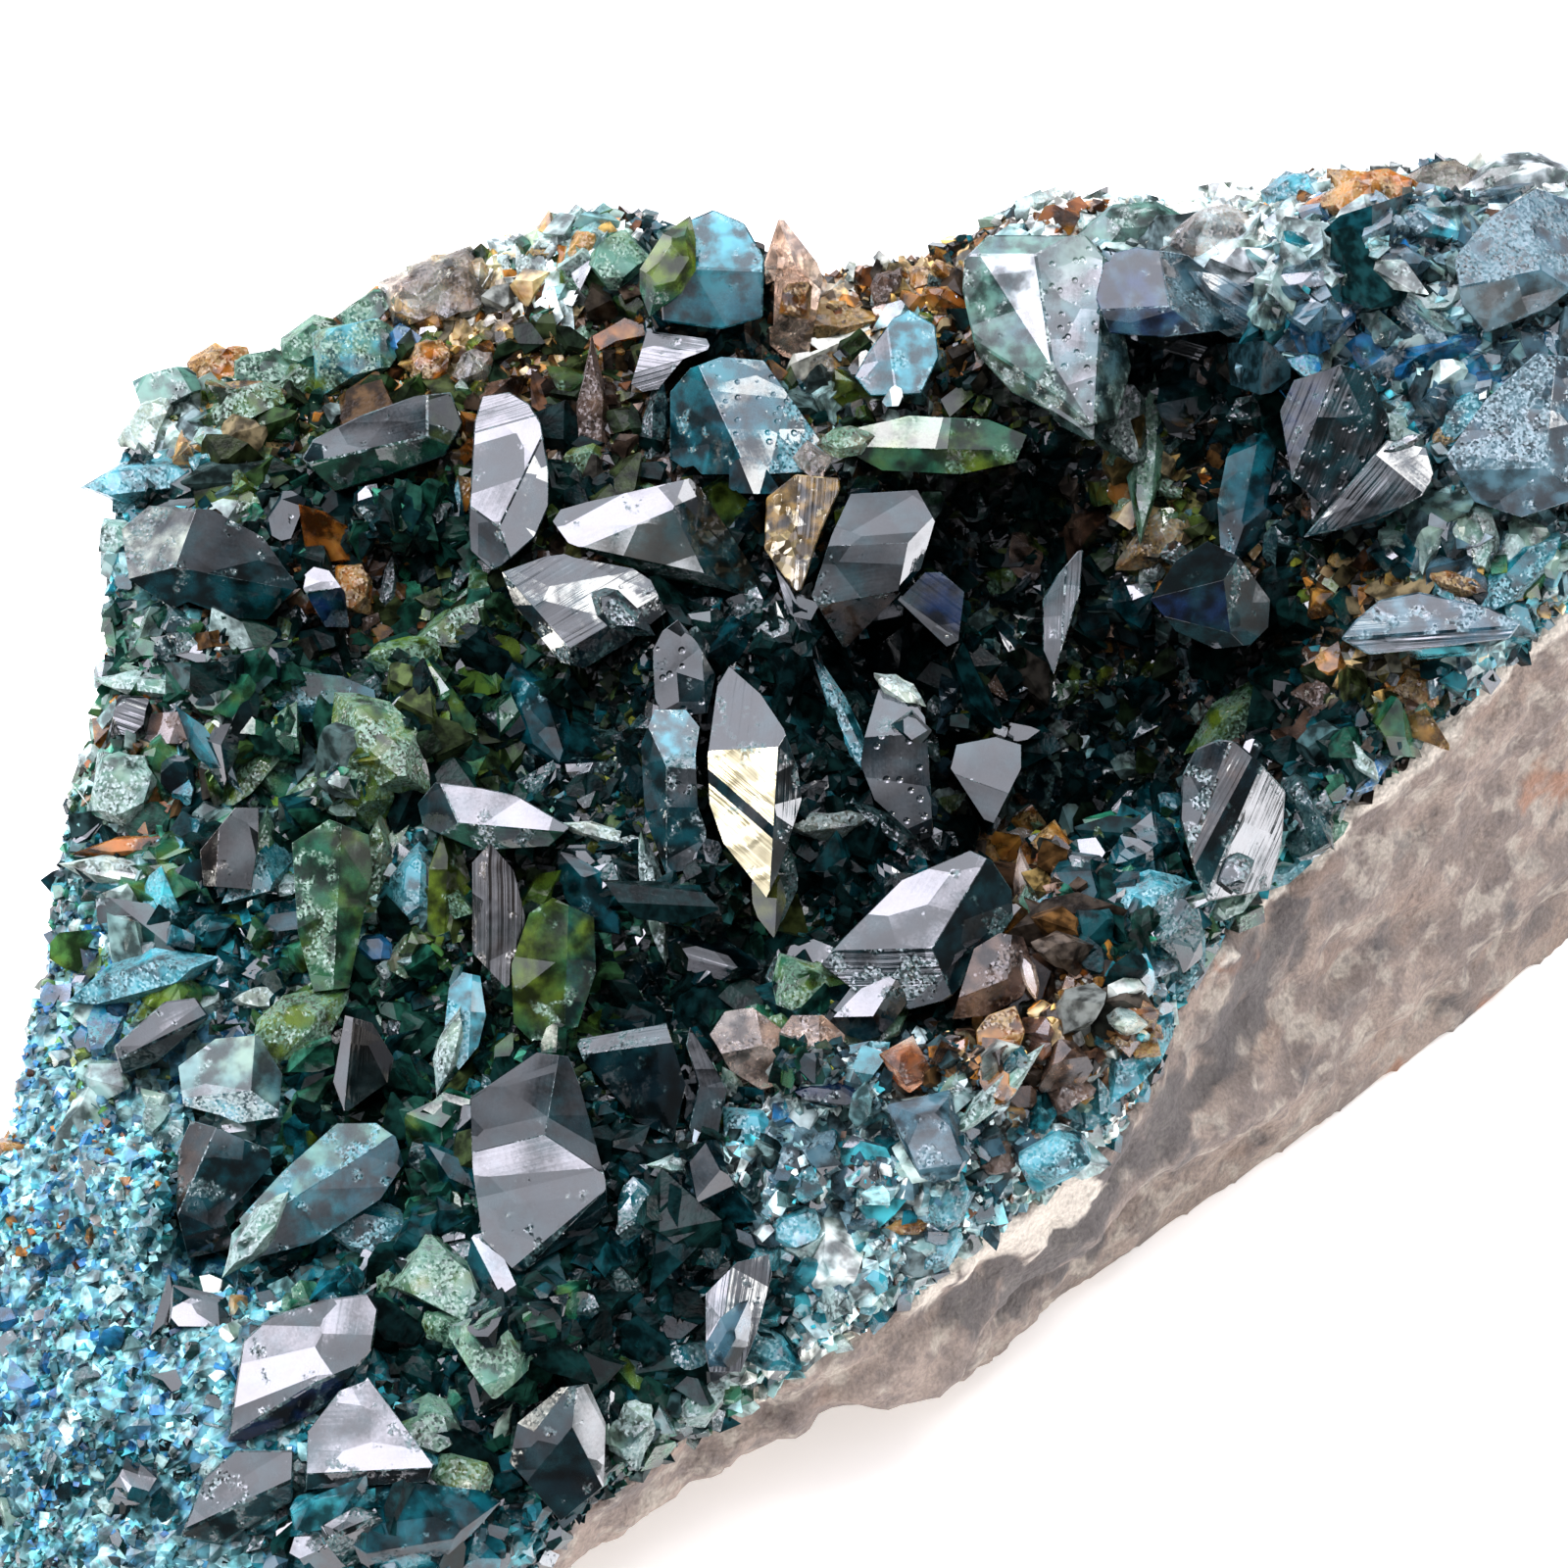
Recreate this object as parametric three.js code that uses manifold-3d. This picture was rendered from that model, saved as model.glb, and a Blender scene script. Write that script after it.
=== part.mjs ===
// A lazulite and kulanite specimen: dark wedge-shaped crystals on a blue-green druse, on ironstone.
// Millimetres, +Z up. The origin lies on the flat underside, below the middle of the crystal face.
import * as THREE from "three";
import { mergeVertices } from "three/addons/utils/BufferGeometryUtils.js";
import Module from "manifold-3d";

const wasm = await Module();
wasm.setup();

// Driving dimensions.
const FACE_HEIGHT = 12;
const FACE_SLOPE_X = 0.08;
const FACE_SLOPE_Y = 0.21;
const CRUST_THICKNESS = 1.7;
const GAP = 0.3;
const EDGE_ROLL = 0.9;
const VIEW_ELEVATION = THREE.MathUtils.degToRad(50);
const VIEW_DISTANCE = 103;
const SECTORS = 48;
const BLOCK_BOTTOM = -30;
const FACE_CELL = 1.75;
const BED_CELL = 2.6;
const GRID_REACH = 40;

// The display face is described as it is seen from the viewing point: across and up, in mm, in a picture
// plane that stands through the middle of the face, square to the line of sight.
const MIDDLE = new THREE.Vector3(0, 0, FACE_HEIGHT);
const ACROSS = new THREE.Vector3(1, 0, 0);
const UP = new THREE.Vector3(0, Math.sin(VIEW_ELEVATION), Math.cos(VIEW_ELEVATION));
const TOWARDS = new THREE.Vector3(0, -Math.cos(VIEW_ELEVATION), Math.sin(VIEW_ELEVATION));
const EYE = MIDDLE.clone().addScaledVector(TOWARDS, VIEW_DISTANCE);

// Outline of the crystal face in the picture plane, anticlockwise from the right-hand end.
const FACE_OUTLINE = [
  [26.2, 12.0], [25.4, 14.6], [22.6, 15.9], [19.5, 16.0], [16.0, 15.9], [13.0, 15.5], [9.5, 14.5],
  [6.6, 14.6], [4.0, 14.1], [1.7, 12.5], [-0.5, 13.8], [-4.6, 14.2], [-7.2, 13.6], [-10.0, 12.4],
  [-13.2, 11.2], [-15.8, 10.7], [-17.3, 7.6], [-17.0, 4.0], [-18.3, -0.8], [-19.5, -7.0],
  [-20.5, -11.5], [-21.6, -16.6], [-21.0, -21.6], [-18.2, -24.6], [-13.4, -24.8], [-9.6, -22.0],
  [-6.0, -18.4], [-2.8, -15.6], [0.0, -14.1], [3.5, -12.0], [6.5, -9.5], [8.6, -7.6], [10.0, -4.4],
  [12.5, -0.6], [15.2, 1.6], [20.0, 5.3], [24.0, 8.6],
];

// Outline of the flat underside, in plan.
const BASE_OUTLINE = [
  [27.0, 9.0], [25.5, 14.5], [19.0, 15.6], [10.0, 14.2], [0.0, 12.6], [-9.0, 11.4], [-14.2, 9.2],
  [-16.2, 4.0], [-16.8, -4.0], [-18.0, -12.0], [-17.6, -20.0], [-13.6, -22.6], [-9.4, -19.4],
  [-5.6, -15.2], [-0.6, -11.6], [4.6, -9.8], [12.6, -3.9], [22.2, 3.8],
];

// Rises (positive) and hollows (negative) of the face: across, up, radius across, radius up, height.
const VUG = [9.0, 5.0, 3.9, 4.6, -8.6];
const RELIEF = [
  VUG, [5.2, 3.2, 3.0, 3.0, -4.2], [5.0, 8.3, 2.6, 2.0, -3.4], [1.6, 3.8, 2.0, 2.2, -2.6],
  [8.0, 0.6, 2.6, 2.4, -3.2], [-6.0, 1.6, 2.4, 2.0, -2.8], [-9.3, 4.2, 2.3, 2.0, -2.6],
  [-4.3, -3.8, 2.0, 2.4, -2.4], [1.2, -1.6, 2.4, 2.2, -3.0], [-1.2, -5.2, 2.2, 2.0, -2.4],
  [-9.0, -5.4, 1.8, 2.4, -1.8], [-12.6, -11.2, 2.4, 2.0, -1.8], [-4.6, 13.2, 6.0, 2.2, 1.8],
  [7.0, 13.4, 3.0, 2.4, 1.8], [14.6, 12.0, 6.0, 3.6, 3.2], [22.0, 11.6, 5.0, 4.0, 2.6],
  [18.0, 7.6, 3.6, 2.6, 1.6], [-15.8, 4.0, 2.2, 9.0, 1.0], [-6.2, -10.0, 3.6, 3.4, 1.2],
  [-11.8, -15.6, 5.0, 4.4, 1.6], [1.8, -10.2, 3.8, 3.2, 1.2], [-17.0, -17.0, 3.0, 6.0, 0.8],
];

// Where the line of sight through a point of the picture plane meets the mean plane of the face.
function spotOnFace(across, up) {
  const through = MIDDLE.clone().addScaledVector(ACROSS, across).addScaledVector(UP, up);
  const ray = through.sub(EYE);
  const climb = ray.z - FACE_SLOPE_X * ray.x - FACE_SLOPE_Y * ray.y;
  const drop = FACE_HEIGHT + FACE_SLOPE_X * EYE.x + FACE_SLOPE_Y * EYE.y - EYE.z;
  return EYE.clone().addScaledVector(ray, drop / climb);
}

// A fixed stand-in for chance, from 0 to 1.
function hash(index, key) {
  const value = Math.sin(index * 12.9898 + key * 78.233) * 43758.5453;
  return value - Math.floor(value);
}

const MIDDLE_OF_OUTLINE = [1.0, -3.0];
const RELIEF_ON_FACE = RELIEF.map(([across, up, radiusX, radiusY, height]) => {
  const spot = spotOnFace(across, up);
  return { x: spot.x, y: spot.y, radiusX, radiusY, height };
});

// Small undulations of the face: height, waves per radian across and along, and their phases.
const RIPPLES = [
  { height: 0.34, across: 0.92, along: 0.81, phases: [0.4, 1.3] },
  { height: 0.28, across: 1.63, along: 1.21, phases: [0.7, 2.2] },
  { height: 0.16, across: 2.7, along: 2.3, phases: [0.9, -0.5] },
];

function ripple(x, y) {
  return RIPPLES.reduce((sum, { height, across, along, phases }) => (
    sum + height * Math.sin(across * x + phases[0]) * Math.sin(along * y + phases[1])
  ), 0);
}

// A closed outline as a function from bearing to radius, about the middle of the specimen.
function radiusByBearing(points) {
  const ring = points.map(([x, y]) => [x - MIDDLE_OF_OUTLINE[0], y - MIDDLE_OF_OUTLINE[1]]);
  return (bearing) => {
    const dirX = Math.cos(bearing);
    const dirY = Math.sin(bearing);
    for (let i = 0; i < ring.length; i++) {
      const [ax, ay] = ring[i];
      const [bx, by] = ring[(i + 1) % ring.length];
      const sideA = dirX * ay - dirY * ax;
      const sideB = dirX * by - dirY * bx;
      if (sideA > 0 || sideB <= 0) continue;
      const share = sideA / (sideA - sideB);
      const reach = dirX * (ax + share * (bx - ax)) + dirY * (ay + share * (by - ay));
      if (reach > 0) return reach;
    }
    throw new Error("the outline doesn't surround its middle");
  };
}

const faceRadius = radiusByBearing(
  FACE_OUTLINE.map(([across, up]) => {
    const spot = spotOnFace(across, up);
    return [spot.x, spot.y];
  }),
);
const baseRadius = radiusByBearing(BASE_OUTLINE);

// Height of the face, which rolls down towards the rim.
function faceHeight(x, y) {
  let z = FACE_HEIGHT + FACE_SLOPE_X * x + FACE_SLOPE_Y * y + ripple(x, y);
  for (const bump of RELIEF_ON_FACE) {
    const dx = (x - bump.x) / bump.radiusX;
    const dy = (y - bump.y) / bump.radiusY;
    z += bump.height * Math.exp(-dx * dx - dy * dy);
  }
  const fromMiddle = [x - MIDDLE_OF_OUTLINE[0], y - MIDDLE_OF_OUTLINE[1]];
  const share = Math.hypot(...fromMiddle) / faceRadius(Math.atan2(fromMiddle[1], fromMiddle[0]));
  return z - EDGE_ROLL * Math.min(share, 1) ** 8;
}

// A closed surface of rings about a vertical line; each ring gives a point for a bearing, and both ends are
// points.
function ringedGeometry(rings, firstPoint, lastPoint) {
  const positions = [...firstPoint];
  for (const ring of rings) {
    for (let s = 0; s < SECTORS; s++) positions.push(...ring((2 * Math.PI * s) / SECTORS));
  }
  positions.push(...lastPoint);
  const last = positions.length / 3 - 1;
  const at = (ring, sector) => 1 + ring * SECTORS + (sector % SECTORS);
  const index = [];
  for (let s = 0; s < SECTORS; s++) {
    index.push(0, at(0, s), at(0, s + 1));
    for (let r = 0; r + 1 < rings.length; r++) {
      index.push(at(r, s), at(r + 1, s), at(r + 1, s + 1));
      index.push(at(r, s), at(r + 1, s + 1), at(r, s + 1));
    }
    index.push(at(rings.length - 1, s), last, at(rings.length - 1, s + 1));
  }
  const geometry = new THREE.BufferGeometry();
  geometry.setAttribute("position", new THREE.BufferAttribute(new Float32Array(positions), 3));
  geometry.setIndex(index);
  return geometry;
}

function planPoint(bearing, radius) {
  const [x, y] = MIDDLE_OF_OUTLINE;
  return [x + radius * Math.cos(bearing), y + radius * Math.sin(bearing)];
}

// Everything below the face, lifted or sunk by an amount. The surface is a grid whose corners are moved a
// little from their places, so that its facets are uneven; it runs on past the rim.
function faceBlock(cell, lift) {
  const count = Math.ceil((2 * GRID_REACH) / cell);
  const positions = [];
  for (const bottom of [false, true]) {
    for (let row = 0; row <= count; row++) {
      for (let column = 0; column <= count; column++) {
        const place = row * (count + 1) + column;
        const x = -GRID_REACH + cell * (column + 0.5 * hash(place, 8) - 0.25);
        const y = -GRID_REACH + cell * (row + 0.5 * hash(place, 9) - 0.25);
        positions.push(x, y, bottom ? BLOCK_BOTTOM : faceHeight(x, y) + lift);
      }
    }
  }
  const layer = (count + 1) ** 2;
  const index = [];
  const quad = (a, b, c, d) => index.push(a, b, c, a, c, d);
  for (let row = 0; row < count; row++) {
    for (let column = 0; column < count; column++) {
      const a = row * (count + 1) + column;
      const [b, c, d] = [a + 1, a + count + 2, a + count + 1];
      if (hash(a, 10) < 0.5) quad(a, b, c, d);
      else quad(b, c, d, a);
      quad(layer + a, layer + d, layer + c, layer + b);
    }
  }
  for (let i = 0; i < count; i++) {
    const [south, north] = [i, count * (count + 1) + i];
    const [west, east] = [i * (count + 1), i * (count + 1) + count];
    quad(south, south + layer, south + layer + 1, south + 1);
    quad(north + 1, north + layer + 1, north + layer, north);
    quad(west + count + 1, west + count + 1 + layer, west + layer, west);
    quad(east, east + layer, east + count + 1 + layer, east + count + 1);
  }
  const geometry = new THREE.BufferGeometry();
  geometry.setAttribute("position", new THREE.BufferAttribute(new Float32Array(positions), 3));
  geometry.setIndex(index);
  return geometry;
}

// An upright column with the outline of the face.
const COLUMN_TOP = 40;
function faceColumn() {
  const rim = (z) => (bearing) => [...planPoint(bearing, faceRadius(bearing)), z];
  const [x, y] = MIDDLE_OF_OUTLINE;
  return ringedGeometry([rim(COLUMN_TOP), rim(BLOCK_BOTTOM)], [x, y, COLUMN_TOP], [x, y, BLOCK_BOTTOM]);
}

// The broken side of the slab: beds stand out and fall back between the face and the flat underside.
const WALL_SHARES = [0, 0.1, 0.2, 0.31, 0.42, 0.54, 0.66, 0.78, 0.9];
const WALL_BULGE = 0.7;
function wallRing(share) {
  return (bearing) => {
    const [topX, topY] = planPoint(bearing, faceRadius(bearing));
    const z = (faceHeight(topX, topY) - CRUST_THICKNESS) * (1 - share);
    const ledge = 0.45 * Math.tanh(3 * Math.sin(1.7 * z + 2.1 * Math.sin(2 * bearing) + 0.6));
    const chunk = 0.5 * Math.sin(5 * bearing + 0.5 * z) + 0.35 * Math.sin(11 * bearing + 0.8 * z);
    const bulge = Math.sin(Math.PI * share) * (WALL_BULGE + ledge + chunk);
    const radius = (1 - share) * faceRadius(bearing) + share * baseRadius(bearing) + bulge;
    return [...planPoint(bearing, radius), z];
  };
}

function slabColumn() {
  const [x, y] = MIDDLE_OF_OUTLINE;
  const rings = [(bearing) => [...planPoint(bearing, faceRadius(bearing)), COLUMN_TOP]];
  rings.push(...WALL_SHARES.map(wallRing));
  rings.push((bearing) => [...planPoint(bearing, baseRadius(bearing)), 0]);
  return ringedGeometry(rings, [x, y, COLUMN_TOP], [x, y, 0]);
}

function solidFrom(geometry) {
  const bare = geometry.clone();
  bare.deleteAttribute("normal");
  bare.deleteAttribute("uv");
  const merged = mergeVertices(bare, 1e-4);
  return new wasm.Manifold(
    new wasm.Mesh({
      numProp: 3,
      vertProperties: new Float32Array(merged.attributes.position.array),
      triVerts: new Uint32Array(merged.index.array),
    }),
  );
}

// The largest single body of a solid that cutting may have parted.
function mainBody(solid) {
  return solid.decompose().reduce((best, body) => (body.volume() > best.volume() ? body : best));
}

function meshFrom(solid, name, material) {
  const { vertProperties, triVerts, numProp } = mainBody(solid).getMesh();
  const positions = new Float32Array((vertProperties.length / numProp) * 3);
  for (let i = 0; i < positions.length / 3; i++) {
    positions.set(vertProperties.subarray(i * numProp, i * numProp + 3), 3 * i);
  }
  const geometry = new THREE.BufferGeometry();
  geometry.setAttribute("position", new THREE.BufferAttribute(positions, 3));
  geometry.setIndex(new THREE.BufferAttribute(new Uint32Array(triVerts), 1));
  geometry.computeVertexNormals();
  const mesh = new THREE.Mesh(geometry, material);
  mesh.name = name;
  return mesh;
}

// Crystal habits: normals and distances in a box of half-lengths along, broad and thick, each from -1 to 1.
const HABITS = {
  wedge: [
    [0, 0, 1, 0.78], [0, 0, -1, 1], [0, 1, 0.9, 1.12], [0, -1, 0.7, 1.06], [0, 1, -0.8, 1.2],
    [0, -1, -0.9, 1.2], [1, 0.62, 0.5, 1.15], [1, -0.7, 0.3, 1.1], [-1, 0.6, 0.35, 1.12],
    [-1, -0.5, 0.55, 1.15], [1, 0, -0.6, 1.15], [-1, 0, -0.5, 1.15],
  ],
  dipyramid: [
    [1, 1, 1, 1.28], [1, -1, 1, 1.34], [-1, 1, 1, 1.3], [-1, -1, 1, 1.36], [1, 1, -1, 1.4],
    [1, -1, -1, 1.4], [-1, 1, -1, 1.4], [-1, -1, -1, 1.4], [1, 0, 0.7, 1.12], [0, 0, 1, 0.9],
  ],
  blade: [
    [0, 0, 1, 1], [0, 0, -1, 1], [1, 0.85, 0.2, 1.24], [1, -0.85, 0.15, 1.2], [-1, 0.8, 0.1, 1.2],
    [-1, -0.9, 0.2, 1.26], [0, 1, 0.35, 1.05], [0, -1, 0.35, 1.05],
  ],
  point: [
    [0, 1, 0, 0.87], [0, -1, 0, 0.87], [0, 0.5, 0.87, 0.87], [0, -0.5, 0.87, 0.87],
    [0, 0.5, -0.87, 0.87], [0, -0.5, -0.87, 0.87], [-1, 0, 0, 1], [1.3, 0.9, 0, 1.3],
    [1.3, -0.45, 0.78, 1.38], [1.3, -0.45, -0.78, 1.3],
  ],
};

function habitPlanes(habit, half, axes) {
  return HABITS[habit].map(([along, broad, thick, reach]) => {
    const normal = new THREE.Vector3()
      .addScaledVector(axes[0], along / half[0])
      .addScaledVector(axes[1], broad / half[1])
      .addScaledVector(axes[2], thick / half[2]);
    const length = normal.length();
    return { normal: normal.divideScalar(length), distance: reach / length };
  });
}

// A direction of the picture plane, and towards the viewer, as one in space.
function inPicture({ x, y, z }) {
  return new THREE.Vector3().addScaledVector(ACROSS, x).addScaledVector(UP, y).addScaledVector(TOWARDS, z);
}

// The direction that a face points in, from the bearing it leans to and its tilt from facing the viewer.
function picturedNormal([bearing, tilt]) {
  const b = THREE.MathUtils.degToRad(bearing);
  const t = THREE.MathUtils.degToRad(tilt);
  return inPicture({ x: Math.cos(b) * Math.sin(t), y: Math.sin(b) * Math.sin(t), z: Math.cos(t) });
}

// Where the line of sight through a point of the picture plane meets a plane.
function sightMeets(across, up, point, normal) {
  const ray = MIDDLE.clone().addScaledVector(ACROSS, across).addScaledVector(UP, up).sub(EYE);
  return EYE.clone().addScaledVector(ray, point.clone().sub(EYE).dot(normal) / ray.dot(normal));
}

function meanSpot(outline) {
  const sum = outline.reduce(([x, y], [across, up]) => [x + across, y + up], [0, 0]);
  return [sum[0] / outline.length, sum[1] / outline.length];
}

// The planes that bound a crystal drawn as it is seen, each with a point on it and its outward direction.
function picturedPlanes({ outline, lean, rise, folds }) {
  const centre = spotOnFace(...meanSpot(outline));
  centre.addScaledVector(EYE.clone().sub(centre).normalize(), rise);
  const front = picturedNormal(lean);
  const planes = [{ point: centre, normal: front }];
  const ridgePlane = (from, to, turned) => {
    const start = sightMeets(...from, centre, front);
    const along = sightMeets(...to, centre, front).sub(start).normalize();
    return { point: start, normal: turned(along, start) };
  };
  for (const [x1, y1, x2, y2, angle] of folds) {
    const a = THREE.MathUtils.degToRad(angle);
    planes.push(ridgePlane([x1, y1], [x2, y2], (along) => {
      const outward = along.clone().cross(front);
      return front.clone().multiplyScalar(Math.cos(a)).addScaledVector(outward, Math.sin(a));
    }));
  }
  outline.forEach((from, i) => {
    const to = outline[(i + 1) % outline.length];
    const edgeOn = (along, start) => along.clone().cross(EYE.clone().sub(start)).normalize();
    planes.push(ridgePlane(from, to, edgeOn));
  });
  return { centre, planes };
}

const BLANK = solidFrom(new THREE.BoxGeometry(40, 40, 40));

function trimmed(centre, planes, grow) {
  let solid = BLANK.translate(centre.toArray());
  for (const { point, normal } of planes) {
    solid = solid.trimByPlane([-normal.x, -normal.y, -normal.z], -normal.dot(point) - grow);
  }
  return solid;
}

// What stands on the face. Each crystal is drawn as it is seen: the outline of its silhouette in the
// picture plane, anticlockwise; the main face by the bearing it leans to, its tilt from facing the viewer
// and its rise above the mean face; and folds, the ridges of the main face, each with the angle by which
// the next face turns away. A fold runs with the main face on its left.
const CRYSTALS = [
  {
    name: "kulanite_bright_prism", mineral: "kulanite", rise: 2.6, lean: [140, 24],
    outline: [
      [-8.05, 6.6], [-8.0, 5.95], [-7.45, 5.45], [-7.2, 5.55], [-6.35, 6.3], [-6.0, 7.1], [-6.0, 8.0],
      [-6.2, 9.2], [-6.5, 9.7], [-7.0, 10.0], [-7.7, 9.9], [-7.9, 9.2],
    ],
    folds: [[-7.28, 6.55, -6.3, 8.6, 42], [-7.9, 7.0, -7.28, 6.55, 42], [-6.2, 9.45, -7.8, 9.0, 22]],
  },
  {
    name: "kulanite_wedge_pair", mineral: "kulanite", rise: 2.4, lean: [-70, 14],
    outline: [
      [-5.9, 6.7], [-5.5, 6.15], [-3.3, 5.3], [-0.6, 4.6], [-0.4, 4.9], [-2.1, 7.5], [-2.4, 7.8],
      [-5.0, 7.2], [-5.7, 7.0],
    ],
    folds: [[-2.85, 7.0, -5.0, 6.1, 46], [-2.0, 5.3, -2.8, 6.95, 42], [-5.0, 6.02, -1.9, 5.35, 60]],
  },
  {
    name: "kulanite_stepped_plate", mineral: "kulanite", rise: 2.0, lean: [70, 18],
    outline: [
      [-7.2, 5.4], [-6.9, 4.6], [-5.7, 3.1], [-5.1, 2.95], [-4.0, 3.6], [-3.0, 4.4], [-3.4, 5.2],
      [-4.0, 5.6], [-5.0, 5.95], [-6.1, 5.8],
    ],
    folds: [[-6.9, 5.1, -5.5, 3.5, 60], [-5.4, 3.5, -3.2, 4.8, 48]],
  },
  {
    name: "kulanite_pitted", mineral: "kulanite", rise: 2.2, lean: [-30, 12],
    outline: [
      [-3.35, 3.4], [-3.3, 2.2], [-3.1, 1.7], [-1.95, 1.8], [-1.75, 2.8], [-2.2, 3.6], [-2.7, 4.2],
      [-3.1, 3.9],
    ],
    folds: [[-2.0, 1.8, -2.1, 3.7, 30]],
  },
  {
    name: "kulanite_golden", mineral: "kulanite", rise: 2.5, lean: [165, 20],
    outline: [
      [-1.95, 0.7], [-1.9, -0.5], [-1.55, -1.5], [-0.45, -2.9], [-0.15, -2.3], [0.45, -0.4],
      [0.35, 0.4], [0.0, 1.4], [-0.6, 2.3], [-1.4, 3.0], [-1.7, 2.5],
    ],
    folds: [[-0.35, -2.5, -0.15, 0.95, 48], [-0.2, 0.95, -1.9, 0.85, 26]],
  },
  {
    name: "kulanite_dark_column", mineral: "kulanite", rise: 1.9, lean: [-80, 8],
    outline: [
      [-3.65, 1.0], [-3.55, -0.8], [-3.0, -2.3], [-2.0, -2.1], [-1.95, 1.2], [-2.5, 1.9], [-3.3, 1.9],
    ],
    folds: [[-3.0, 1.4, -3.0, -2.0, 52], [-2.0, 0.35, -3.0, 0.45, 34]],
  },
  {
    name: "kulanite_block", mineral: "kulanite", rise: 2.6, lean: [-90, 14],
    outline: [
      [0.7, 4.8], [1.5, 3.5], [1.8, 3.45], [3.0, 4.9], [3.45, 5.35], [3.85, 6.7], [3.4, 7.5],
      [1.7, 7.4], [1.15, 6.2], [0.9, 5.4],
    ],
    folds: [[3.1, 6.15, 1.85, 6.1, 40], [2.95, 5.1, 3.15, 6.1, 42], [1.1, 4.6, 2.75, 4.9, 34]],
  },
  {
    name: "kulanite_fin", mineral: "kulanite", rise: 2.0, lean: [70, 20],
    outline: [[2.9, 4.7], [4.15, 3.5], [4.45, 3.65], [4.6, 4.9], [4.0, 5.4], [3.4, 5.4]],
    folds: [[3.2, 4.6, 4.3, 3.8, 50]],
  },
  {
    name: "kulanite_large_tabular", mineral: "kulanite", rise: 2.6, lean: [115, 22],
    outline: [
      [0.95, -4.6], [1.9, -5.35], [3.2, -5.75], [4.2, -5.5], [5.1, -4.5], [5.85, -3.4], [5.8, -2.7],
      [5.3, -1.95], [4.75, -1.7], [3.0, -2.45], [1.5, -3.95],
    ],
    folds: [[3.9, -4.0, 5.15, -1.95, 44], [1.4, -4.25, 3.8, -4.2, 40], [2.8, -4.95, 4.3, -4.6, 58]],
  },
  {
    name: "kulanite_striated", mineral: "kulanite", rise: 2.4, lean: [10, 12],
    outline: [
      [10.15, 0.2], [10.1, -0.9], [10.5, -2.3], [10.8, -3.0], [12.4, -2.7], [12.7, -1.5], [12.8, 0.0],
      [12.1, 0.6], [11.7, 1.05], [11.1, 1.15], [10.5, 0.9],
    ],
    folds: [[10.9, -2.6, 12.1, 0.2, 34], [11.3, 0.8, 10.5, -1.4, 30]],
  },
  {
    name: "kulanite_front_block", mineral: "kulanite", rise: 3.0, lean: [-70, 10],
    outline: [
      [-8.0, -8.0], [-7.95, -9.8], [-7.7, -11.6], [-6.5, -12.8], [-6.1, -12.7], [-4.5, -10.95],
      [-4.55, -10.1], [-5.2, -7.7], [-5.5, -6.95], [-6.3, -6.85],
    ],
    folds: [
      [-4.6, -9.95, -6.1, -8.95, 24], [-6.1, -8.95, -7.95, -9.4, 24], [-6.6, -12.4, -4.55, -10.35, 44],
    ],
  },
  {
    name: "kulanite_dark_wedge", mineral: "kulanite", rise: 1.6, lean: [180, 26],
    outline: [
      [-5.4, -6.8], [-5.0, -9.1], [-3.3, -9.8], [-2.8, -9.0], [-2.5, -7.7], [-3.0, -6.1], [-5.2, -6.5],
    ],
    folds: [[-4.9, -8.7, -3.2, -9.4, 40], [-3.0, -6.6, -5.2, -6.9, 46]],
  },
  {
    name: "kulanite_dark_wedge_tip", mineral: "kulanite", rise: 2.4, lean: [10, 8],
    outline: [
      [-3.0, -9.0], [-1.7, -9.05], [-1.45, -7.8], [-2.0, -6.8], [-2.6, -5.9], [-3.05, -6.2],
      [-2.7, -7.6],
    ],
    folds: [[-1.5, -7.75, -2.6, -7.7, 12]],
  },
  {
    name: "kulanite_front_pair", mineral: "kulanite", rise: 3.0, lean: [150, 20],
    outline: [
      [-14.0, -15.4], [-14.2, -16.8], [-12.8, -16.8], [-11.4, -15.6], [-10.5, -14.4], [-10.35, -13.4],
      [-10.7, -12.85], [-11.7, -13.15], [-12.8, -13.3], [-13.8, -14.2],
    ],
    folds: [[-11.9, -15.0, -11.6, -13.1, 12], [-13.9, -16.5, -10.8, -14.6, 58]],
  },
  {
    name: "kulanite_front_pyramid", mineral: "kulanite", rise: 2.8, lean: [110, 26],
    outline: [
      [-12.15, -16.5], [-12.2, -18.0], [-9.1, -17.8], [-8.95, -17.35], [-10.75, -14.95],
      [-10.95, -14.98],
    ],
    folds: [[-12.1, -17.6, -9.0, -17.45, 60]],
  },
  {
    name: "kulanite_low_facet", mineral: "kulanite", rise: 2.0, lean: [130, 20],
    outline: [
      [-15.4, -19.2], [-14.4, -19.4], [-12.4, -18.2], [-12.2, -17.0], [-14.0, -17.0], [-14.8, -17.7],
    ],
    folds: [[-15.2, -19.0, -12.4, -17.7, 50]],
  },
  {
    name: "kulanite_front_dark_cube", mineral: "kulanite", rise: 2.6, lean: [-80, 24],
    outline: [
      [-7.0, -17.3], [-5.7, -18.8], [-4.6, -17.9], [-4.55, -16.3], [-5.0, -15.3], [-5.7, -15.4],
      [-6.8, -16.3],
    ],
    folds: [[-5.4, -16.4, -6.6, -17.85, 40], [-4.75, -17.7, -5.4, -16.4, 40]],
  },
  {
    name: "lazulite_pale_crystal", mineral: "lazulite", rise: 4.0, lean: [175, 16],
    outline: [
      [4.55, 12.6], [4.9, 11.0], [5.8, 10.0], [7.6, 9.1], [8.5, 9.3], [8.85, 10.6], [8.4, 13.2],
      [7.7, 14.0], [5.2, 14.0], [4.6, 13.4],
    ],
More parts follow.
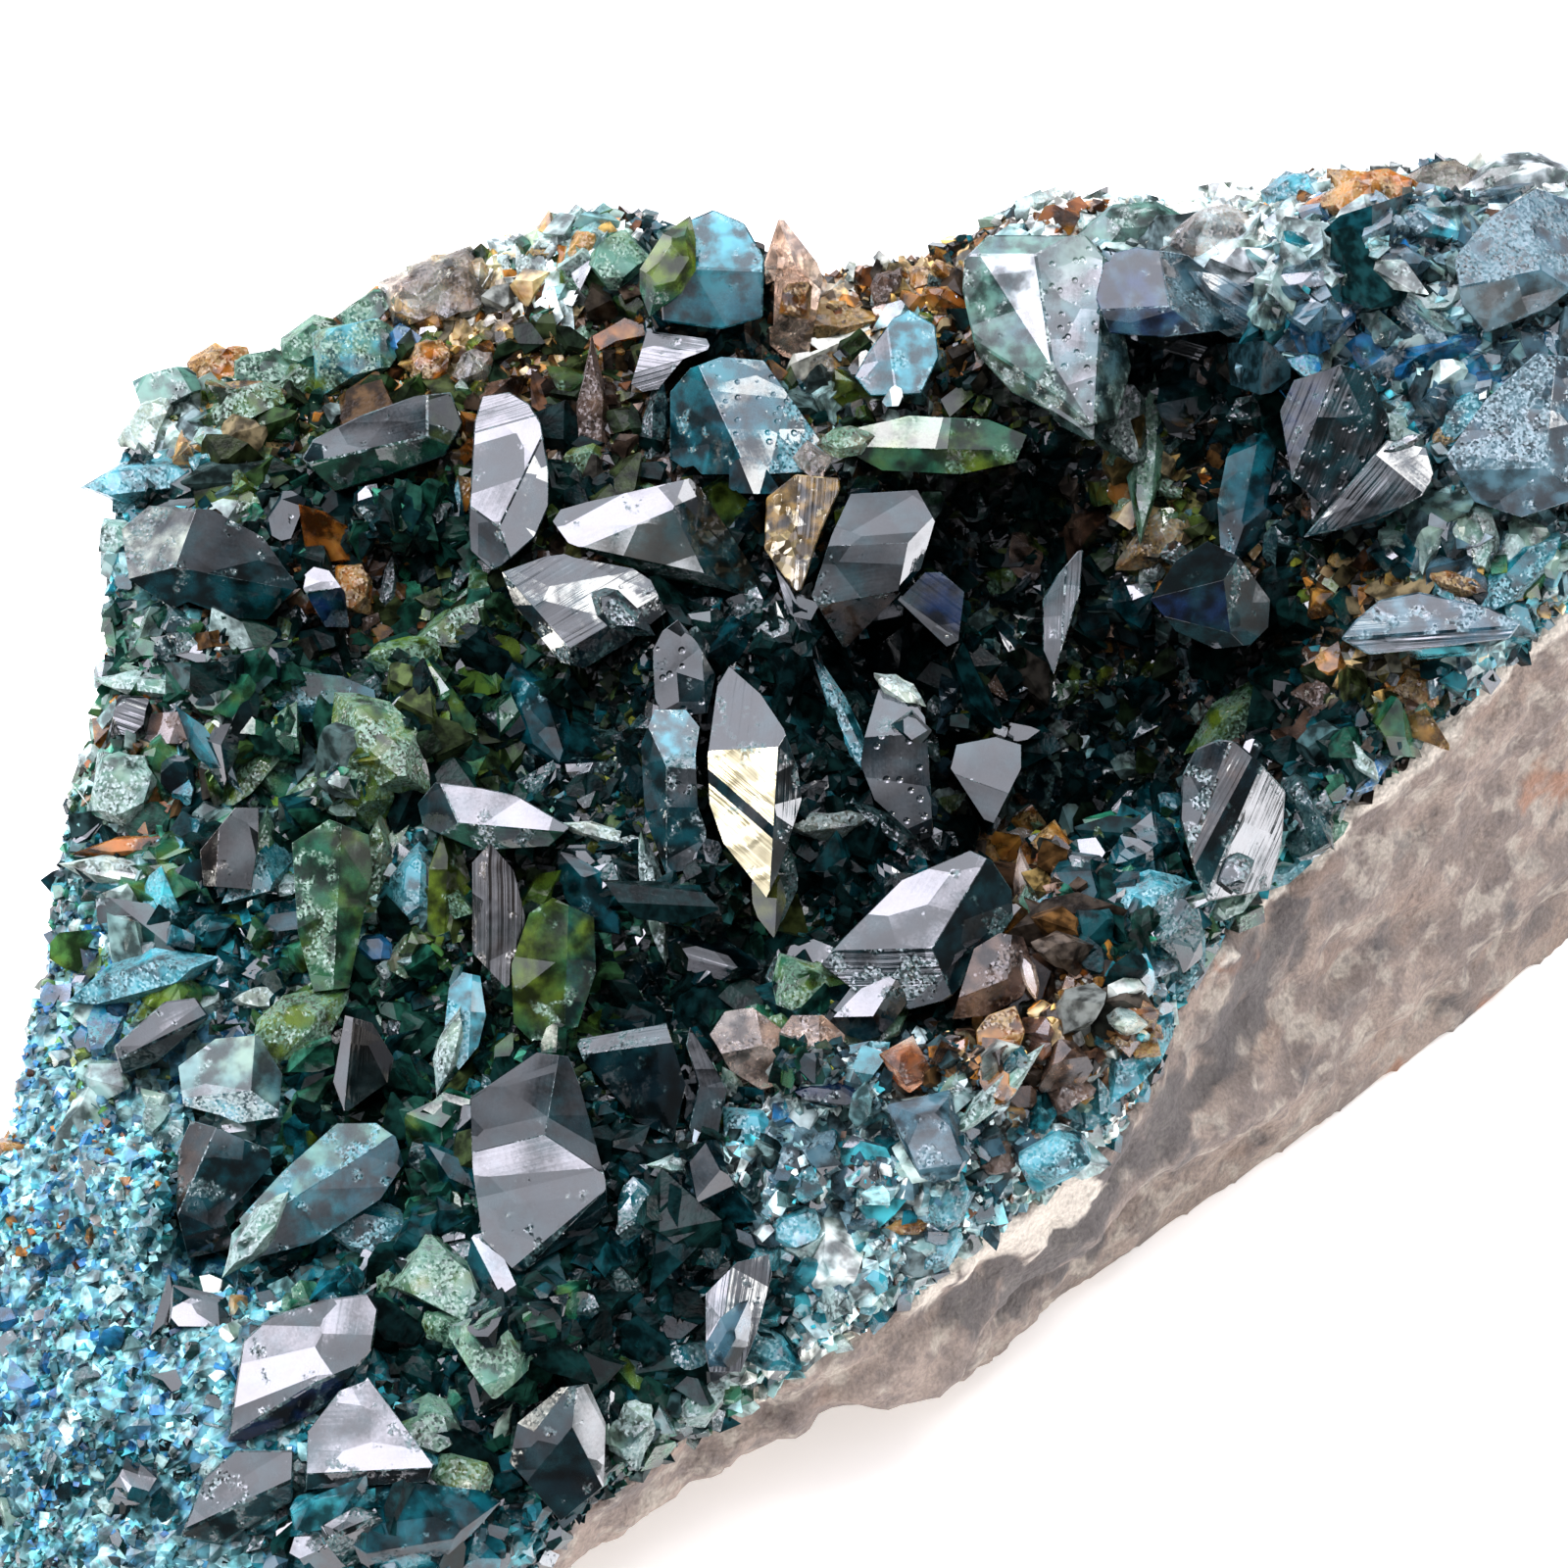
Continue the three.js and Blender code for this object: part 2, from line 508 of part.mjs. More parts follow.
    folds: [
      [7.0, 9.7, 6.4, 13.6, 22], [7.7, 9.3, 7.7, 13.9, 62], [5.0, 11.2, 7.5, 9.6, 46],
      [7.5, 13.5, 5.0, 13.5, 34],
    ],
  },
  {
    name: "kulanite_chevron", mineral: "kulanite", rise: 3.4, lean: [-30, 12],
    outline: [
      [12.65, 9.5], [12.95, 7.75], [13.9, 7.0], [15.0, 7.9], [15.45, 9.3], [14.9, 10.5], [14.2, 10.7],
      [13.0, 10.3],
    ],
    folds: [[14.0, 10.4, 13.0, 7.9, 44]],
  },
  {
    name: "kulanite_lamellar", mineral: "kulanite", rise: 3.0, lean: [110, 18],
    outline: [
      [13.0, 6.0], [14.0, 6.1], [15.1, 6.7], [16.0, 6.9], [16.6, 7.9], [16.4, 8.6], [15.4, 8.8],
      [14.0, 7.2],
    ],
    folds: [[13.6, 6.3, 16.2, 7.2, 40]],
  },
  {
    name: "kulanite_left_wedge", mineral: "kulanite", rise: 2.2, lean: [100, 20],
    outline: [
      [-12.3, 8.3], [-11.4, 7.4], [-10.0, 7.9], [-8.7, 8.3], [-8.2, 9.2], [-8.5, 10.0], [-9.4, 9.9],
      [-10.8, 9.4], [-12.0, 8.8],
    ],
    folds: [[-11.6, 8.3, -9.0, 8.9, 44], [-9.1, 8.9, -9.1, 9.8, 24]],
  },
  {
    name: "kulanite_left_facets", mineral: "kulanite", rise: 2.2, lean: [70, 18],
    outline: [
      [-16.9, 6.5], [-16.7, 5.2], [-15.3, 4.3], [-13.2, 4.2], [-12.4, 5.05], [-13.3, 6.3],
      [-14.6, 7.0], [-16.2, 7.1],
    ],
    folds: [[-15.6, 5.55, -12.5, 4.95, 52], [-15.0, 7.0, -15.5, 5.6, 24]],
  },
  {
    name: "kulanite_small_bright", mineral: "kulanite", rise: 1.9, lean: [130, 26],
    outline: [[-12.4, 5.2], [-11.7, 4.0], [-11.1, 4.0], [-11.2, 4.9], [-11.6, 5.45], [-12.0, 5.55]],
    folds: [[-12.2, 4.9, -11.35, 5.0, 50]],
  },
  {
    name: "lazulite_teal_top", mineral: "lazulite", rise: 2.4, lean: [80, 18],
    outline: [
      [-2.9, 10.0], [-2.9, 8.3], [-2.2, 7.8], [-0.5, 7.9], [0.9, 7.9], [1.2, 8.4], [0.2, 9.8],
      [-0.5, 10.8], [-1.6, 10.9], [-2.4, 10.6],
    ],
    folds: [[-2.1, 10.5, -1.0, 8.1, 46], [-0.25, 8.5, 0.1, 10.0, 20]],
  },
  {
    name: "lazulite_rim_dark", mineral: "lazulite", rise: 3.4, lean: [-90, 10],
    outline: [
      [-3.2, 13.3], [-3.1, 11.8], [-1.6, 11.6], [-0.55, 11.9], [-0.5, 13.4], [-1.0, 14.3],
      [-1.8, 14.65], [-2.6, 14.3],
    ],
    folds: [[-0.5, 13.1, -3.1, 13.2, 42]],
  },
  {
    name: "kulanite_step_bright", mineral: "kulanite", rise: 2.0, lean: [110, 26],
    outline: [
      [-3.9, 10.2], [-3.6, 10.0], [-2.6, 10.2], [-2.1, 10.6], [-1.9, 11.2], [-2.1, 11.6],
      [-3.5, 11.55],
    ],
    folds: [[-3.8, 10.5, -2.0, 11.0, 34]],
  },
  {
    name: "lazulite_blue_small", mineral: "lazulite", rise: 2.0, lean: [60, 16],
    outline: [
      [1.8, 10.4], [2.2, 9.9], [3.5, 9.95], [3.95, 10.9], [3.85, 11.7], [3.2, 12.1], [2.8, 11.9],
      [2.2, 11.1],
    ],
    folds: [[2.65, 11.5, 2.85, 10.0, 34]],
  },
  {
    name: "lazulite_long_green", mineral: "lazulite", rise: 1.9, lean: [100, 20],
    outline: [
      [1.4, 8.6], [2.5, 8.0], [4.5, 7.9], [5.9, 8.2], [6.2, 8.9], [5.2, 9.3], [3.2, 9.4], [1.9, 9.1],
    ],
    folds: [[1.8, 8.6, 5.8, 8.5, 46]],
  },
  {
    name: "kulanite_ribbed_blade", mineral: "kulanite", rise: 2.6, lean: [10, 14],
    outline: [
      [6.6, 4.7], [6.6, 3.4], [6.95, 2.6], [7.4, 3.0], [7.55, 4.9], [7.9, 6.0], [7.5, 5.95],
      [6.95, 5.3],
    ],
    folds: [[7.2, 5.6, 7.05, 2.9, 36]],
  },
  {
    name: "kulanite_dark_ball", mineral: "kulanite", rise: 2.4, lean: [-100, 10],
    outline: [
      [9.35, 4.7], [10.0, 3.9], [11.0, 3.45], [11.9, 3.55], [12.35, 4.0], [12.4, 4.7], [11.6, 5.8],
      [10.8, 6.2], [10.0, 5.7],
    ],
    folds: [[11.2, 5.2, 9.6, 4.8, 34], [9.8, 4.25, 11.2, 3.9, 36], [11.4, 3.8, 11.2, 5.3, 32]],
  },
  {
    name: "kulanite_ribbed_bar", mineral: "kulanite", rise: 2.8, lean: [100, 20],
    outline: [
      [14.2, 3.7], [14.9, 3.3], [16.0, 3.4], [18.5, 3.7], [18.8, 4.1], [18.0, 4.5], [16.2, 4.9],
      [15.2, 4.7], [14.6, 4.2],
    ],
    folds: [[14.9, 3.75, 18.5, 4.0, 50]],
  },
  {
    name: "lazulite_grey_mass", mineral: "lazulite", rise: 3.8, lean: [120, 18],
    outline: [
      [16.9, 8.4], [17.6, 7.2], [18.8, 6.8], [20.6, 7.4], [21.2, 9.0], [20.8, 10.8], [19.2, 11.0],
      [17.9, 9.8],
    ],
    folds: [[17.3, 8.0, 20.6, 8.1, 38], [19.4, 8.0, 19.7, 10.9, 26]],
  },
  {
    name: "lazulite_grey_slab", mineral: "lazulite", rise: 5.4, lean: [70, 22],
    outline: [
      [17.1, 13.4], [17.3, 12.2], [17.9, 11.5], [19.4, 12.1], [20.9, 13.2], [21.0, 14.6], [19.2, 15.2],
      [17.9, 14.4],
    ],
    folds: [[17.4, 12.7, 20.8, 13.4, 36], [19.4, 12.6, 19.0, 15.0, 24]],
  },
  {
    name: "kulanite_wedge_left", mineral: "kulanite", rise: 2.2, lean: [110, 24],
    outline: [
      [-9.35, -0.5], [-9.2, -1.1], [-7.8, -1.7], [-6.0, -1.6], [-5.45, -1.1], [-6.8, -0.3],
      [-7.7, -0.1], [-8.9, 0.05],
    ],
    folds: [[-8.75, 0.0, -8.3, -1.0, 32], [-8.4, -1.0, -5.5, -1.25, 60]],
  },
  {
    name: "lazulite_tall_green", mineral: "lazulite", rise: 2.2, lean: [170, 14],
    outline: [
      [-12.55, -1.5], [-12.4, -3.8], [-12.0, -5.3], [-11.1, -5.2], [-10.5, -2.2], [-10.6, -1.3],
      [-11.6, -0.9],
    ],
    folds: [[-11.5, -5.2, -11.3, -1.2, 40]],
  },
  {
    name: "kulanite_tall_dark", mineral: "kulanite", rise: 2.2, lean: [-20, 10],
    outline: [
      [-7.95, -2.0], [-7.95, -4.3], [-7.1, -5.2], [-6.75, -4.9], [-6.6, -3.4], [-6.9, -2.2],
      [-7.5, -1.5],
    ],
    folds: [[-7.55, -1.9, -7.6, -4.6, 56]],
  },
  {
    name: "lazulite_olive", mineral: "lazulite", rise: 1.9, lean: [180, 10],
    outline: [
      [-6.95, -4.6], [-6.9, -6.1], [-6.3, -6.7], [-5.3, -6.3], [-4.8, -4.8], [-4.85, -3.4],
      [-5.9, -2.9], [-6.5, -3.3],
    ],
    folds: [[-5.6, -6.4, -5.5, -3.2, 36]],
  },
  {
    name: "kulanite_vug_blades", mineral: "kulanite", rise: 1.6, lean: [-90, 10],
    outline: [
      [1.95, 0.5], [2.3, -0.4], [3.3, -1.3], [3.8, -1.2], [3.7, 0.6], [3.6, 1.7], [3.0, 2.6],
      [2.4, 2.4], [2.05, 1.2],
    ],
    folds: [[3.6, 1.3, 2.05, 1.2, 44]],
  },
  {
    name: "kulanite_vug_facet", mineral: "kulanite", rise: 1.6, lean: [110, 20],
    outline: [[4.25, 0.4], [5.1, -0.9], [5.35, -1.0], [6.05, 0.4], [6.05, 1.0], [5.4, 1.2], [4.4, 1.0]],
    folds: [[4.5, 0.2, 5.6, -0.2, 46]],
  },
  {
    name: "lazulite_pale_tablet", mineral: "lazulite", rise: 2.6, lean: [-45, 14],
    outline: [
      [-13.9, -11.1], [-13.5, -12.1], [-12.0, -11.7], [-10.3, -10.6], [-9.7, -9.7], [-9.9, -9.0],
      [-10.4, -8.65], [-11.4, -8.65], [-12.8, -9.9],
    ],
    folds: [[-10.2, -9.1, -13.5, -11.2, 40]],
  },
  {
    name: "kulanite_dark_hexagon", mineral: "kulanite", rise: 2.0, lean: [0, 10],
    outline: [
      [-15.5, -10.9], [-15.2, -12.1], [-13.9, -11.8], [-12.9, -10.3], [-13.2, -9.1], [-14.5, -8.75],
      [-15.1, -8.5], [-15.45, -9.3],
    ],
    folds: [[-14.5, -8.8, -15.3, -10.6, 40], [-15.2, -11.5, -13.2, -11.0, 44]],
  },
  {
    name: "lazulite_lilac_block", mineral: "lazulite", rise: 2.4, lean: [130, 20],
    outline: [
      [-15.45, -7.2], [-15.3, -8.4], [-14.2, -8.7], [-12.9, -8.5], [-12.8, -7.4], [-13.4, -6.4],
      [-14.5, -6.5],
    ],
    folds: [[-15.2, -8.0, -13.5, -7.8, 40], [-13.6, -7.8, -13.5, -6.5, 34]],
  },
  {
    name: "kulanite_brown_facet", mineral: "kulanite", rise: 2.2, lean: [-30, 14],
    outline: [[-11.5, -7.6], [-11.2, -8.4], [-10.1, -7.6], [-9.95, -7.0], [-10.5, -6.1], [-11.2, -5.9]],
    folds: [[-11.0, -6.1, -11.2, -8.1, 44]],
  },
  {
    name: "kulanite_lilac_tablet", mineral: "kulanite", rise: 2.0, lean: [120, 18],
    outline: [
      [-17.1, -6.7], [-16.9, -7.4], [-16.0, -7.1], [-15.3, -6.5], [-14.65, -5.95], [-15.0, -5.45],
      [-15.8, -5.55],
    ],
    folds: [[-16.9, -7.0, -14.9, -6.0, 50]],
  },
  {
    name: "lazulite_turquoise_column", mineral: "lazulite", rise: 1.9, lean: [160, 12],
    outline: [
      [-8.55, -5.2], [-8.7, -6.6], [-8.3, -7.3], [-7.8, -6.7], [-7.6, -5.9], [-7.75, -4.9],
      [-8.2, -4.8],
    ],
    folds: [[-8.05, -6.9, -7.95, -4.9, 40]],
  },
  {
    name: "kulanite_low_striated", mineral: "kulanite", rise: 2.0, lean: [20, 16],
    outline: [
      [-2.0, -14.6], [-1.9, -15.0], [-1.1, -15.0], [-0.7, -14.0], [-0.3, -12.5], [-0.4, -12.0],
      [-1.2, -12.2], [-2.0, -13.0],
    ],
    folds: [[-1.4, -12.6, -1.7, -14.8, 40]],
  },
  {
    name: "quartz_rim_point", mineral: "quartz", rise: 3.2, lean: [-30, 20],
    outline: [
      [-0.5, 13.3], [-0.35, 11.2], [0.1, 10.8], [0.6, 10.8], [1.0, 12.9], [0.85, 13.3], [0.0, 14.4],
      [-0.15, 14.4],
    ],
    folds: [[-0.5, 13.15, 0.9, 13.2, 36], [0.3, 13.2, -0.1, 14.3, 40]],
  },
  {
    name: "quartz_cluster_front", mineral: "quartz", rise: 1.7, lean: [100, 22],
    outline: [
      [-1.9, -6.4], [-1.7, -7.1], [-0.5, -7.85], [0.0, -7.5], [0.0, -6.3], [-0.8, -5.7], [-1.5, -5.8],
    ],
    folds: [[-1.7, -6.9, -0.2, -6.6, 44], [-0.5, -6.9, -0.7, -5.8, 30]],
  },
  {
    name: "quartz_pale_point", mineral: "quartz", rise: 2.0, lean: [130, 14],
    outline: [
      [-0.1, -6.3], [0.3, -7.2], [1.0, -7.4], [1.5, -7.0], [1.55, -6.4], [1.0, -5.9], [0.2, -5.9],
    ],
    folds: [[0.1, -6.8, 1.0, -6.7, 36], [0.9, -7.0, 0.9, -6.1, 34]],
  },
  {
    name: "quartz_smoky_round", mineral: "quartz", rise: 2.3, lean: [120, 14],
    outline: [
      [4.5, -5.3], [4.3, -6.0], [5.2, -5.9], [6.1, -5.4], [6.35, -4.6], [6.1, -3.9], [5.5, -3.8],
      [4.85, -4.2],
    ],
    folds: [[4.6, -5.4, 5.9, -4.9, 36], [5.7, -5.0, 5.8, -4.0, 32]],
  },
  {
    name: "quartz_amber", mineral: "quartz", rise: 2.5, lean: [100, 14],
    outline: [
      [4.9, -6.3], [4.95, -6.9], [5.4, -7.15], [5.95, -7.0], [6.15, -6.3], [5.9, -5.65], [5.2, -5.9],
    ],
    folds: [[5.0, -6.6, 6.0, -6.4, 34]],
  },
  {
    name: "siderite_orange_block", mineral: "siderite", rise: 2.4, lean: [150, 20],
    outline: [[2.6, -7.1], [2.9, -7.7], [3.6, -7.85], [3.95, -7.5], [3.3, -6.7], [2.8, -6.8]],
    folds: [[2.9, -7.4, 3.5, -7.0, 40]],
  },
  {
    name: "siderite_golden_column", mineral: "siderite", rise: 2.1, lean: [20, 16],
    outline: [[-0.45, 7.3], [-0.5, 6.0], [0.3, 4.9], [1.0, 5.1], [1.5, 6.9], [1.4, 7.8], [0.3, 7.9]],
    folds: [[0.4, 7.7, 0.2, 5.2, 40]],
  },
  {
    name: "kulanite_shelf_shards", mineral: "kulanite", rise: 4.6, lean: [90, 24],
    outline: [
      [7.95, 12.4], [8.3, 11.5], [9.7, 11.4], [11.4, 11.6], [12.0, 12.0], [11.3, 12.7], [10.3, 13.5],
      [9.0, 13.7], [8.2, 13.5],
    ],
    folds: [[8.2, 12.1, 10.0, 12.2, 40], [9.9, 11.8, 9.6, 13.5, 30]],
  },
  {
    name: "kulanite_edge_facet", mineral: "kulanite", rise: 1.8, lean: [10, 10],
    outline: [[-14.9, -1.7], [-14.8, -2.6], [-13.6, -2.7], [-13.4, -1.5], [-13.4, -0.6], [-14.0, -0.6]],
    folds: [[-14.4, -0.9, -14.5, -2.6, 40]],
  },
  {
    name: "lazulite_dark_left", mineral: "lazulite", rise: 1.9, lean: [90, 16],
    outline: [
      [-13.2, 2.1], [-12.5, 1.6], [-11.0, 1.5], [-10.35, 1.8], [-10.45, 2.4], [-11.3, 2.75],
      [-12.6, 2.9],
    ],
    folds: [[-12.6, 2.0, -10.8, 2.1, 44], [-11.2, 1.9, -11.0, 2.7, 26]],
  },
];

function crystalSolid(crystal, grow) {
  const { centre, planes } = picturedPlanes(crystal);
  return trimmed(centre, planes, grow);
}

// The smaller crystals of the druse: an even spread over the face, with sizes and turns from a fixed hash.
const DRUSE_COUNT = 100;
const DRUSE_SIZE = [0.75, 1.5];
const SHARE_TO_KEEP = 0.7;
const DRUSE_REACH = { front: 0.93, back: 0.82 };
const SPREAD = [0.7548776662, 0.5698402910];

function insideVug(x, y) {
  const vug = RELIEF_ON_FACE[0];
  return Math.hypot((x - vug.x) / vug.radiusX, (y - vug.y) / vug.radiusY) < 1.1;
}

function druseCrystal(index) {
  const bearing = 2 * Math.PI * ((index * SPREAD[1]) % 1);
  const reach = bearing < Math.PI ? DRUSE_REACH.back : DRUSE_REACH.front;
  const share = reach * Math.sqrt((index * SPREAD[0]) % 1);
  const [x, y] = planPoint(bearing, share * faceRadius(bearing));
  if (insideVug(x, y)) return null;
  const size = DRUSE_SIZE[0] + (DRUSE_SIZE[1] - DRUSE_SIZE[0]) * hash(index, 1);
  const habit = Object.keys(HABITS)[Math.floor(4 * hash(index, 2))];
  const half = [size * (1.1 + 0.5 * hash(index, 3)), size * 0.9, size * (0.5 + 0.3 * hash(index, 4))];
  const turns = new THREE.Euler(...[5, 6, 7].map((key) => Math.PI * hash(index, key)));
  const axes = [ACROSS, new THREE.Vector3(0, 1, 0), new THREE.Vector3(0, 0, 1)];
  axes.forEach((axis, i) => (axes[i] = axis.clone().applyEuler(turns)));
  const z = faceHeight(x, y) + 0.25 * size;
  const centre = new THREE.Vector3(x, y, z);
  const planes = habitPlanes(habit, half, axes).map(({ normal, distance }) => ({
    point: centre.clone().addScaledVector(normal, distance),
    normal,
  }));
  return trimmed(centre, planes, 0);
}

const MINERALS = {
  kulanite: new THREE.MeshStandardMaterial({ name: "kulanite", color: 0x1c2b2e, roughness: 0.15 }),
  lazulite: new THREE.MeshStandardMaterial({ name: "lazulite", color: 0x3f6f6c, roughness: 0.35 }),
  quartz: new THREE.MeshStandardMaterial({ name: "quartz", color: 0xb99a86, roughness: 0.15 }),
  siderite: new THREE.MeshStandardMaterial({ name: "siderite", color: 0xb5742e, roughness: 0.4 }),
  crust: new THREE.MeshStandardMaterial({ name: "crust", color: 0x4d6a66, roughness: 0.6 }),
  ironstone: new THREE.MeshStandardMaterial({ name: "ironstone", color: 0x8a7d73, roughness: 0.9 }),
};

const group = new THREE.Group();
group.name = "lazulite_and_kulanite_specimen";

// Every crystal stands clear of the crust by the gap, and each later one is cut back from those before it.
const ground = solidFrom(faceBlock(FACE_CELL, GAP));
const kept = [];
for (const crystal of CRYSTALS) {
  let solid = crystalSolid(crystal, 0).subtract(ground);
  const box = solid.boundingBox();
  for (const neighbour of kept) {
    const other = neighbour.box;
    const apart = [0, 1, 2].some((k) => box.min[k] > other.max[k] || other.min[k] > box.max[k]);
    if (!apart) solid = solid.subtract(neighbour.grown);
  }
  const grown = crystalSolid(crystal, GAP);
  kept.push({ grown, box: grown.boundingBox() });
  group.add(meshFrom(solid, crystal.name, MINERALS[crystal.mineral]));
}

// The crust with its druse, cut back from every crystal; what would lose most of itself isn't there.
const standing = wasm.Manifold.union(kept.map(({ grown }) => grown));
const druse = [];
for (let i = 1; i <= DRUSE_COUNT; i++) {
  const whole = druseCrystal(i);
  if (!whole) continue;
  const clear = whole.subtract(standing);
  if (clear.volume() > SHARE_TO_KEEP * whole.volume()) druse.push(clear);
}
const underCrust = solidFrom(faceBlock(BED_CELL, -CRUST_THICKNESS));
const sheet = solidFrom(faceBlock(FACE_CELL, 0)).intersect(solidFrom(faceColumn()));
const crust = wasm.Manifold.union([sheet, ...druse]).subtract(underCrust);
group.add(meshFrom(crust, "lazulite_crust", MINERALS.crust));

const bed = solidFrom(faceBlock(BED_CELL, -CRUST_THICKNESS - GAP));
group.add(meshFrom(solidFrom(slabColumn()).intersect(bed), "matrix_rock", MINERALS.ironstone));

export default group;
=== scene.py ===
# %% [markdown]
# # Lazulite and kulanite specimen
# A slab of ironstone carries a crust of tiny blue-green crystals, and dark wedge-shaped crystals stand in it.
# The large crystals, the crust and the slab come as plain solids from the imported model. This notebook dresses
# them: it gives each crystal its finish, sows the grains and small crystals, and sets the camera and the light.

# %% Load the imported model
import math

import bmesh
import bpy
import numpy as np
from mathutils import Matrix, Vector, noise
from mathutils.bvhtree import BVHTree
from mathutils.kdtree import KDTree


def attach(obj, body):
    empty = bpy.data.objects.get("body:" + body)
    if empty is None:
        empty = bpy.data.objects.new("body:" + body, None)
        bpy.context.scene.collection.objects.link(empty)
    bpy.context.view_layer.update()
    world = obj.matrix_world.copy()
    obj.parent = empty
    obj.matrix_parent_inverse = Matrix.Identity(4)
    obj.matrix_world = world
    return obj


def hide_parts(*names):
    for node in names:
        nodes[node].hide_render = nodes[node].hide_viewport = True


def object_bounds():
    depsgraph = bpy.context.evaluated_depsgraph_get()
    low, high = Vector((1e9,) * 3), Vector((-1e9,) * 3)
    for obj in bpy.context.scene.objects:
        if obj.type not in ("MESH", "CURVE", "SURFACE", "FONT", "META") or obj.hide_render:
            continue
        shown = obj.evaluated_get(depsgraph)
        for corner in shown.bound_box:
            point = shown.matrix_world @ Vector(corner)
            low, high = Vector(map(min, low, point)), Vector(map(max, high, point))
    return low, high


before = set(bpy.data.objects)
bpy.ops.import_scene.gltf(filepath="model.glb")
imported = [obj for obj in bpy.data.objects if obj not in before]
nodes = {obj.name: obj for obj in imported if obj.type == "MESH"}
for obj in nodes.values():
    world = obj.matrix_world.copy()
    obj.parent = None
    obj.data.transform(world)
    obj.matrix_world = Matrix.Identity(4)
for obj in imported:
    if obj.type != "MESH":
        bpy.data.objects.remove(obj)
cad_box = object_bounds()
MM = 0.001
print("solids in the model:", len(nodes))
print("size in mm:", [round((high - low) / MM, 1) for low, high in zip(*cad_box)])

# %% [markdown]
# ## Camera
# The face is seen from above at 50 degrees, from about 10 cm away. A place on it is given as it is seen:
# across and up, in mm, in a picture plane that stands through the middle of the face.

# %% Camera and picture plane
VIEW_ELEVATION = math.radians(50)
VIEW_DISTANCE = 103
FRAME_WIDTH = 40
SENSOR_WIDTH = 36
MIDDLE = Vector((0, 0, 12))
ACROSS = Vector((1, 0, 0))
UP = Vector((0, math.sin(VIEW_ELEVATION), math.cos(VIEW_ELEVATION)))
TOWARDS = Vector((0, -math.cos(VIEW_ELEVATION), math.sin(VIEW_ELEVATION)))
EYE = MIDDLE + VIEW_DISTANCE * TOWARDS

camera_data = bpy.data.cameras.new("camera")
camera_data.sensor_width = SENSOR_WIDTH
camera_data.lens = SENSOR_WIDTH * VIEW_DISTANCE / FRAME_WIDTH
camera_data.clip_start = 0.001
camera_data.clip_end = 10
camera = bpy.data.objects.new("camera", camera_data)
camera.matrix_world = Matrix.Translation(EYE * MM) @ Matrix((ACROSS, UP, TOWARDS)).transposed().to_4x4()
bpy.context.scene.collection.objects.link(camera)
bpy.context.scene.camera = camera
print("lens in mm:", round(camera_data.lens, 1))


def sight_line(across, up):
    """The start and direction of the line of sight through a place in the picture plane."""
    target = MIDDLE + across * ACROSS + up * UP
    return EYE, (target - EYE).normalized()


def picture_place(points):
    """Across and up, in mm, of an array of points given in mm."""
    offset = points - np.array(MIDDLE)
    depth = offset @ np.array(TOWARDS)
    scale = VIEW_DISTANCE / (VIEW_DISTANCE - depth)
    return np.stack([offset @ np.array(ACROSS) * scale, offset @ np.array(UP) * scale], axis=1)


# %% [markdown]
# ## Light
# Small flat faces act as mirrors, so what they mirror matters more than how strong the lamps are. A white tent
# surrounds the specimen. It is bright overhead and fades towards the viewer's side. A hot panel hangs over the
# upper left and one at the right, and round the camera there is a dark opening.

# %% Tent of light
def picture_direction(bearing, angle):
    """The direction that lies at an angle from the viewer's, on a bearing counted anticlockwise from across."""
    turn = math.radians(bearing)
    away = math.radians(angle)
    side = math.cos(turn) * ACROSS + math.sin(turn) * UP
    return (math.cos(away) * TOWARDS + math.sin(away) * side).normalized()


SKY = {"bearing": 112, "angle": 58, "radius": 10, "soft": 58, "color": (0.95, 0.97, 1.1), "strength": 3.8}
FILL = {"bearing": -25, "angle": 88, "radius": 8, "soft": 42, "color": (1.0, 0.98, 0.96), "strength": 1.4}
DIM = (0.1, 0.11, 0.12)
PANELS = [
    {"bearing": 133, "angle": 46, "radius": 8, "soft": 12, "color": (0.98, 0.95, 1.1), "strength": 12.0},
    {"bearing": -8, "angle": 78, "radius": 9, "soft": 12, "color": (0.98, 0.98, 1.04), "strength": 9.0},
    {"bearing": 70, "angle": 40, "radius": 4, "soft": 5, "color": (1.0, 1.0, 1.0), "strength": 15.0},
    {"bearing": 195, "angle": 62, "radius": 4, "soft": 5, "color": (1.0, 0.97, 0.9), "strength": 15.0},
]
OPENING = {"bearing": -90, "angle": 6, "radius": 10, "soft": 14, "color": (0.06, 0.06, 0.07), "strength": 1.0}
LIGHTS = [SKY, FILL, *PANELS, OPENING]

world = bpy.data.worlds.new("tent")
bpy.context.scene.world = world
world.use_nodes = True
world_tree = world.node_tree
world_tree.nodes.clear()


def add(tree, kind, **settings):
    """Adds a node and sets its properties, or its inputs where a name is one."""
    node = tree.nodes.new(kind)
    for name, value in settings.items():
        if hasattr(node, name):
            setattr(node, name, value)
        else:
            node.inputs[name].default_value = value
    return node


def math_node(tree, operation, first, second=None):
    """A Math node fed by sockets or numbers; gives its output."""
    node = add(tree, "ShaderNodeMath", operation=operation)
    for socket, value in zip(node.inputs, (first, second)):
        if isinstance(value, bpy.types.NodeSocket):
            tree.links.new(value, socket)
        elif value is not None:
            socket.default_value = value
    return node.outputs[0]


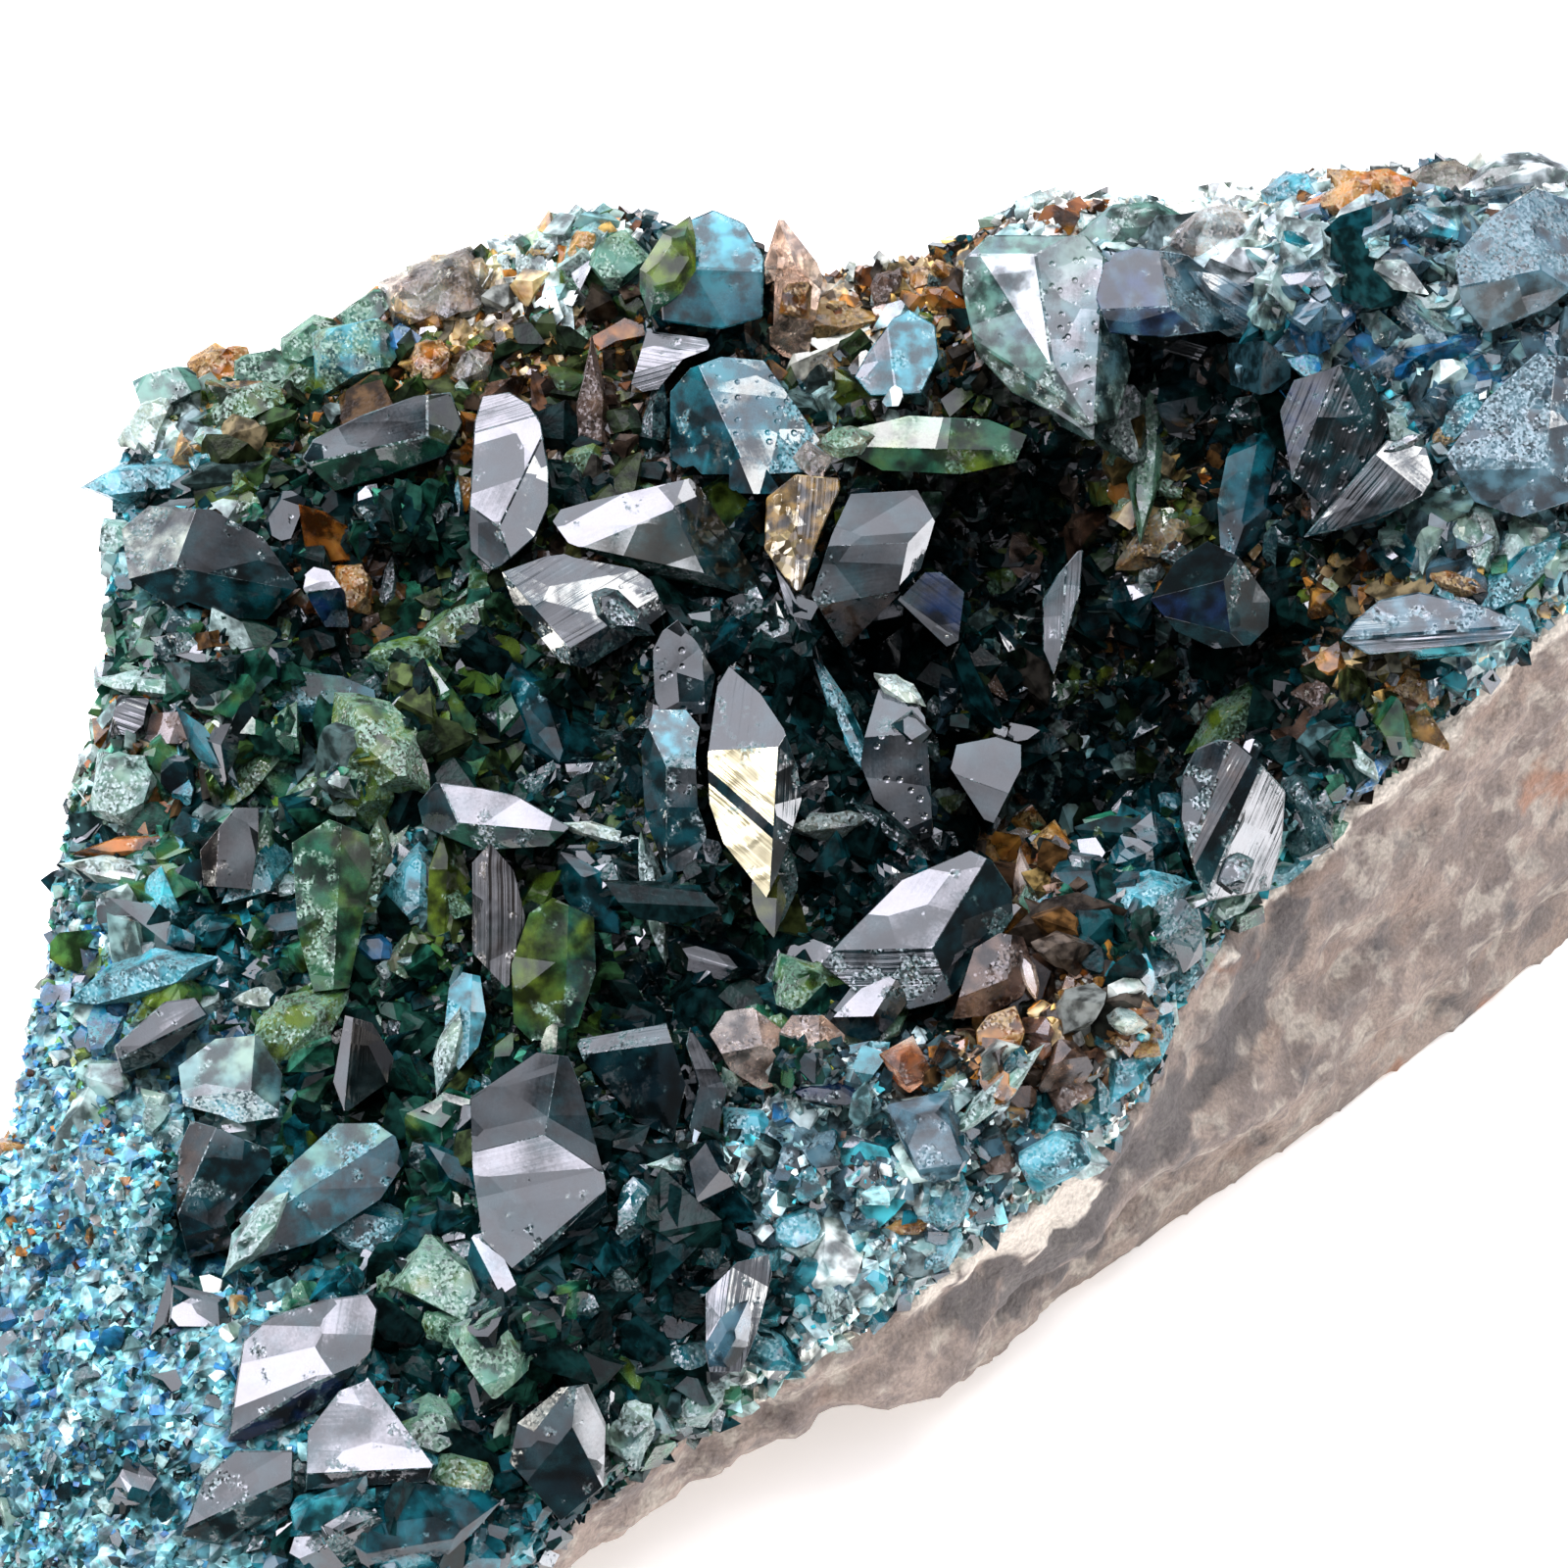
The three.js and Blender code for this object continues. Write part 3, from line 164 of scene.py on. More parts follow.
def panel_mask(tree, direction, place):
    """One inside a panel of the tent, nought outside it, with a soft edge."""
    dot = add(tree, "ShaderNodeVectorMath", operation="DOT_PRODUCT")
    tree.links.new(direction, dot.inputs[0])
    dot.inputs[1].default_value = picture_direction(place["bearing"], place["angle"])
    edge = add(tree, "ShaderNodeMapRange", interpolation_type="SMOOTHSTEP")
    edge.inputs["From Min"].default_value = math.cos(math.radians(place["radius"] + place["soft"]))
    edge.inputs["From Max"].default_value = math.cos(math.radians(place["radius"]))
    tree.links.new(dot.outputs["Value"], edge.inputs["Value"])
    return edge.outputs["Result"]


looking = add(world_tree, "ShaderNodeTexCoord").outputs["Generated"]
light = None
for place in LIGHTS:
    mixer = add(world_tree, "ShaderNodeMix", data_type="RGBA")
    mixer.inputs["A"].default_value = (*DIM, 1)
    mixer.inputs["B"].default_value = [place["strength"] * part for part in place["color"]] + [1]
    world_tree.links.new(panel_mask(world_tree, looking, place), mixer.inputs["Factor"])
    if light:
        world_tree.links.new(light, mixer.inputs["A"])
    light = mixer.outputs["Result"]
background = add(world_tree, "ShaderNodeBackground")
world_tree.links.new(light, background.inputs["Color"])
world_output = add(world_tree, "ShaderNodeOutputWorld")
world_tree.links.new(background.outputs[0], world_output.inputs["Surface"])

bpy.context.scene.view_settings.view_transform = "Standard"


def tent_brightness(direction):
    """How bright the tent is in a direction, by the same rule as its shader."""
    bright = DIM[1]
    for place in LIGHTS:
        dot = direction.dot(picture_direction(place["bearing"], place["angle"]))
        low = math.cos(math.radians(place["radius"] + place["soft"]))
        high = math.cos(math.radians(place["radius"]))
        share = min(max((dot - low) / (high - low), 0), 1)
        share = share * share * (3 - 2 * share)
        bright += (place["strength"] * place["color"][1] - bright) * share
    return bright


print("tent overhead:", round(tent_brightness(Vector((0, 0, 1))), 2))

# %% [markdown]
# ## Floor
# A plain white sheet, bright enough to burn out to pure white as it does under a close lamp.

# %% Floor
FLOOR_REACH = 3.0
FLOOR_COLOR = (0.9, 0.88, 0.86, 1)
FLOOR_GLOW = (1.0, 0.95, 0.91, 1)
FLOOR_GLOW_STRENGTH = 0.5

floor_mesh = bpy.data.meshes.new("floor")
corners = [(x * FLOOR_REACH, y * FLOOR_REACH, 0) for x, y in ((-1, -1), (1, -1), (1, 1), (-1, 1))]
floor_mesh.from_pydata(corners, [], [(0, 1, 2, 3)])
floor = bpy.data.objects.new("floor", floor_mesh)
bpy.context.scene.collection.objects.link(floor)
floor_material = bpy.data.materials.new("white_sheet")
floor_material.use_nodes = True
floor_shader = floor_material.node_tree.nodes["Principled BSDF"]
floor_shader.inputs["Base Color"].default_value = FLOOR_COLOR
floor_shader.inputs["Roughness"].default_value = 0.8
floor_shader.inputs["Emission Color"].default_value = FLOOR_GLOW
floor_shader.inputs["Emission Strength"].default_value = FLOOR_GLOW_STRENGTH
floor_mesh.materials.append(floor_material)
print("floor width in m:", 2 * FLOOR_REACH)

# %% [markdown]
# ## Surface effects that several minerals share
# Growth lines, etch pits and frosting are fine reliefs that many crystals have. Each is a node group that
# gives a height, placed in a material with values of its own. The lines run along a direction that every
# facet carries as an attribute, so that they follow the crystal's edges.

# %% Helpers for shader groups
PER_MM = 1 / MM


def new_group(name, inputs, outputs):
    """An empty shader group with named sockets, and its input and output nodes."""
    group = bpy.data.node_groups.new(name, "ShaderNodeTree")
    for label, kind, value in inputs:
        socket = group.interface.new_socket(label, in_out="INPUT", socket_type=kind)
        if value is not None:
            socket.default_value = value
    for label, kind in outputs:
        group.interface.new_socket(label, in_out="OUTPUT", socket_type=kind)
    return group, add(group, "NodeGroupInput"), add(group, "NodeGroupOutput")


def noise_texture(tree, vector, scale, detail=3.0, dimensions="3D"):
    """A Noise texture fed by a position; gives its factor."""
    node = add(tree, "ShaderNodeTexNoise", noise_dimensions=dimensions)
    node.inputs["Detail"].default_value = detail
    if dimensions == "1D":
        tree.links.new(vector, node.inputs["W"])
    else:
        tree.links.new(vector, node.inputs["Vector"])
    if isinstance(scale, bpy.types.NodeSocket):
        tree.links.new(scale, node.inputs["Scale"])
    else:
        node.inputs["Scale"].default_value = scale
    return node.outputs["Fac"]


def ramp_between(tree, value, low, high):
    """Nought below low, one above high, and smooth between."""
    node = add(tree, "ShaderNodeMapRange", interpolation_type="SMOOTHSTEP")
    node.inputs["From Min"].default_value = low
    node.inputs["From Max"].default_value = high
    tree.links.new(value, node.inputs["Value"])
    return node.outputs["Result"]


# %% Growth lines
lines_group, group_in, group_out = new_group(
    "growth_lines",
    [("Lines per mm", "NodeSocketFloat", 14.0), ("Least", "NodeSocketFloat", 0.1), ("Most", "NodeSocketFloat", 1.0)],
    [("Height", "NodeSocketFloat")],
)
position = add(lines_group, "ShaderNodeTexCoord").outputs["Object"]
across_lines = add(lines_group, "ShaderNodeAttribute", attribute_name="across_lines").outputs["Vector"]
ribbed = add(lines_group, "ShaderNodeAttribute", attribute_name="ribs").outputs["Fac"]
along = add(lines_group, "ShaderNodeVectorMath", operation="DOT_PRODUCT")
lines_group.links.new(position, along.inputs[0])
lines_group.links.new(across_lines, along.inputs[1])
waver = math_node(lines_group, "MULTIPLY", noise_texture(lines_group, position, 0.7 * PER_MM, 1.0), 0.12 * MM)
place = math_node(lines_group, "ADD", along.outputs["Value"], waver)
per_metre = math_node(lines_group, "MULTIPLY", group_in.outputs["Lines per mm"], PER_MM)
fine = noise_texture(lines_group, place, per_metre, 4.0, "1D")
coarse = noise_texture(lines_group, place, math_node(lines_group, "MULTIPLY", per_metre, 0.25), 1.0, "1D")
steps = math_node(lines_group, "MULTIPLY", ramp_between(lines_group, coarse, 0.45, 0.55), 0.5)
relief = math_node(lines_group, "ADD", fine, steps)
patchy = ramp_between(lines_group, noise_texture(lines_group, position, 0.8 * PER_MM, 2.0), 0.35, 0.65)
relief = math_node(lines_group, "MULTIPLY", relief, math_node(lines_group, "ADD", math_node(lines_group, "MULTIPLY", patchy, 0.85), 0.15))
strength = add(lines_group, "ShaderNodeMix", data_type="FLOAT")
lines_group.links.new(ribbed, strength.inputs["Factor"])
lines_group.links.new(group_in.outputs["Least"], strength.inputs["A"])
lines_group.links.new(group_in.outputs["Most"], strength.inputs["B"])
lines_group.links.new(math_node(lines_group, "MULTIPLY", relief, strength.outputs["Result"]), group_out.inputs["Height"])
print("built", lines_group.name)

# %% Mottling
mottle_group, group_in, group_out = new_group(
    "mottling",
    [("Patches per mm", "NodeSocketFloat", 2.0), ("Least", "NodeSocketFloat", 0.35), ("Most", "NodeSocketFloat", 1.6)],
    [("Value", "NodeSocketFloat")],
)
position = add(mottle_group, "ShaderNodeTexCoord").outputs["Object"]
patch_scale = math_node(mottle_group, "MULTIPLY", group_in.outputs["Patches per mm"], PER_MM)
patches = ramp_between(mottle_group, noise_texture(mottle_group, position, patch_scale, 3.0), 0.36, 0.66)
value = add(mottle_group, "ShaderNodeMix", data_type="FLOAT")
mottle_group.links.new(patches, value.inputs["Factor"])
mottle_group.links.new(group_in.outputs["Least"], value.inputs["A"])
mottle_group.links.new(group_in.outputs["Most"], value.inputs["B"])
mottle_group.links.new(value.outputs["Result"], group_out.inputs["Value"])


def mottled(tree, color, per_mm, least, most):
    """A colour that is darker and lighter in patches."""
    mottle = add(tree, "ShaderNodeGroup", node_tree=mottle_group)
    mottle.inputs["Patches per mm"].default_value = per_mm
    mottle.inputs["Least"].default_value = least
    mottle.inputs["Most"].default_value = most
    shaded = add(tree, "ShaderNodeHueSaturation")
    tree.links.new(color, shaded.inputs["Color"])
    tree.links.new(mottle.outputs["Value"], shaded.inputs["Value"])
    return shaded.outputs["Color"]


print("built", mottle_group.name)

# %% Etch pits and sugar
pits_group, group_in, group_out = new_group(
    "etch_pits",
    [("Pits per mm", "NodeSocketFloat", 3.0)],
    [("Height", "NodeSocketFloat")],
)
position = add(pits_group, "ShaderNodeTexCoord").outputs["Object"]
pitted = add(pits_group, "ShaderNodeAttribute", attribute_name="pits").outputs["Fac"]
cells = add(pits_group, "ShaderNodeTexVoronoi")
pits_group.links.new(position, cells.inputs["Vector"])
pits_group.links.new(math_node(pits_group, "MULTIPLY", group_in.outputs["Pits per mm"], PER_MM), cells.inputs["Scale"])
pit = math_node(pits_group, "SUBTRACT", ramp_between(pits_group, cells.outputs["Distance"], 0.12, 0.3), 1.0)
pits_group.links.new(math_node(pits_group, "MULTIPLY", pit, pitted), group_out.inputs["Height"])

sugar_group, group_in, group_out = new_group(
    "sugar",
    [("Grains per mm", "NodeSocketFloat", 18.0), ("Normal", "NodeSocketVector", None), ("Tilt", "NodeSocketFloat", 0.6)],
    [("Mask", "NodeSocketFloat"), ("Grain", "NodeSocketFloat"), ("Normal", "NodeSocketVector")],
)
position = add(sugar_group, "ShaderNodeTexCoord").outputs["Object"]
frosted = add(sugar_group, "ShaderNodeAttribute", attribute_name="frost").outputs["Fac"]
cells = add(sugar_group, "ShaderNodeTexVoronoi")
sugar_group.links.new(position, cells.inputs["Vector"])
sugar_group.links.new(
    math_node(sugar_group, "MULTIPLY", group_in.outputs["Grains per mm"], PER_MM), cells.inputs["Scale"])
patches = noise_texture(sugar_group, position, 1.8 * PER_MM, 5.0)
foot = add(sugar_group, "ShaderNodeAttribute", attribute_name="foot").outputs["Fac"]
level = math_node(sugar_group, "ADD", patches, math_node(sugar_group, "MULTIPLY", frosted, 0.45))
level = math_node(sugar_group, "ADD", level, math_node(sugar_group, "MULTIPLY", foot, 0.14))
mask = ramp_between(sugar_group, level, 0.7, 0.84)
spread = add(sugar_group, "ShaderNodeVectorMath", operation="SUBTRACT")
sugar_group.links.new(cells.outputs["Color"], spread.inputs[0])
spread.inputs[1].default_value = (0.5, 0.5, 0.5)
leaning = add(sugar_group, "ShaderNodeVectorMath", operation="SCALE")
sugar_group.links.new(spread.outputs["Vector"], leaning.inputs[0])
tilt = math_node(sugar_group, "MULTIPLY", group_in.outputs["Tilt"], math_node(sugar_group, "ADD", mask, 0.02))
sugar_group.links.new(tilt, leaning.inputs["Scale"])
grainy = add(sugar_group, "ShaderNodeVectorMath", operation="ADD")
sugar_group.links.new(group_in.outputs["Normal"], grainy.inputs[0])
sugar_group.links.new(leaning.outputs["Vector"], grainy.inputs[1])
unit = add(sugar_group, "ShaderNodeVectorMath", operation="NORMALIZE")
sugar_group.links.new(grainy.outputs["Vector"], unit.inputs[0])
sugar_group.links.new(mask, group_out.inputs["Mask"])
split_color = add(sugar_group, "ShaderNodeSeparateColor")
sugar_group.links.new(cells.outputs["Color"], split_color.inputs["Color"])
sugar_group.links.new(split_color.outputs["Green"], group_out.inputs["Grain"])
sugar_group.links.new(unit.outputs["Vector"], group_out.inputs["Normal"])
print("built", pits_group.name, "and", sugar_group.name)


# %% [markdown]
# ## Crystal finishes
# Kulanite is so deeply coloured that only its thin edges let light through; lazulite is a clearer teal. Both
# are glass-like, so the shader is clear with a volume that drinks up light along its way: thick bodies turn
# black and thin edges glow. A duller share keeps the colour of the fine cracks and dust inside them.
# A facet's stain, sugar, ribs and pits come from attributes, so one finish serves many crystals.

# %% Crystal material
def crystal_material(name, body, glow, **look):
    """A glassy mineral: body is the colour of its dull share, glow what its depth lets through."""
    material = bpy.data.materials.new(name)
    material.use_nodes = True
    tree = material.node_tree
    shader = tree.nodes["Principled BSDF"]
    output = tree.nodes["Material Output"]
    shader.inputs["IOR"].default_value = look.get("ior", 1.65)
    shader.inputs["Specular IOR Level"].default_value = look.get("gloss", 0.9)
    shader.inputs["Transmission Weight"].default_value = look.get("clear", 0.6)
    shader.inputs["Metallic"].default_value = look.get("metallic", 0.0)

    shader.inputs["Subsurface Weight"].default_value = look.get("inner", 0.0)
    shader.inputs["Subsurface Radius"].default_value = look.get("reach", (0.3, 0.9, 0.8))
    shader.inputs["Subsurface Scale"].default_value = 0.6 * MM

    position = add(tree, "ShaderNodeTexCoord").outputs["Object"]
    clouds = noise_texture(tree, position, look.get("clouds", 0.6) * PER_MM, 3.0)
    color = add(tree, "ShaderNodeMix", data_type="RGBA")
    tree.links.new(ramp_between(tree, clouds, 0.38, 0.62), color.inputs["Factor"])
    color.inputs["A"].default_value = (*body, 1)
    color.inputs["B"].default_value = (*look.get("second", body), 1)

    stain_and_painted_shade = add(tree, "ShaderNodeAttribute", attribute_name="stain_and_painted_shade")
    stained = add(tree, "ShaderNodeMix", data_type="RGBA")
    tree.links.new(color.outputs["Result"], stained.inputs["A"])
    tree.links.new(stain_and_painted_shade.outputs["Color"], stained.inputs["B"])
    blot = ramp_between(tree, noise_texture(tree, position, 1.3 * PER_MM, 4.0), 0.3, 0.6)
    tree.links.new(math_node(tree, "MULTIPLY", stain_and_painted_shade.outputs["Alpha"], blot), stained.inputs["Factor"])

    lines = add(tree, "ShaderNodeGroup", node_tree=lines_group)
    lines.inputs["Lines per mm"].default_value = look.get("lines", 9.0)
    lines.inputs["Least"].default_value = look.get("least_lines", 0.04)
    pits = add(tree, "ShaderNodeGroup", node_tree=pits_group)

    facing = add(tree, "ShaderNodeGroup", node_tree=facing_group)
    shape = add(tree, "ShaderNodeNewGeometry")
    outward = math_node(tree, "SUBTRACT", 1.0, math_node(tree, "MULTIPLY", shape.outputs["Backfacing"], 2.0))
    turned = add(tree, "ShaderNodeVectorMath", operation="SCALE")
    tree.links.new(facing.outputs["Normal"], turned.inputs[0])
    tree.links.new(outward, turned.inputs["Scale"])
    chosen = add(tree, "ShaderNodeMix", data_type="VECTOR")
    tree.links.new(facing.outputs["Named"], chosen.inputs["Factor"])
    tree.links.new(shape.outputs["Normal"], chosen.inputs["A"])
    tree.links.new(turned.outputs["Vector"], chosen.inputs["B"])
    sugar = add(tree, "ShaderNodeGroup", node_tree=sugar_group)
    sugar.inputs["Grains per mm"].default_value = look.get("grains", 16.0)
    sugar.inputs["Tilt"].default_value = look.get("tilt", 0.7)
    tree.links.new(chosen.outputs["Result"], sugar.inputs["Normal"])

    patchy_color = mottled(tree, stained.outputs["Result"], look.get("patches", 1.6), *look.get("mottle", (0.2, 1.8)))
    frosting = add(tree, "ShaderNodeMix", data_type="RGBA", blend_type="MIX")
    tree.links.new(math_node(tree, "MULTIPLY", sugar.outputs["Mask"], 0.9), frosting.inputs["Factor"])
    tree.links.new(patchy_color, frosting.inputs["A"])
    grain_color = add(tree, "ShaderNodeMix", data_type="RGBA")
    frost = look.get("frost", (0.1, 0.2, 0.2))
    tree.links.new(ramp_between(tree, sugar.outputs["Grain"], 0.0, 0.9), grain_color.inputs["Factor"])
    tree.links.new(patchy_color, grain_color.inputs["A"])
    grain_color.inputs["B"].default_value = (*frost, 1)
    tree.links.new(grain_color.outputs["Result"], frosting.inputs["B"])
    tree.links.new(frosting.outputs["Result"], shader.inputs["Base Color"])

    smear = ramp_between(tree, noise_texture(tree, position, 1.7 * PER_MM, 2.0), 0.4, 0.7)
    smooth = look.get("roughness", 0.05)
    rough = math_node(tree, "ADD", math_node(tree, "MULTIPLY", smear, 0.06), smooth)
    rough = math_node(tree, "ADD", rough, math_node(tree, "MULTIPLY", sugar.outputs["Mask"], 0.3))
    tree.links.new(rough, shader.inputs["Roughness"])

    bump = add(tree, "ShaderNodeBump")
    bump.inputs["Strength"].default_value = look.get("relief", 0.5)
    bump.inputs["Distance"].default_value = 0.04 * MM
    waves = math_node(tree, "MULTIPLY", noise_texture(tree, position, 0.45 * PER_MM, 1.0), look.get("waves", 6.0))
    marks = math_node(tree, "ADD", lines.outputs["Height"], pits.outputs["Height"])
    tree.links.new(math_node(tree, "ADD", marks, waves), bump.inputs["Height"])
    tree.links.new(sugar.outputs["Normal"], bump.inputs["Normal"])
    tree.links.new(bump.outputs["Normal"], shader.inputs["Normal"])

    if look.get("clear", 0.6) > 0:
        depth = add(tree, "ShaderNodeVolumeAbsorption")
        depth.inputs["Color"].default_value = (*glow, 1)
        depth.inputs["Density"].default_value = look.get("density", 1500)
        tree.links.new(depth.outputs["Volume"], output.inputs["Volume"])
    return material


STEPS_PER_MM = (0.45, 1.1, 0.7)
STEP_TILT = 0.16

facing_group, group_in, group_out = new_group(
    "facet_facing", [], [("Normal", "NodeSocketVector"), ("Named", "NodeSocketFloat")])
faced = add(facing_group, "ShaderNodeAttribute", attribute_name="facing").outputs["Vector"]
length = add(facing_group, "ShaderNodeVectorMath", operation="LENGTH")
facing_group.links.new(faced, length.inputs[0])
stretched = add(facing_group, "ShaderNodeVectorMath", operation="MULTIPLY")
facing_group.links.new(add(facing_group, "ShaderNodeTexCoord").outputs["Object"], stretched.inputs[0])
stretched.inputs[1].default_value = [part * PER_MM for part in STEPS_PER_MM]
steps = add(facing_group, "ShaderNodeTexVoronoi")
facing_group.links.new(stretched.outputs["Vector"], steps.inputs["Vector"])
steps.inputs["Scale"].default_value = 1.0
spread = add(facing_group, "ShaderNodeVectorMath", operation="SUBTRACT")
facing_group.links.new(steps.outputs["Color"], spread.inputs[0])
spread.inputs[1].default_value = (0.5, 0.5, 0.5)
leaning = add(facing_group, "ShaderNodeVectorMath", operation="SCALE")
facing_group.links.new(spread.outputs["Vector"], leaning.inputs[0])
leaning.inputs["Scale"].default_value = STEP_TILT
stepped = add(facing_group, "ShaderNodeVectorMath", operation="ADD")
facing_group.links.new(faced, stepped.inputs[0])
facing_group.links.new(leaning.outputs["Vector"], stepped.inputs[1])
unit = add(facing_group, "ShaderNodeVectorMath", operation="NORMALIZE")
facing_group.links.new(stepped.outputs["Vector"], unit.inputs[0])
facing_group.links.new(unit.outputs["Vector"], group_out.inputs["Normal"])
named = math_node(facing_group, "GREATER_THAN", length.outputs["Value"], 0.5)
facing_group.links.new(named, group_out.inputs["Named"])

FINISHES = {
    "kulanite": crystal_material(
        "kulanite", (0.002, 0.008, 0.011), (0.02, 0.5, 0.45), second=(0.004, 0.026, 0.03),
        clear=0.5, density=2600, roughness=0.035, frost=(0.09, 0.2, 0.19)),
    "kulanite_brown": crystal_material(
        "kulanite_brown", (0.016, 0.012, 0.01), (0.5, 0.4, 0.25), second=(0.01, 0.02, 0.02),
        clear=0.4, density=2600, roughness=0.05, frost=(0.2, 0.17, 0.13)),
    "lazulite_teal": crystal_material(
        "lazulite_teal", (0.003, 0.055, 0.075), (0.03, 0.8, 0.85), second=(0.006, 0.13, 0.155),
        clear=0.45, density=900, roughness=0.06, gloss=0.5, frost=(0.16, 0.46, 0.5)),
    "lazulite_green": crystal_material(
        "lazulite_green", (0.008, 0.09, 0.045), (0.3, 0.85, 0.45), second=(0.09, 0.14, 0.012),
        clear=0.45, density=800, roughness=0.06, gloss=0.5, frost=(0.22, 0.42, 0.28)),
    "lazulite_pale": crystal_material(
        "lazulite_pale", (0.1, 0.2, 0.19), (0.5, 0.85, 0.8), second=(0.2, 0.3, 0.22),
        clear=0.4, density=600, roughness=0.08, gloss=0.6, frost=(0.45, 0.6, 0.55)),
    "lazulite_mist": crystal_material(
        "lazulite_mist", (0.05, 0.11, 0.12), (0.5, 0.8, 0.7), second=(0.1, 0.16, 0.13),
        clear=0.4, density=700, roughness=0.06, gloss=0.8, frost=(0.3, 0.42, 0.36)),
    "lazulite_slate": crystal_material(
        "lazulite_slate", (0.015, 0.05, 0.07), (0.2, 0.5, 0.6), second=(0.045, 0.1, 0.12),
        clear=0.3, density=1500, roughness=0.1, gloss=0.7, frost=(0.16, 0.28, 0.31)),
    "quartz_rosy": crystal_material(
        "quartz_rosy", (0.72, 0.5, 0.36), (0.95, 0.78, 0.68), second=(0.9, 0.78, 0.66),
        clear=0.85, density=250, roughness=0.06, ior=1.55, gloss=0.6, frost=(0.6, 0.5, 0.42)),
    "quartz_smoky": crystal_material(
        "quartz_smoky", (0.1, 0.06, 0.045), (0.75, 0.6, 0.5), second=(0.24, 0.15, 0.1),
        clear=0.7, density=500, roughness=0.06, ior=1.55, gloss=0.6, frost=(0.3, 0.2, 0.15)),
    "amber": crystal_material(
        "amber", (0.2, 0.07, 0.008), (0.95, 0.55, 0.1), second=(0.5, 0.25, 0.05),
        clear=0.55, inner=0.2, reach=(0.9, 0.5, 0.15), density=700, roughness=0.08, ior=1.6, gloss=0.5,
        frost=(0.6, 0.4, 0.15)),
    "gold_glass": crystal_material(
        "gold_glass", (0.05, 0.03, 0.008), (0.9, 0.65, 0.25), second=(0.22, 0.13, 0.03), clouds=1.6,
        clear=0.4, density=900, roughness=0.05, gloss=1.0, frost=(0.75, 0.6, 0.3), tilt=1.2, grains=5.0,
        patches=2.5),
    "golden": crystal_material(
        "golden", (0.72, 0.64, 0.4), (1, 1, 1), second=(0.66, 0.57, 0.33), mottle=(0.75, 1.15), least_lines=0.6,
        clear=0.0, metallic=0.55, roughness=0.1, relief=2.0),
}
print("crystal finishes:", len(FINISHES))

# %% [markdown]
# ## Large crystals
# Each large crystal keeps the planes of its solid. Its edges get the hairline bevel that catches the light.
# How a facet looks depends most on what it mirrors. The list names the facets by where they are seen, and says
# how bright each is and how it is marked. A facet leans its shading by the least angle that mirrors that
# brightness, as the real one leans a little off the plane that was guessed for it.

# %% Which finish each large crystal has
CRYSTAL_FINISH = {
    "kulanite_brown": ["kulanite_brown_facet", "kulanite_edge_facet", "kulanite_tall_dark"],
    "lazulite_teal": [
        "lazulite_teal_top", "lazulite_rim_dark", "lazulite_blue_small", "lazulite_turquoise_column",
        "lazulite_dark_left", "lazulite_pale_tablet"],
    "lazulite_green": ["lazulite_tall_green", "lazulite_olive", "lazulite_long_green"],
    "lazulite_pale": ["lazulite_lilac_block"],
    "lazulite_mist": ["lazulite_pale_crystal"],
    "lazulite_slate": ["lazulite_grey_mass", "lazulite_grey_slab", "kulanite_shelf_shards", "kulanite_ribbed_bar"],
    "quartz_rosy": ["quartz_rim_point", "quartz_pale_point", "quartz_cluster_front"],
    "quartz_smoky": ["quartz_smoky_round"],
    "amber": ["quartz_amber", "siderite_orange_block"],
    "gold_glass": ["siderite_golden_column"],
}
FINISH_OF = {name: finish for finish, names in CRYSTAL_FINISH.items() for name in names}


def finish_of(node):
    """The finish of a large crystal, by its name unless the list says otherwise."""
    return FINISH_OF.get(node, "lazulite_teal" if node.startswith("lazulite") else "kulanite")


# %% How the facets are seen
MIRRORED = {
    "black": 0.1, "dark": 0.32, "slate": 0.85, "grey": 1.9, "light": 3.3, "pale": 4.6, "lilac": 6.5, "white": 10.0}
MARKS = {"ribbed": ("ribs", 1.0), "lined": ("ribs", 0.35), "pitted": ("pits", 1.0), "frosted": ("frost", 0.7),
         "dusty": ("frost", 0.4)}
STAINS = {
    "navy": (0.004, 0.014, 0.05, 0.9), "teal": (0.003, 0.05, 0.06, 0.8), "green": (0.012, 0.075, 0.04, 0.8),
    "olive": (0.03, 0.045, 0.006, 0.7), "brown": (0.07, 0.04, 0.025, 0.8), "turquoise": (0.05, 0.32, 0.38, 0.9),
    "creamy": (0.45, 0.5, 0.4, 0.85), "mint": (0.1, 0.24, 0.18, 0.85), "lime": (0.07, 0.12, 0.02, 0.85),
    "chalky": (0.75, 0.8, 0.8, 1.0), "beige": (0.2, 0.18, 0.12, 0.85), "orange": (0.55, 0.17, 0.015, 0.9), "blue": (0.02, 0.16, 0.36, 0.9),
}
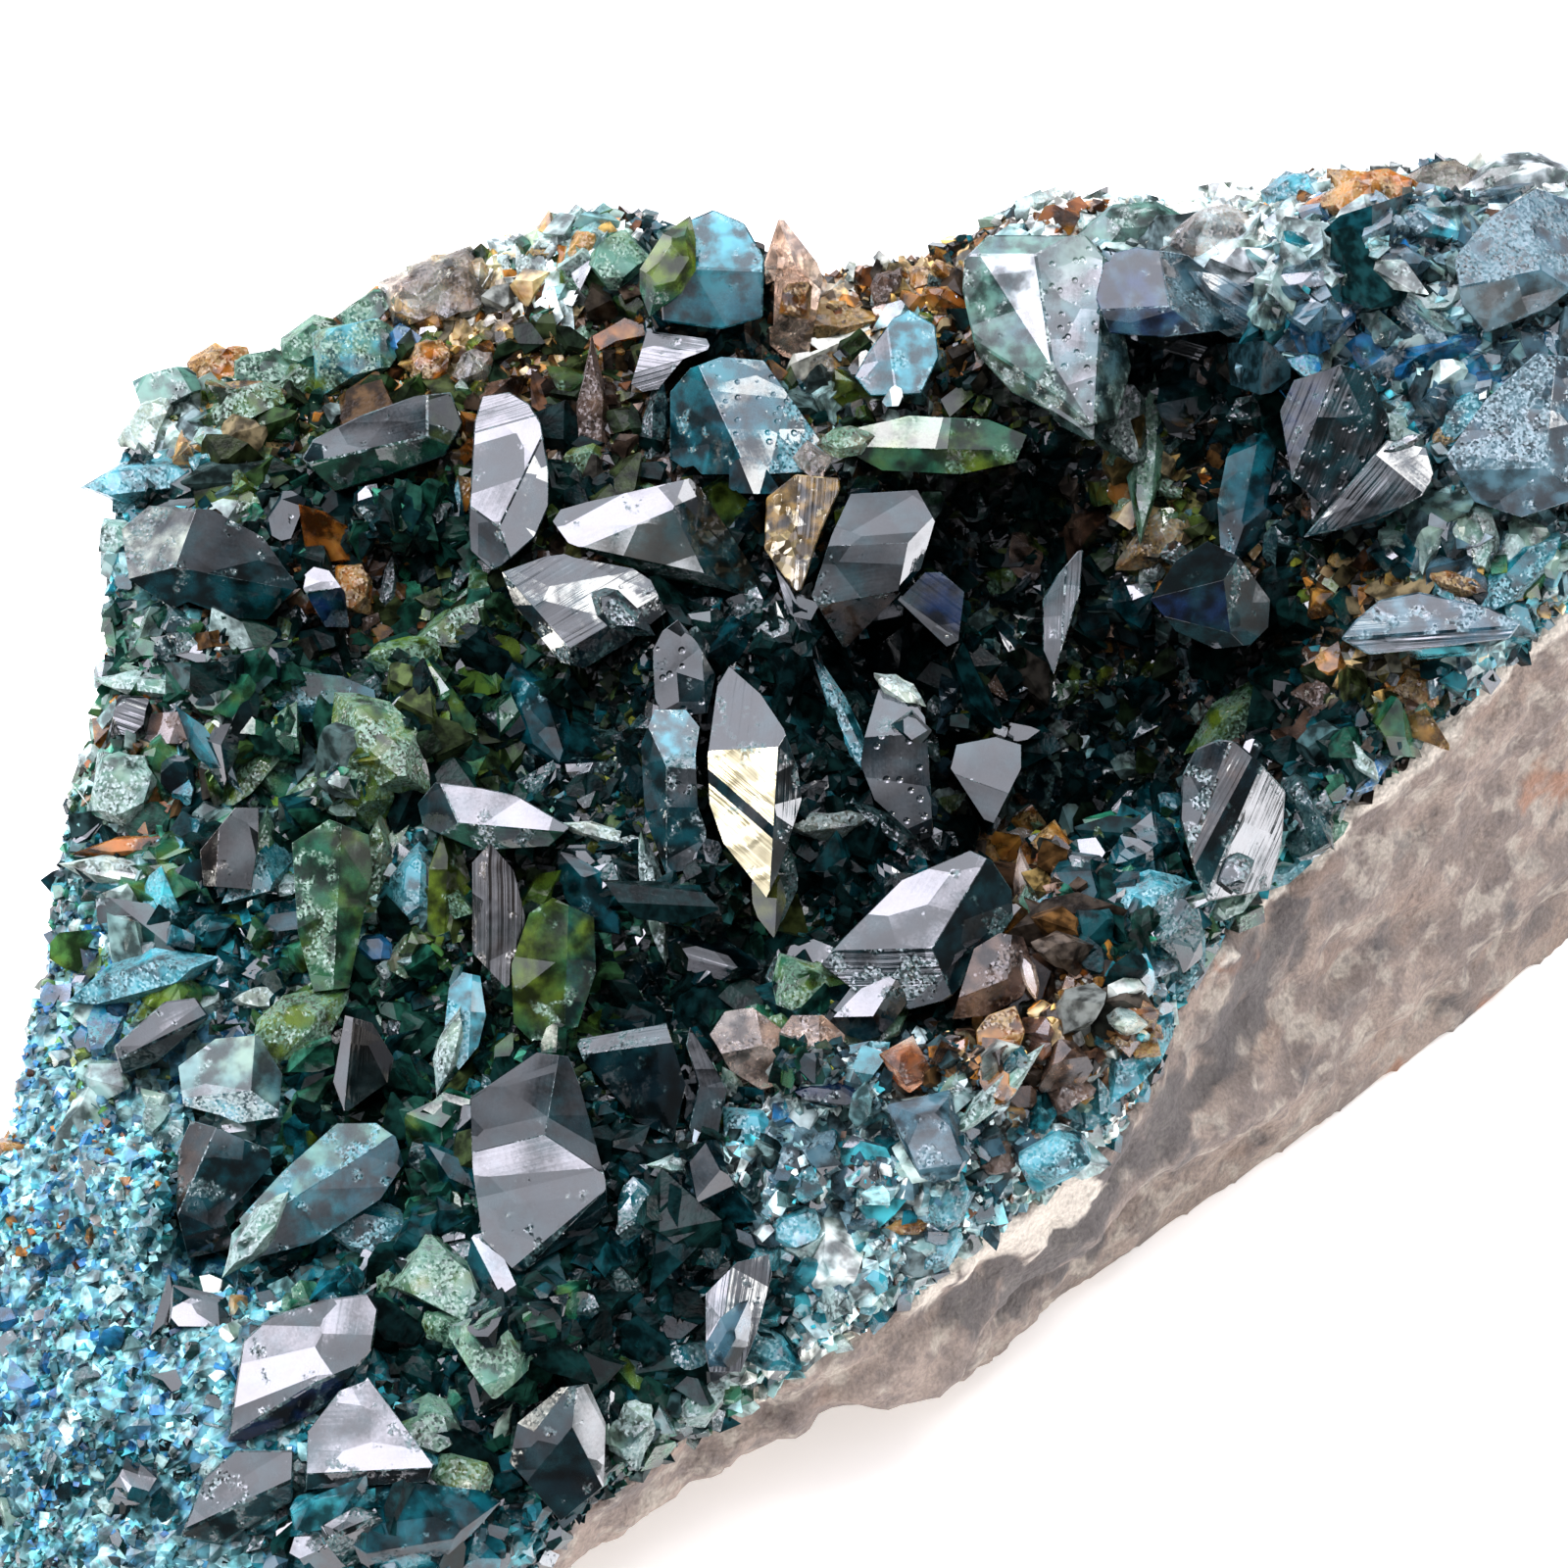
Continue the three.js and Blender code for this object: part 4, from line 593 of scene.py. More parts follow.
FACETS = {
    "kulanite_bright_prism": [
        (-7.2, 8.2, "white"), (-6.6, 7.1, "light"), (-7.6, 6.2, "slate"), (-7.2, 9.5, "lilac ribbed")],
    "kulanite_wedge_pair": [
        (-3.3, 6.2, "slate teal"), (-4.3, 6.9, "pale"), (-1.5, 6.2, "white"),
        (-2.4, 6.5, "slate teal"), (-2.9, 5.4, "dark dusty green")],
    "kulanite_stepped_plate": [
        (-5.2, 4.9, "light ribbed"), (-6.3, 4.1, "slate dusty"), (-4.3, 3.8, "grey dusty")],
    "kulanite_pitted": [(-2.7, 2.9, "grey pitted"), (-2.0, 2.6, "light")],
    "kulanite_golden": [
        (-1.0, 0.4, "grey ribbed golden"), (-1.15, -0.48, "black"),
        (-0.9, -1.3, "grey ribbed golden"), (0.0, -0.5, "dark ribbed"), (-1.1, 1.7, "light ribbed")],
    "kulanite_dark_column": [
        (-2.6, -0.9, "dark teal"), (-3.3, -0.2, "black teal"), (-2.8, 1.2, "light dusty turquoise")],
    "kulanite_block": [
        (1.9, 5.4, "slate"), (2.5, 6.8, "grey"), (3.4, 5.9, "white"), (1.8, 4.3, "slate brown")],
    "kulanite_fin": [(3.9, 4.7, "slate lined navy"), (3.7, 4.1, "grey lined")],
    "kulanite_large_tabular": [
        (3.4, -3.2, "light"), (4.8, -3.6, "black"), (2.7, -4.9, "slate ribbed dusty"), (3.6, -5.3, "grey")],
    "kulanite_striated": [(11.0, -0.3, "grey brown lined"), (11.6, -1.2, "slate ribbed"), (12.0, -1.5, "white"),
        (10.6, 0.0, "slate dusty")],
    "kulanite_front_block": [
        (-6.5, -9.6, "light"), (-6.9, -11.0, "light"), (-5.4, -8.5, "slate"), (-6.9, -8.2, "grey"),
        (-5.2, -11.3, "lilac")],
    "kulanite_dark_wedge": [(-3.6, -7.6, "black"), (-4.0, -6.5, "light ribbed dusty")],
    "kulanite_dark_wedge_tip": [(-2.0, -8.4, "slate"), (-2.1, -7.1, "slate lined")],
    "kulanite_front_pair": [
        (-12.9, -14.8, "pale"), (-11.2, -14.0, "white"), (-12.5, -15.9, "black navy")],
    "kulanite_front_pyramid": [(-10.8, -16.6, "lilac"), (-10.7, -17.7, "black")],
    "kulanite_low_facet": [(-13.9, -17.8, "pale"), (-13.9, -18.7, "slate")],
    "kulanite_front_dark_cube": [(-5.6, -17.7, "black"), (-6.2, -16.5, "slate"), (-5.0, -16.4, "slate")],
    "lazulite_pale_crystal": [
        (5.7, 12.0, "grey dusty mint"), (6.4, 11.4, "lilac chalky"), (7.4, 11.9, "pale pitted"),
        (8.3, 10.5, "grey dusty"), (6.2, 10.1, "dark dusty olive"), (5.9, 13.8, "grey mint")],
    "kulanite_chevron": [(14.2, 8.9, "dark ribbed pitted"), (13.2, 9.5, "grey ribbed navy")],
    "kulanite_lamellar": [(15.2, 7.6, "grey ribbed"), (16.0, 8.0, "lilac")],
    "kulanite_left_wedge": [
        (-10.5, 9.0, "grey"), (-10.4, 8.2, "dark green"), (-8.7, 9.4, "slate olive")],
    "kulanite_left_facets": [
        (-14.1, 5.9, "slate"), (-14.6, 4.9, "black teal"), (-16.0, 6.3, "grey dusty creamy")],
    "kulanite_small_bright": [(-11.9, 5.2, "white"), (-11.6, 4.5, "black navy")],
    "lazulite_teal_top": [
        (-0.9, 9.6, "pale pitted"), (-2.1, 9.1, "black teal"), (0.3, 8.7, "light pitted dusty")],
    "lazulite_rim_dark": [(-1.9, 12.5, "dark"), (-1.8, 13.8, "lilac dusty turquoise")],
    "kulanite_step_bright": [(-3.0, 11.1, "lilac ribbed"), (-3.3, 10.4, "lilac ribbed")],
    "lazulite_blue_small": [(3.3, 11.0, "light dusty turquoise"), (2.4, 10.6, "lilac")],
    "lazulite_long_green": [(4.9, 8.9, "slate dusty green"), (3.3, 8.9, "lilac"), (3.8, 8.3, "dark green")],
    "kulanite_ribbed_blade": [(7.3, 5.0, "grey ribbed"), (6.9, 4.2, "grey ribbed")],
    "kulanite_dark_ball": [
        (10.5, 4.5, "black navy"), (10.5, 5.5, "dark"), (10.7, 3.8, "black"), (11.8, 4.6, "dark dusty")],
    "kulanite_ribbed_bar": [(16.3, 4.3, "light ribbed dusty"), (16.4, 3.7, "grey ribbed")],
    "lazulite_grey_mass": [(18.5, 9.2, "grey frosted"), (18.6, 7.5, "slate"), (19.8, 9.2, "grey dusty")],
    "lazulite_grey_slab": [(18.3, 13.7, "light frosted"), (18.5, 12.4, "slate"), (19.6, 14.1, "grey dusty")],
    "kulanite_wedge_left": [
        (-7.3, -0.6, "lilac"), (-8.9, -0.7, "dark"), (-7.3, -1.3, "dark dusty green")],
    "lazulite_tall_green": [(-11.9, -2.9, "slate dusty green"), (-11.1, -3.0, "dark green")],
    "kulanite_tall_dark": [(-7.2, -3.4, "slate ribbed"), (-7.8, -3.1, "slate ribbed dusty")],
    "lazulite_olive": [(-6.2, -4.8, "dark olive"), (-5.2, -4.6, "black teal")],
    "kulanite_vug_blades": [(3.0, 0.2, "dark pitted"), (2.8, 1.8, "light")],
    "kulanite_vug_facet": [(5.2, 0.6, "light"), (5.1, -0.3, "light")],
    "lazulite_pale_tablet": [(-11.6, -10.7, "slate teal"), (-11.9, -9.7, "light dusty mint")],
    "kulanite_dark_hexagon": [(-14.4, -10.1, "black teal"), (-15.1, -9.5, "slate brown"), (-14.7, -11.7, "black")],
    "lazulite_lilac_block": [
        (-14.4, -7.2, "pale"), (-14.0, -8.2, "light frosted turquoise"), (-13.2, -7.4, "dark teal")],
    "kulanite_brown_facet": [(-10.7, -7.1, "slate lined"), (-11.2, -7.0, "light")],
    "kulanite_lilac_tablet": [(-15.9, -6.1, "lilac"), (-16.0, -6.7, "light")],
    "lazulite_turquoise_column": [(-8.3, -6.0, "light frosted turquoise"), (-7.9, -5.9, "grey turquoise")],
    "kulanite_low_striated": [(-1.1, -13.4, "grey ribbed"), (-1.8, -13.7, "pale ribbed")],
    "kulanite_shelf_shards": [(8.9, 12.8, "light navy"), (9.3, 11.8, "slate navy"), (10.6, 12.5, "pale dusty")],
    "kulanite_edge_facet": [(-13.9, -1.6, "slate"), (-14.7, -1.9, "black")],
    "lazulite_dark_left": [(-12.0, 2.4, "slate green"), (-11.7, 1.8, "dark teal"), (-10.8, 2.2, "grey teal")],
    "siderite_golden_column": [(0.7, 6.7, "grey ribbed"), (-0.0, 6.6, "slate ribbed dusty")],
}
CUTS = {
    "kulanite_wedge_pair": [(-2.6, 7.2, -0.9, 5.4)],
    "kulanite_golden": [(-1.9, 0.35, -0.4, -0.95), (-1.9, 0.0, -0.4, -1.3)],
    "kulanite_front_block": [(-8.0, -10.6, -5.0, -9.9), (-7.0, -12.4, -4.6, -10.4)],
    "kulanite_large_tabular": [(3.0, -5.8, 4.2, -4.7)],
    "kulanite_striated": [(10.6, -1.8, 11.9, 0.6)],
    "lazulite_pale_crystal": [(5.8, 12.3, 6.9, 10.6)],
    "kulanite_lamellar": [(15.1, 8.4, 16.6, 7.2)],
    "lazulite_long_green": [(4.3, 9.6, 4.1, 8.0)],
}
print("facets named:", sum(len(facets) for facets in FACETS.values()))

# %% Lean a facet towards what it mirrors
LEAN_STEP = 4
LEAN_MOST = 36
TURNS = 16
LEAN_COST = 0.014


def lean_to_mirror(normal, centre, wanted):
    """The shading normal nearest a facet's own that mirrors the wanted brightness to the viewer."""
    view = (EYE - centre).normalized()
    side = normal.orthogonal().normalized()
    best, least = normal, None
    for lean in range(0, LEAN_MOST + 1, LEAN_STEP):
        for turn in range(TURNS if lean else 1):
            around = Matrix.Rotation(2 * math.pi * turn / TURNS, 3, normal) @ side
            tried = Matrix.Rotation(math.radians(lean), 3, around) @ normal
            mirrored = 2 * tried.dot(view) * tried - view
            if tried.dot(view) < 0.2 or mirrored.dot(normal) < 0.08:
                continue
            miss = abs(math.log(tent_brightness(mirrored) / wanted)) + LEAN_COST * lean
            miss += max(0.0, 0.15 - mirrored.z) * 2
            if least is None or miss < least:
                best, least = tried, miss
    return best


def split_in_picture(mesh, cut):
    """Draws an edge over a crystal's facets, along a line given in the picture."""
    first = sight_line(*cut[:2])[1]
    second = sight_line(*cut[2:])[1]
    normal = first.cross(second).normalized()
    geometry = mesh.verts[:] + mesh.edges[:] + mesh.faces[:]
    bmesh.ops.bisect_plane(mesh, geom=geometry, plane_co=EYE * MM, plane_no=normal)


# %% Dress one crystal
EDGE_BEVEL = 0.045 * MM
EDGE_FROST = 0.5
LAZULITE_FROST = 0.5
KULANITE_FROST = 0.3
CLEAN_FROST = 0.12
SHARP = math.radians(12)
HIDDEN_NODES = ("lazulite_crust", "matrix_rock")


def tree_of(names):
    """One search tree over the named solids, in mm."""
    corners, faces = [], []
    for name in names:
        data = nodes[name].data
        start = len(corners)
        corners += [vertex.co / MM for vertex in data.vertices]
        faces += [[start + index for index in polygon.vertices] for polygon in data.polygons]
    return BVHTree.FromPolygons(corners, faces)


crust_tree = tree_of(["lazulite_crust"])
FOOT_HEIGHT = 2.2


def foot_share(place):
    """One where a crystal stands in the crust, nought at FOOT_HEIGHT over it."""
    nearest, normal, _, _ = crust_tree.find_nearest(place)
    return 1 - min(max((place - nearest).dot(normal) / FOOT_HEIGHT, 0), 1)


def welded(node):
    """A solid's mesh with its corners joined and its flat faces whole."""
    mesh = bmesh.new()
    mesh.from_mesh(nodes[node].data)
    bmesh.ops.remove_doubles(mesh, verts=mesh.verts, dist=0.002 * MM)
    bmesh.ops.dissolve_limit(mesh, angle_limit=math.radians(1.5), verts=mesh.verts, edges=mesh.edges)
    return mesh


def face_layers(mesh):
    """The attributes that every facet carries."""
    layers = {name: mesh.faces.layers.float_vector.new(name) for name in ("across_lines", "facing")}
    layers["stain_and_painted_shade"] = mesh.faces.layers.float_color.new("stain_and_painted_shade")
    layers.update({mark: mesh.faces.layers.float.new(mark) for mark in ("ribs", "pits", "frost")})
    return layers


def mark_facet(face, layers, look, frost):
    """Sets a facet's attributes from the words of its look; true if it is golden."""
    longest = max(face.edges, key=lambda edge: edge.calc_length())
    along = (longest.verts[1].co - longest.verts[0].co).normalized()
    face[layers["across_lines"]] = face.normal.cross(along).normalized()
    face[layers["frost"]] = frost
    for word in look.split():
        if word in MIRRORED:
            centre = face.calc_center_median() / MM
            face[layers["facing"]] = lean_to_mirror(face.normal, centre, MIRRORED[word])
        elif word in MARKS:
            mark, share = MARKS[word]
            face[layers[mark]] = share
        elif word in STAINS:
            face[layers["stain_and_painted_shade"]] = STAINS[word]
    return "golden" in look


def dress_crystal(node):
    """A new piece in the place of a crystal's solid, with facet attributes and a finish."""
    mesh = welded(node)
    for cut in CUTS.get(node, []):
        split_in_picture(mesh, cut)
    layers = face_layers(mesh)
    for face in mesh.faces:
        mark_facet(face, layers, "", LAZULITE_FROST if node.startswith("lazulite") else KULANITE_FROST)
        face[layers["stain_and_painted_shade"]] = (0, 0, 0, 0)
    mesh.faces.ensure_lookup_table()
    search = BVHTree.FromBMesh(mesh)
    golden = []
    for across, up, look in FACETS.get(node, []):
        eye, sight = sight_line(across, up)
        _, _, hit, _ = search.ray_cast(eye * MM, sight)
        if hit is None:
            print("no facet there:", node, across, up)
        elif mark_facet(mesh.faces[hit], layers, look, CLEAN_FROST):
            golden.append(mesh.faces[hit])
    for face in golden:
        face.material_index = 1
    sharp = [edge for edge in mesh.edges if edge.is_manifold and edge.calc_face_angle() > SHARP]
    edges = bmesh.ops.bevel(
        mesh, geom=sharp, offset=EDGE_BEVEL, segments=1, profile=0.5, affect="EDGES", clamp_overlap=True)
    for face in edges["faces"]:
        face[layers["facing"]] = (0, 0, 0)
        face[layers["ribs"]] = face[layers["pits"]] = 0
        face[layers["frost"]] = EDGE_FROST
    foot = mesh.verts.layers.float.new("foot")
    for corner in mesh.verts:
        corner[foot] = foot_share(corner.co / MM)
    data = bpy.data.meshes.new(node + "_facets")
    mesh.to_mesh(data)
    mesh.free()
    piece = bpy.data.objects.new(node + "_facets", data)
    bpy.context.scene.collection.objects.link(piece)
    finish = finish_of(node)
    data.materials.append(FINISHES[finish])
    if golden:
        data.materials.append(FINISHES["golden"])
    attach(piece, "root")
    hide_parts(node)
    return piece


# %% Dress them all
crystals = [dress_crystal(node) for node in nodes if node not in HIDDEN_NODES]
print("large crystals dressed:", len(crystals))

# %% [markdown]
# ## Shapes of the small crystals
# Small crystals are cut as real ones are bounded: by planes. A few habits are cut once each, with the planes
# a little off, and every small crystal is one of them, stretched and turned in its own way.

# %% Cut habits from planes
HABITS = {
    "wedge": [
        (0, 0, 1, 0.8), (0, 0, -1, 0.9), (0, 1, 0.9, 1.1), (0, -1, 0.7, 1.0), (0, 1, -0.8, 1.15),
        (0, -1, -0.9, 1.15), (1, 0.6, 0.5, 1.15), (1, -0.7, 0.3, 1.1), (-1, 0.6, 0.35, 1.1), (-1, -0.5, 0.55, 1.1),
    ],
    "dipyramid": [
        (1, 1, 1, 1.25), (1, -1, 1, 1.35), (-1, 1, 1, 1.3), (-1, -1, 1, 1.35), (1, 1, -1, 1.4),
        (1, -1, -1, 1.35), (-1, 1, -1, 1.4), (-1, -1, -1, 1.4), (0, 0, 1, 0.85),
    ],
    "blade": [
        (0, 0, 1, 1), (0, 0, -1, 1), (1, 0.85, 0.2, 1.2), (1, -0.85, 0.15, 1.2), (-1, 0.8, 0.1, 1.2),
        (-1, -0.9, 0.2, 1.2), (0, 1, 0.35, 1.0), (0, -1, 0.35, 1.0),
    ],
    "block": [
        (1, 0.1, 0, 0.95), (-1, 0, 0.1, 0.95), (0, 1, 0.15, 0.85), (0.1, -1, 0.1, 0.85), (0, 0.1, 1, 0.8),
        (0, -0.1, -1, 0.8), (1, 0.8, 0.3, 1.25), (1, -0.7, -0.2, 1.2), (0.8, 0.1, 0.9, 1.15), (-0.7, 0.8, 0.6, 1.2),
        (0.9, -0.2, -0.8, 1.2), (-0.8, -0.7, 0.5, 1.2),
    ],
    "mote": [(1, 0, 0.1, 0.55), (-0.5, 0.87, 0, 0.55), (-0.5, -0.87, 0, 0.55), (0, 0.1, 1, 0.8), (0.1, 0, -1, 0.8)],
    "grain": [
        (1, 0.3, 0.2, 0.9), (-1, 0.1, 0.4, 0.85), (0.2, 1, -0.3, 0.9), (-0.1, -1, 0.3, 0.85),
        (0.1, 0.2, 1, 0.85), (0.2, -0.3, -1, 0.9), (0.7, 0.7, 0.7, 1.05), (-0.7, -0.6, 0.6, 1.0),
    ],
}
VARIANTS = 4
random = np.random.default_rng(7)
ROUGHENING = [(1.6, 0.09), (5.0, 0.06)]


def cut_from_planes(planes):
    """The convex body that a cube leaves when each plane has cut it: its corners and its faces."""
    body = bmesh.new()
    bmesh.ops.create_cube(body, size=4)
    for along, broad, thick, reach in planes:
        normal = Vector((along, broad, thick))
        reach = reach / normal.length if normal.length > 1.01 else reach
        normal.normalize()
        geometry = body.verts[:] + body.edges[:] + body.faces[:]
        cut = bmesh.ops.bisect_plane(body, geom=geometry, plane_co=normal * reach, plane_no=normal, clear_outer=True)
        rim = [item for item in cut["geom_cut"] if isinstance(item, bmesh.types.BMEdge)]
        if rim:
            bmesh.ops.edgeloop_fill(body, edges=rim)
    bmesh.ops.remove_doubles(body, verts=body.verts, dist=1e-4)
    bmesh.ops.recalc_face_normals(body, faces=body.faces)
    corners = np.array([corner.co[:] for corner in body.verts])
    faces = [[corner.index for corner in face.verts] for face in body.faces]
    body.free()
    return corners, faces


def roughened(shape, seed):
    """A shape with each facet split and its points moved in and out, as on corroded crystals."""
    corners, faces = shape
    body = bmesh.new()
    points = [body.verts.new(corner) for corner in corners]
    for face in faces:
        body.faces.new([points[index] for index in face])
    bmesh.ops.triangulate(body, faces=body.faces)
    bmesh.ops.subdivide_edges(body, edges=body.edges, cuts=1, use_grid_fill=True)
    bmesh.ops.triangulate(body, faces=body.faces)
    body.normal_update()
    for point in body.verts:
        for scale, height in ROUGHENING:
            point.co += height * noise.noise(point.co * scale + Vector((seed, 0, 0))) * 2 * point.normal
    corners = np.array([point.co[:] for point in body.verts])
    body.verts.index_update()
    faces = [[point.index for point in face.verts] for face in body.faces]
    body.free()
    return corners, faces


shapes = {}
for habit, planes in HABITS.items():
    shapes[habit] = []
    for number in range(VARIANTS):
        jittered = [tuple(part + random.uniform(-0.12, 0.12) for part in plane) for plane in planes]
        shapes[habit].append(cut_from_planes(jittered))
    shapes["rough_" + habit] = [roughened(shape, 3.7 * k) for k, shape in enumerate(shapes[habit])]
print("shapes:", {habit: [len(faces) for _, faces in made] for habit, made in shapes.items()})

# %% [markdown]
# ## Where small things grow
# Places are spread over the crust by area and kept clear of the inside of large crystals. The crust's colour
# changes from region to region, so each place takes its minerals from the nearest named region.

# %% Places on the crust
crust_mesh = nodes["lazulite_crust"].data
crust_corners = np.array([vertex.co[:] for vertex in crust_mesh.vertices]) / MM
crust_triangles = np.array([polygon.vertices[:] for polygon in crust_mesh.polygons])
corner_a, corner_b, corner_c = (crust_corners[crust_triangles[:, i]] for i in range(3))
crust_cross = np.cross(corner_b - corner_a, corner_c - corner_a)
crust_area = np.linalg.norm(crust_cross, axis=1) / 2
crust_normal = crust_cross / (2 * crust_area[:, None] + 1e-12)
grows = (crust_normal[:, 2] > -0.2) & (corner_a[:, 2] > 1.0)


crystal_tree = tree_of([node for node in nodes if node not in HIDDEN_NODES])
face_tree = tree_of([node for node in nodes if node != "matrix_rock"])


def covered(point, reach):
    """True if a large crystal lies just over a point of the crust."""
    start = Vector(point)
    return crystal_tree.ray_cast(start, Vector((0, 0, 1)), reach)[0] is not None


def in_front(point, reach=3.0):
    """True if a large crystal is seen just behind a point."""
    return crystal_tree.ray_cast(Vector(point) + TOWARDS * 0.5, -TOWARDS, reach)[0] is not None


def beyond_outline(point):
    """True if a point, or one near it in the picture, is seen past the outline of the crystal face."""
    near = [Vector(point) + shift for shift in (0.35 * ACROSS, -0.35 * ACROSS, 0.35 * UP, -0.35 * UP)]
    return any(face_tree.ray_cast(EYE, (place - EYE).normalized())[0] is None for place in near)


def sow(count, keep_covered=0.15, reach=1.2):
    """Random places on the crust, by area, with their normals."""
    weight = np.where(grows, crust_area, 0)
    chosen = random.choice(len(weight), size=count, p=weight / weight.sum())
    first, second = random.random((2, count))
    flip = first + second > 1
    first, second = np.where(flip, 1 - first, first), np.where(flip, 1 - second, second)
    places = (
        corner_a[chosen]
        + first[:, None] * (corner_b - corner_a)[chosen]
        + second[:, None] * (corner_c - corner_a)[chosen]
    )
    lucky = random.random(count) < keep_covered
    kept = np.array([lucky[i] or not covered(places[i], reach) for i in range(count)])
    return places[kept], crust_normal[chosen][kept]


print("crust area in mm2:", round(float(crust_area[grows].sum())))

# %% Colours of the minerals
MINERAL_COLORS = {
    "night": [(0.002, 0.009, 0.012), (0.002, 0.016, 0.02), (0.002, 0.016, 0.012)],
    "deep_teal": [(0.003, 0.045, 0.055), (0.004, 0.08, 0.095), (0.003, 0.04, 0.035)],
    "sea_green": [(0.014, 0.11, 0.06), (0.035, 0.18, 0.11), (0.008, 0.065, 0.04)],
    "leaf": [(0.08, 0.16, 0.02), (0.15, 0.2, 0.04), (0.04, 0.12, 0.03)],
    "turquoise": [(0.02, 0.22, 0.26), (0.05, 0.32, 0.35), (0.01, 0.14, 0.18)],
    "bright": [(0.11, 0.33, 0.33), (0.24, 0.48, 0.46), (0.045, 0.23, 0.26), (0.04, 0.16, 0.25)],
    "pale": [(0.28, 0.44, 0.41), (0.42, 0.54, 0.5), (0.18, 0.35, 0.35)],
    "chalk": [(0.6, 0.72, 0.7), (0.8, 0.86, 0.8), (0.45, 0.6, 0.6)],
    "cobalt": [(0.01, 0.09, 0.22), (0.02, 0.14, 0.3)],
    "slate": [(0.05, 0.1, 0.125), (0.1, 0.17, 0.19), (0.025, 0.06, 0.08)],
    "olive": [(0.09, 0.1, 0.012), (0.05, 0.08, 0.012)],
    "rust": [(0.2, 0.06, 0.01), (0.34, 0.14, 0.025), (0.08, 0.028, 0.008)],
    "honey": [(0.62, 0.4, 0.12), (0.75, 0.56, 0.28)],
    "cream": [(0.78, 0.75, 0.62), (0.68, 0.7, 0.62)],
    "brown": [(0.06, 0.03, 0.016), (0.12, 0.06, 0.035), (0.25, 0.17, 0.125)],
}

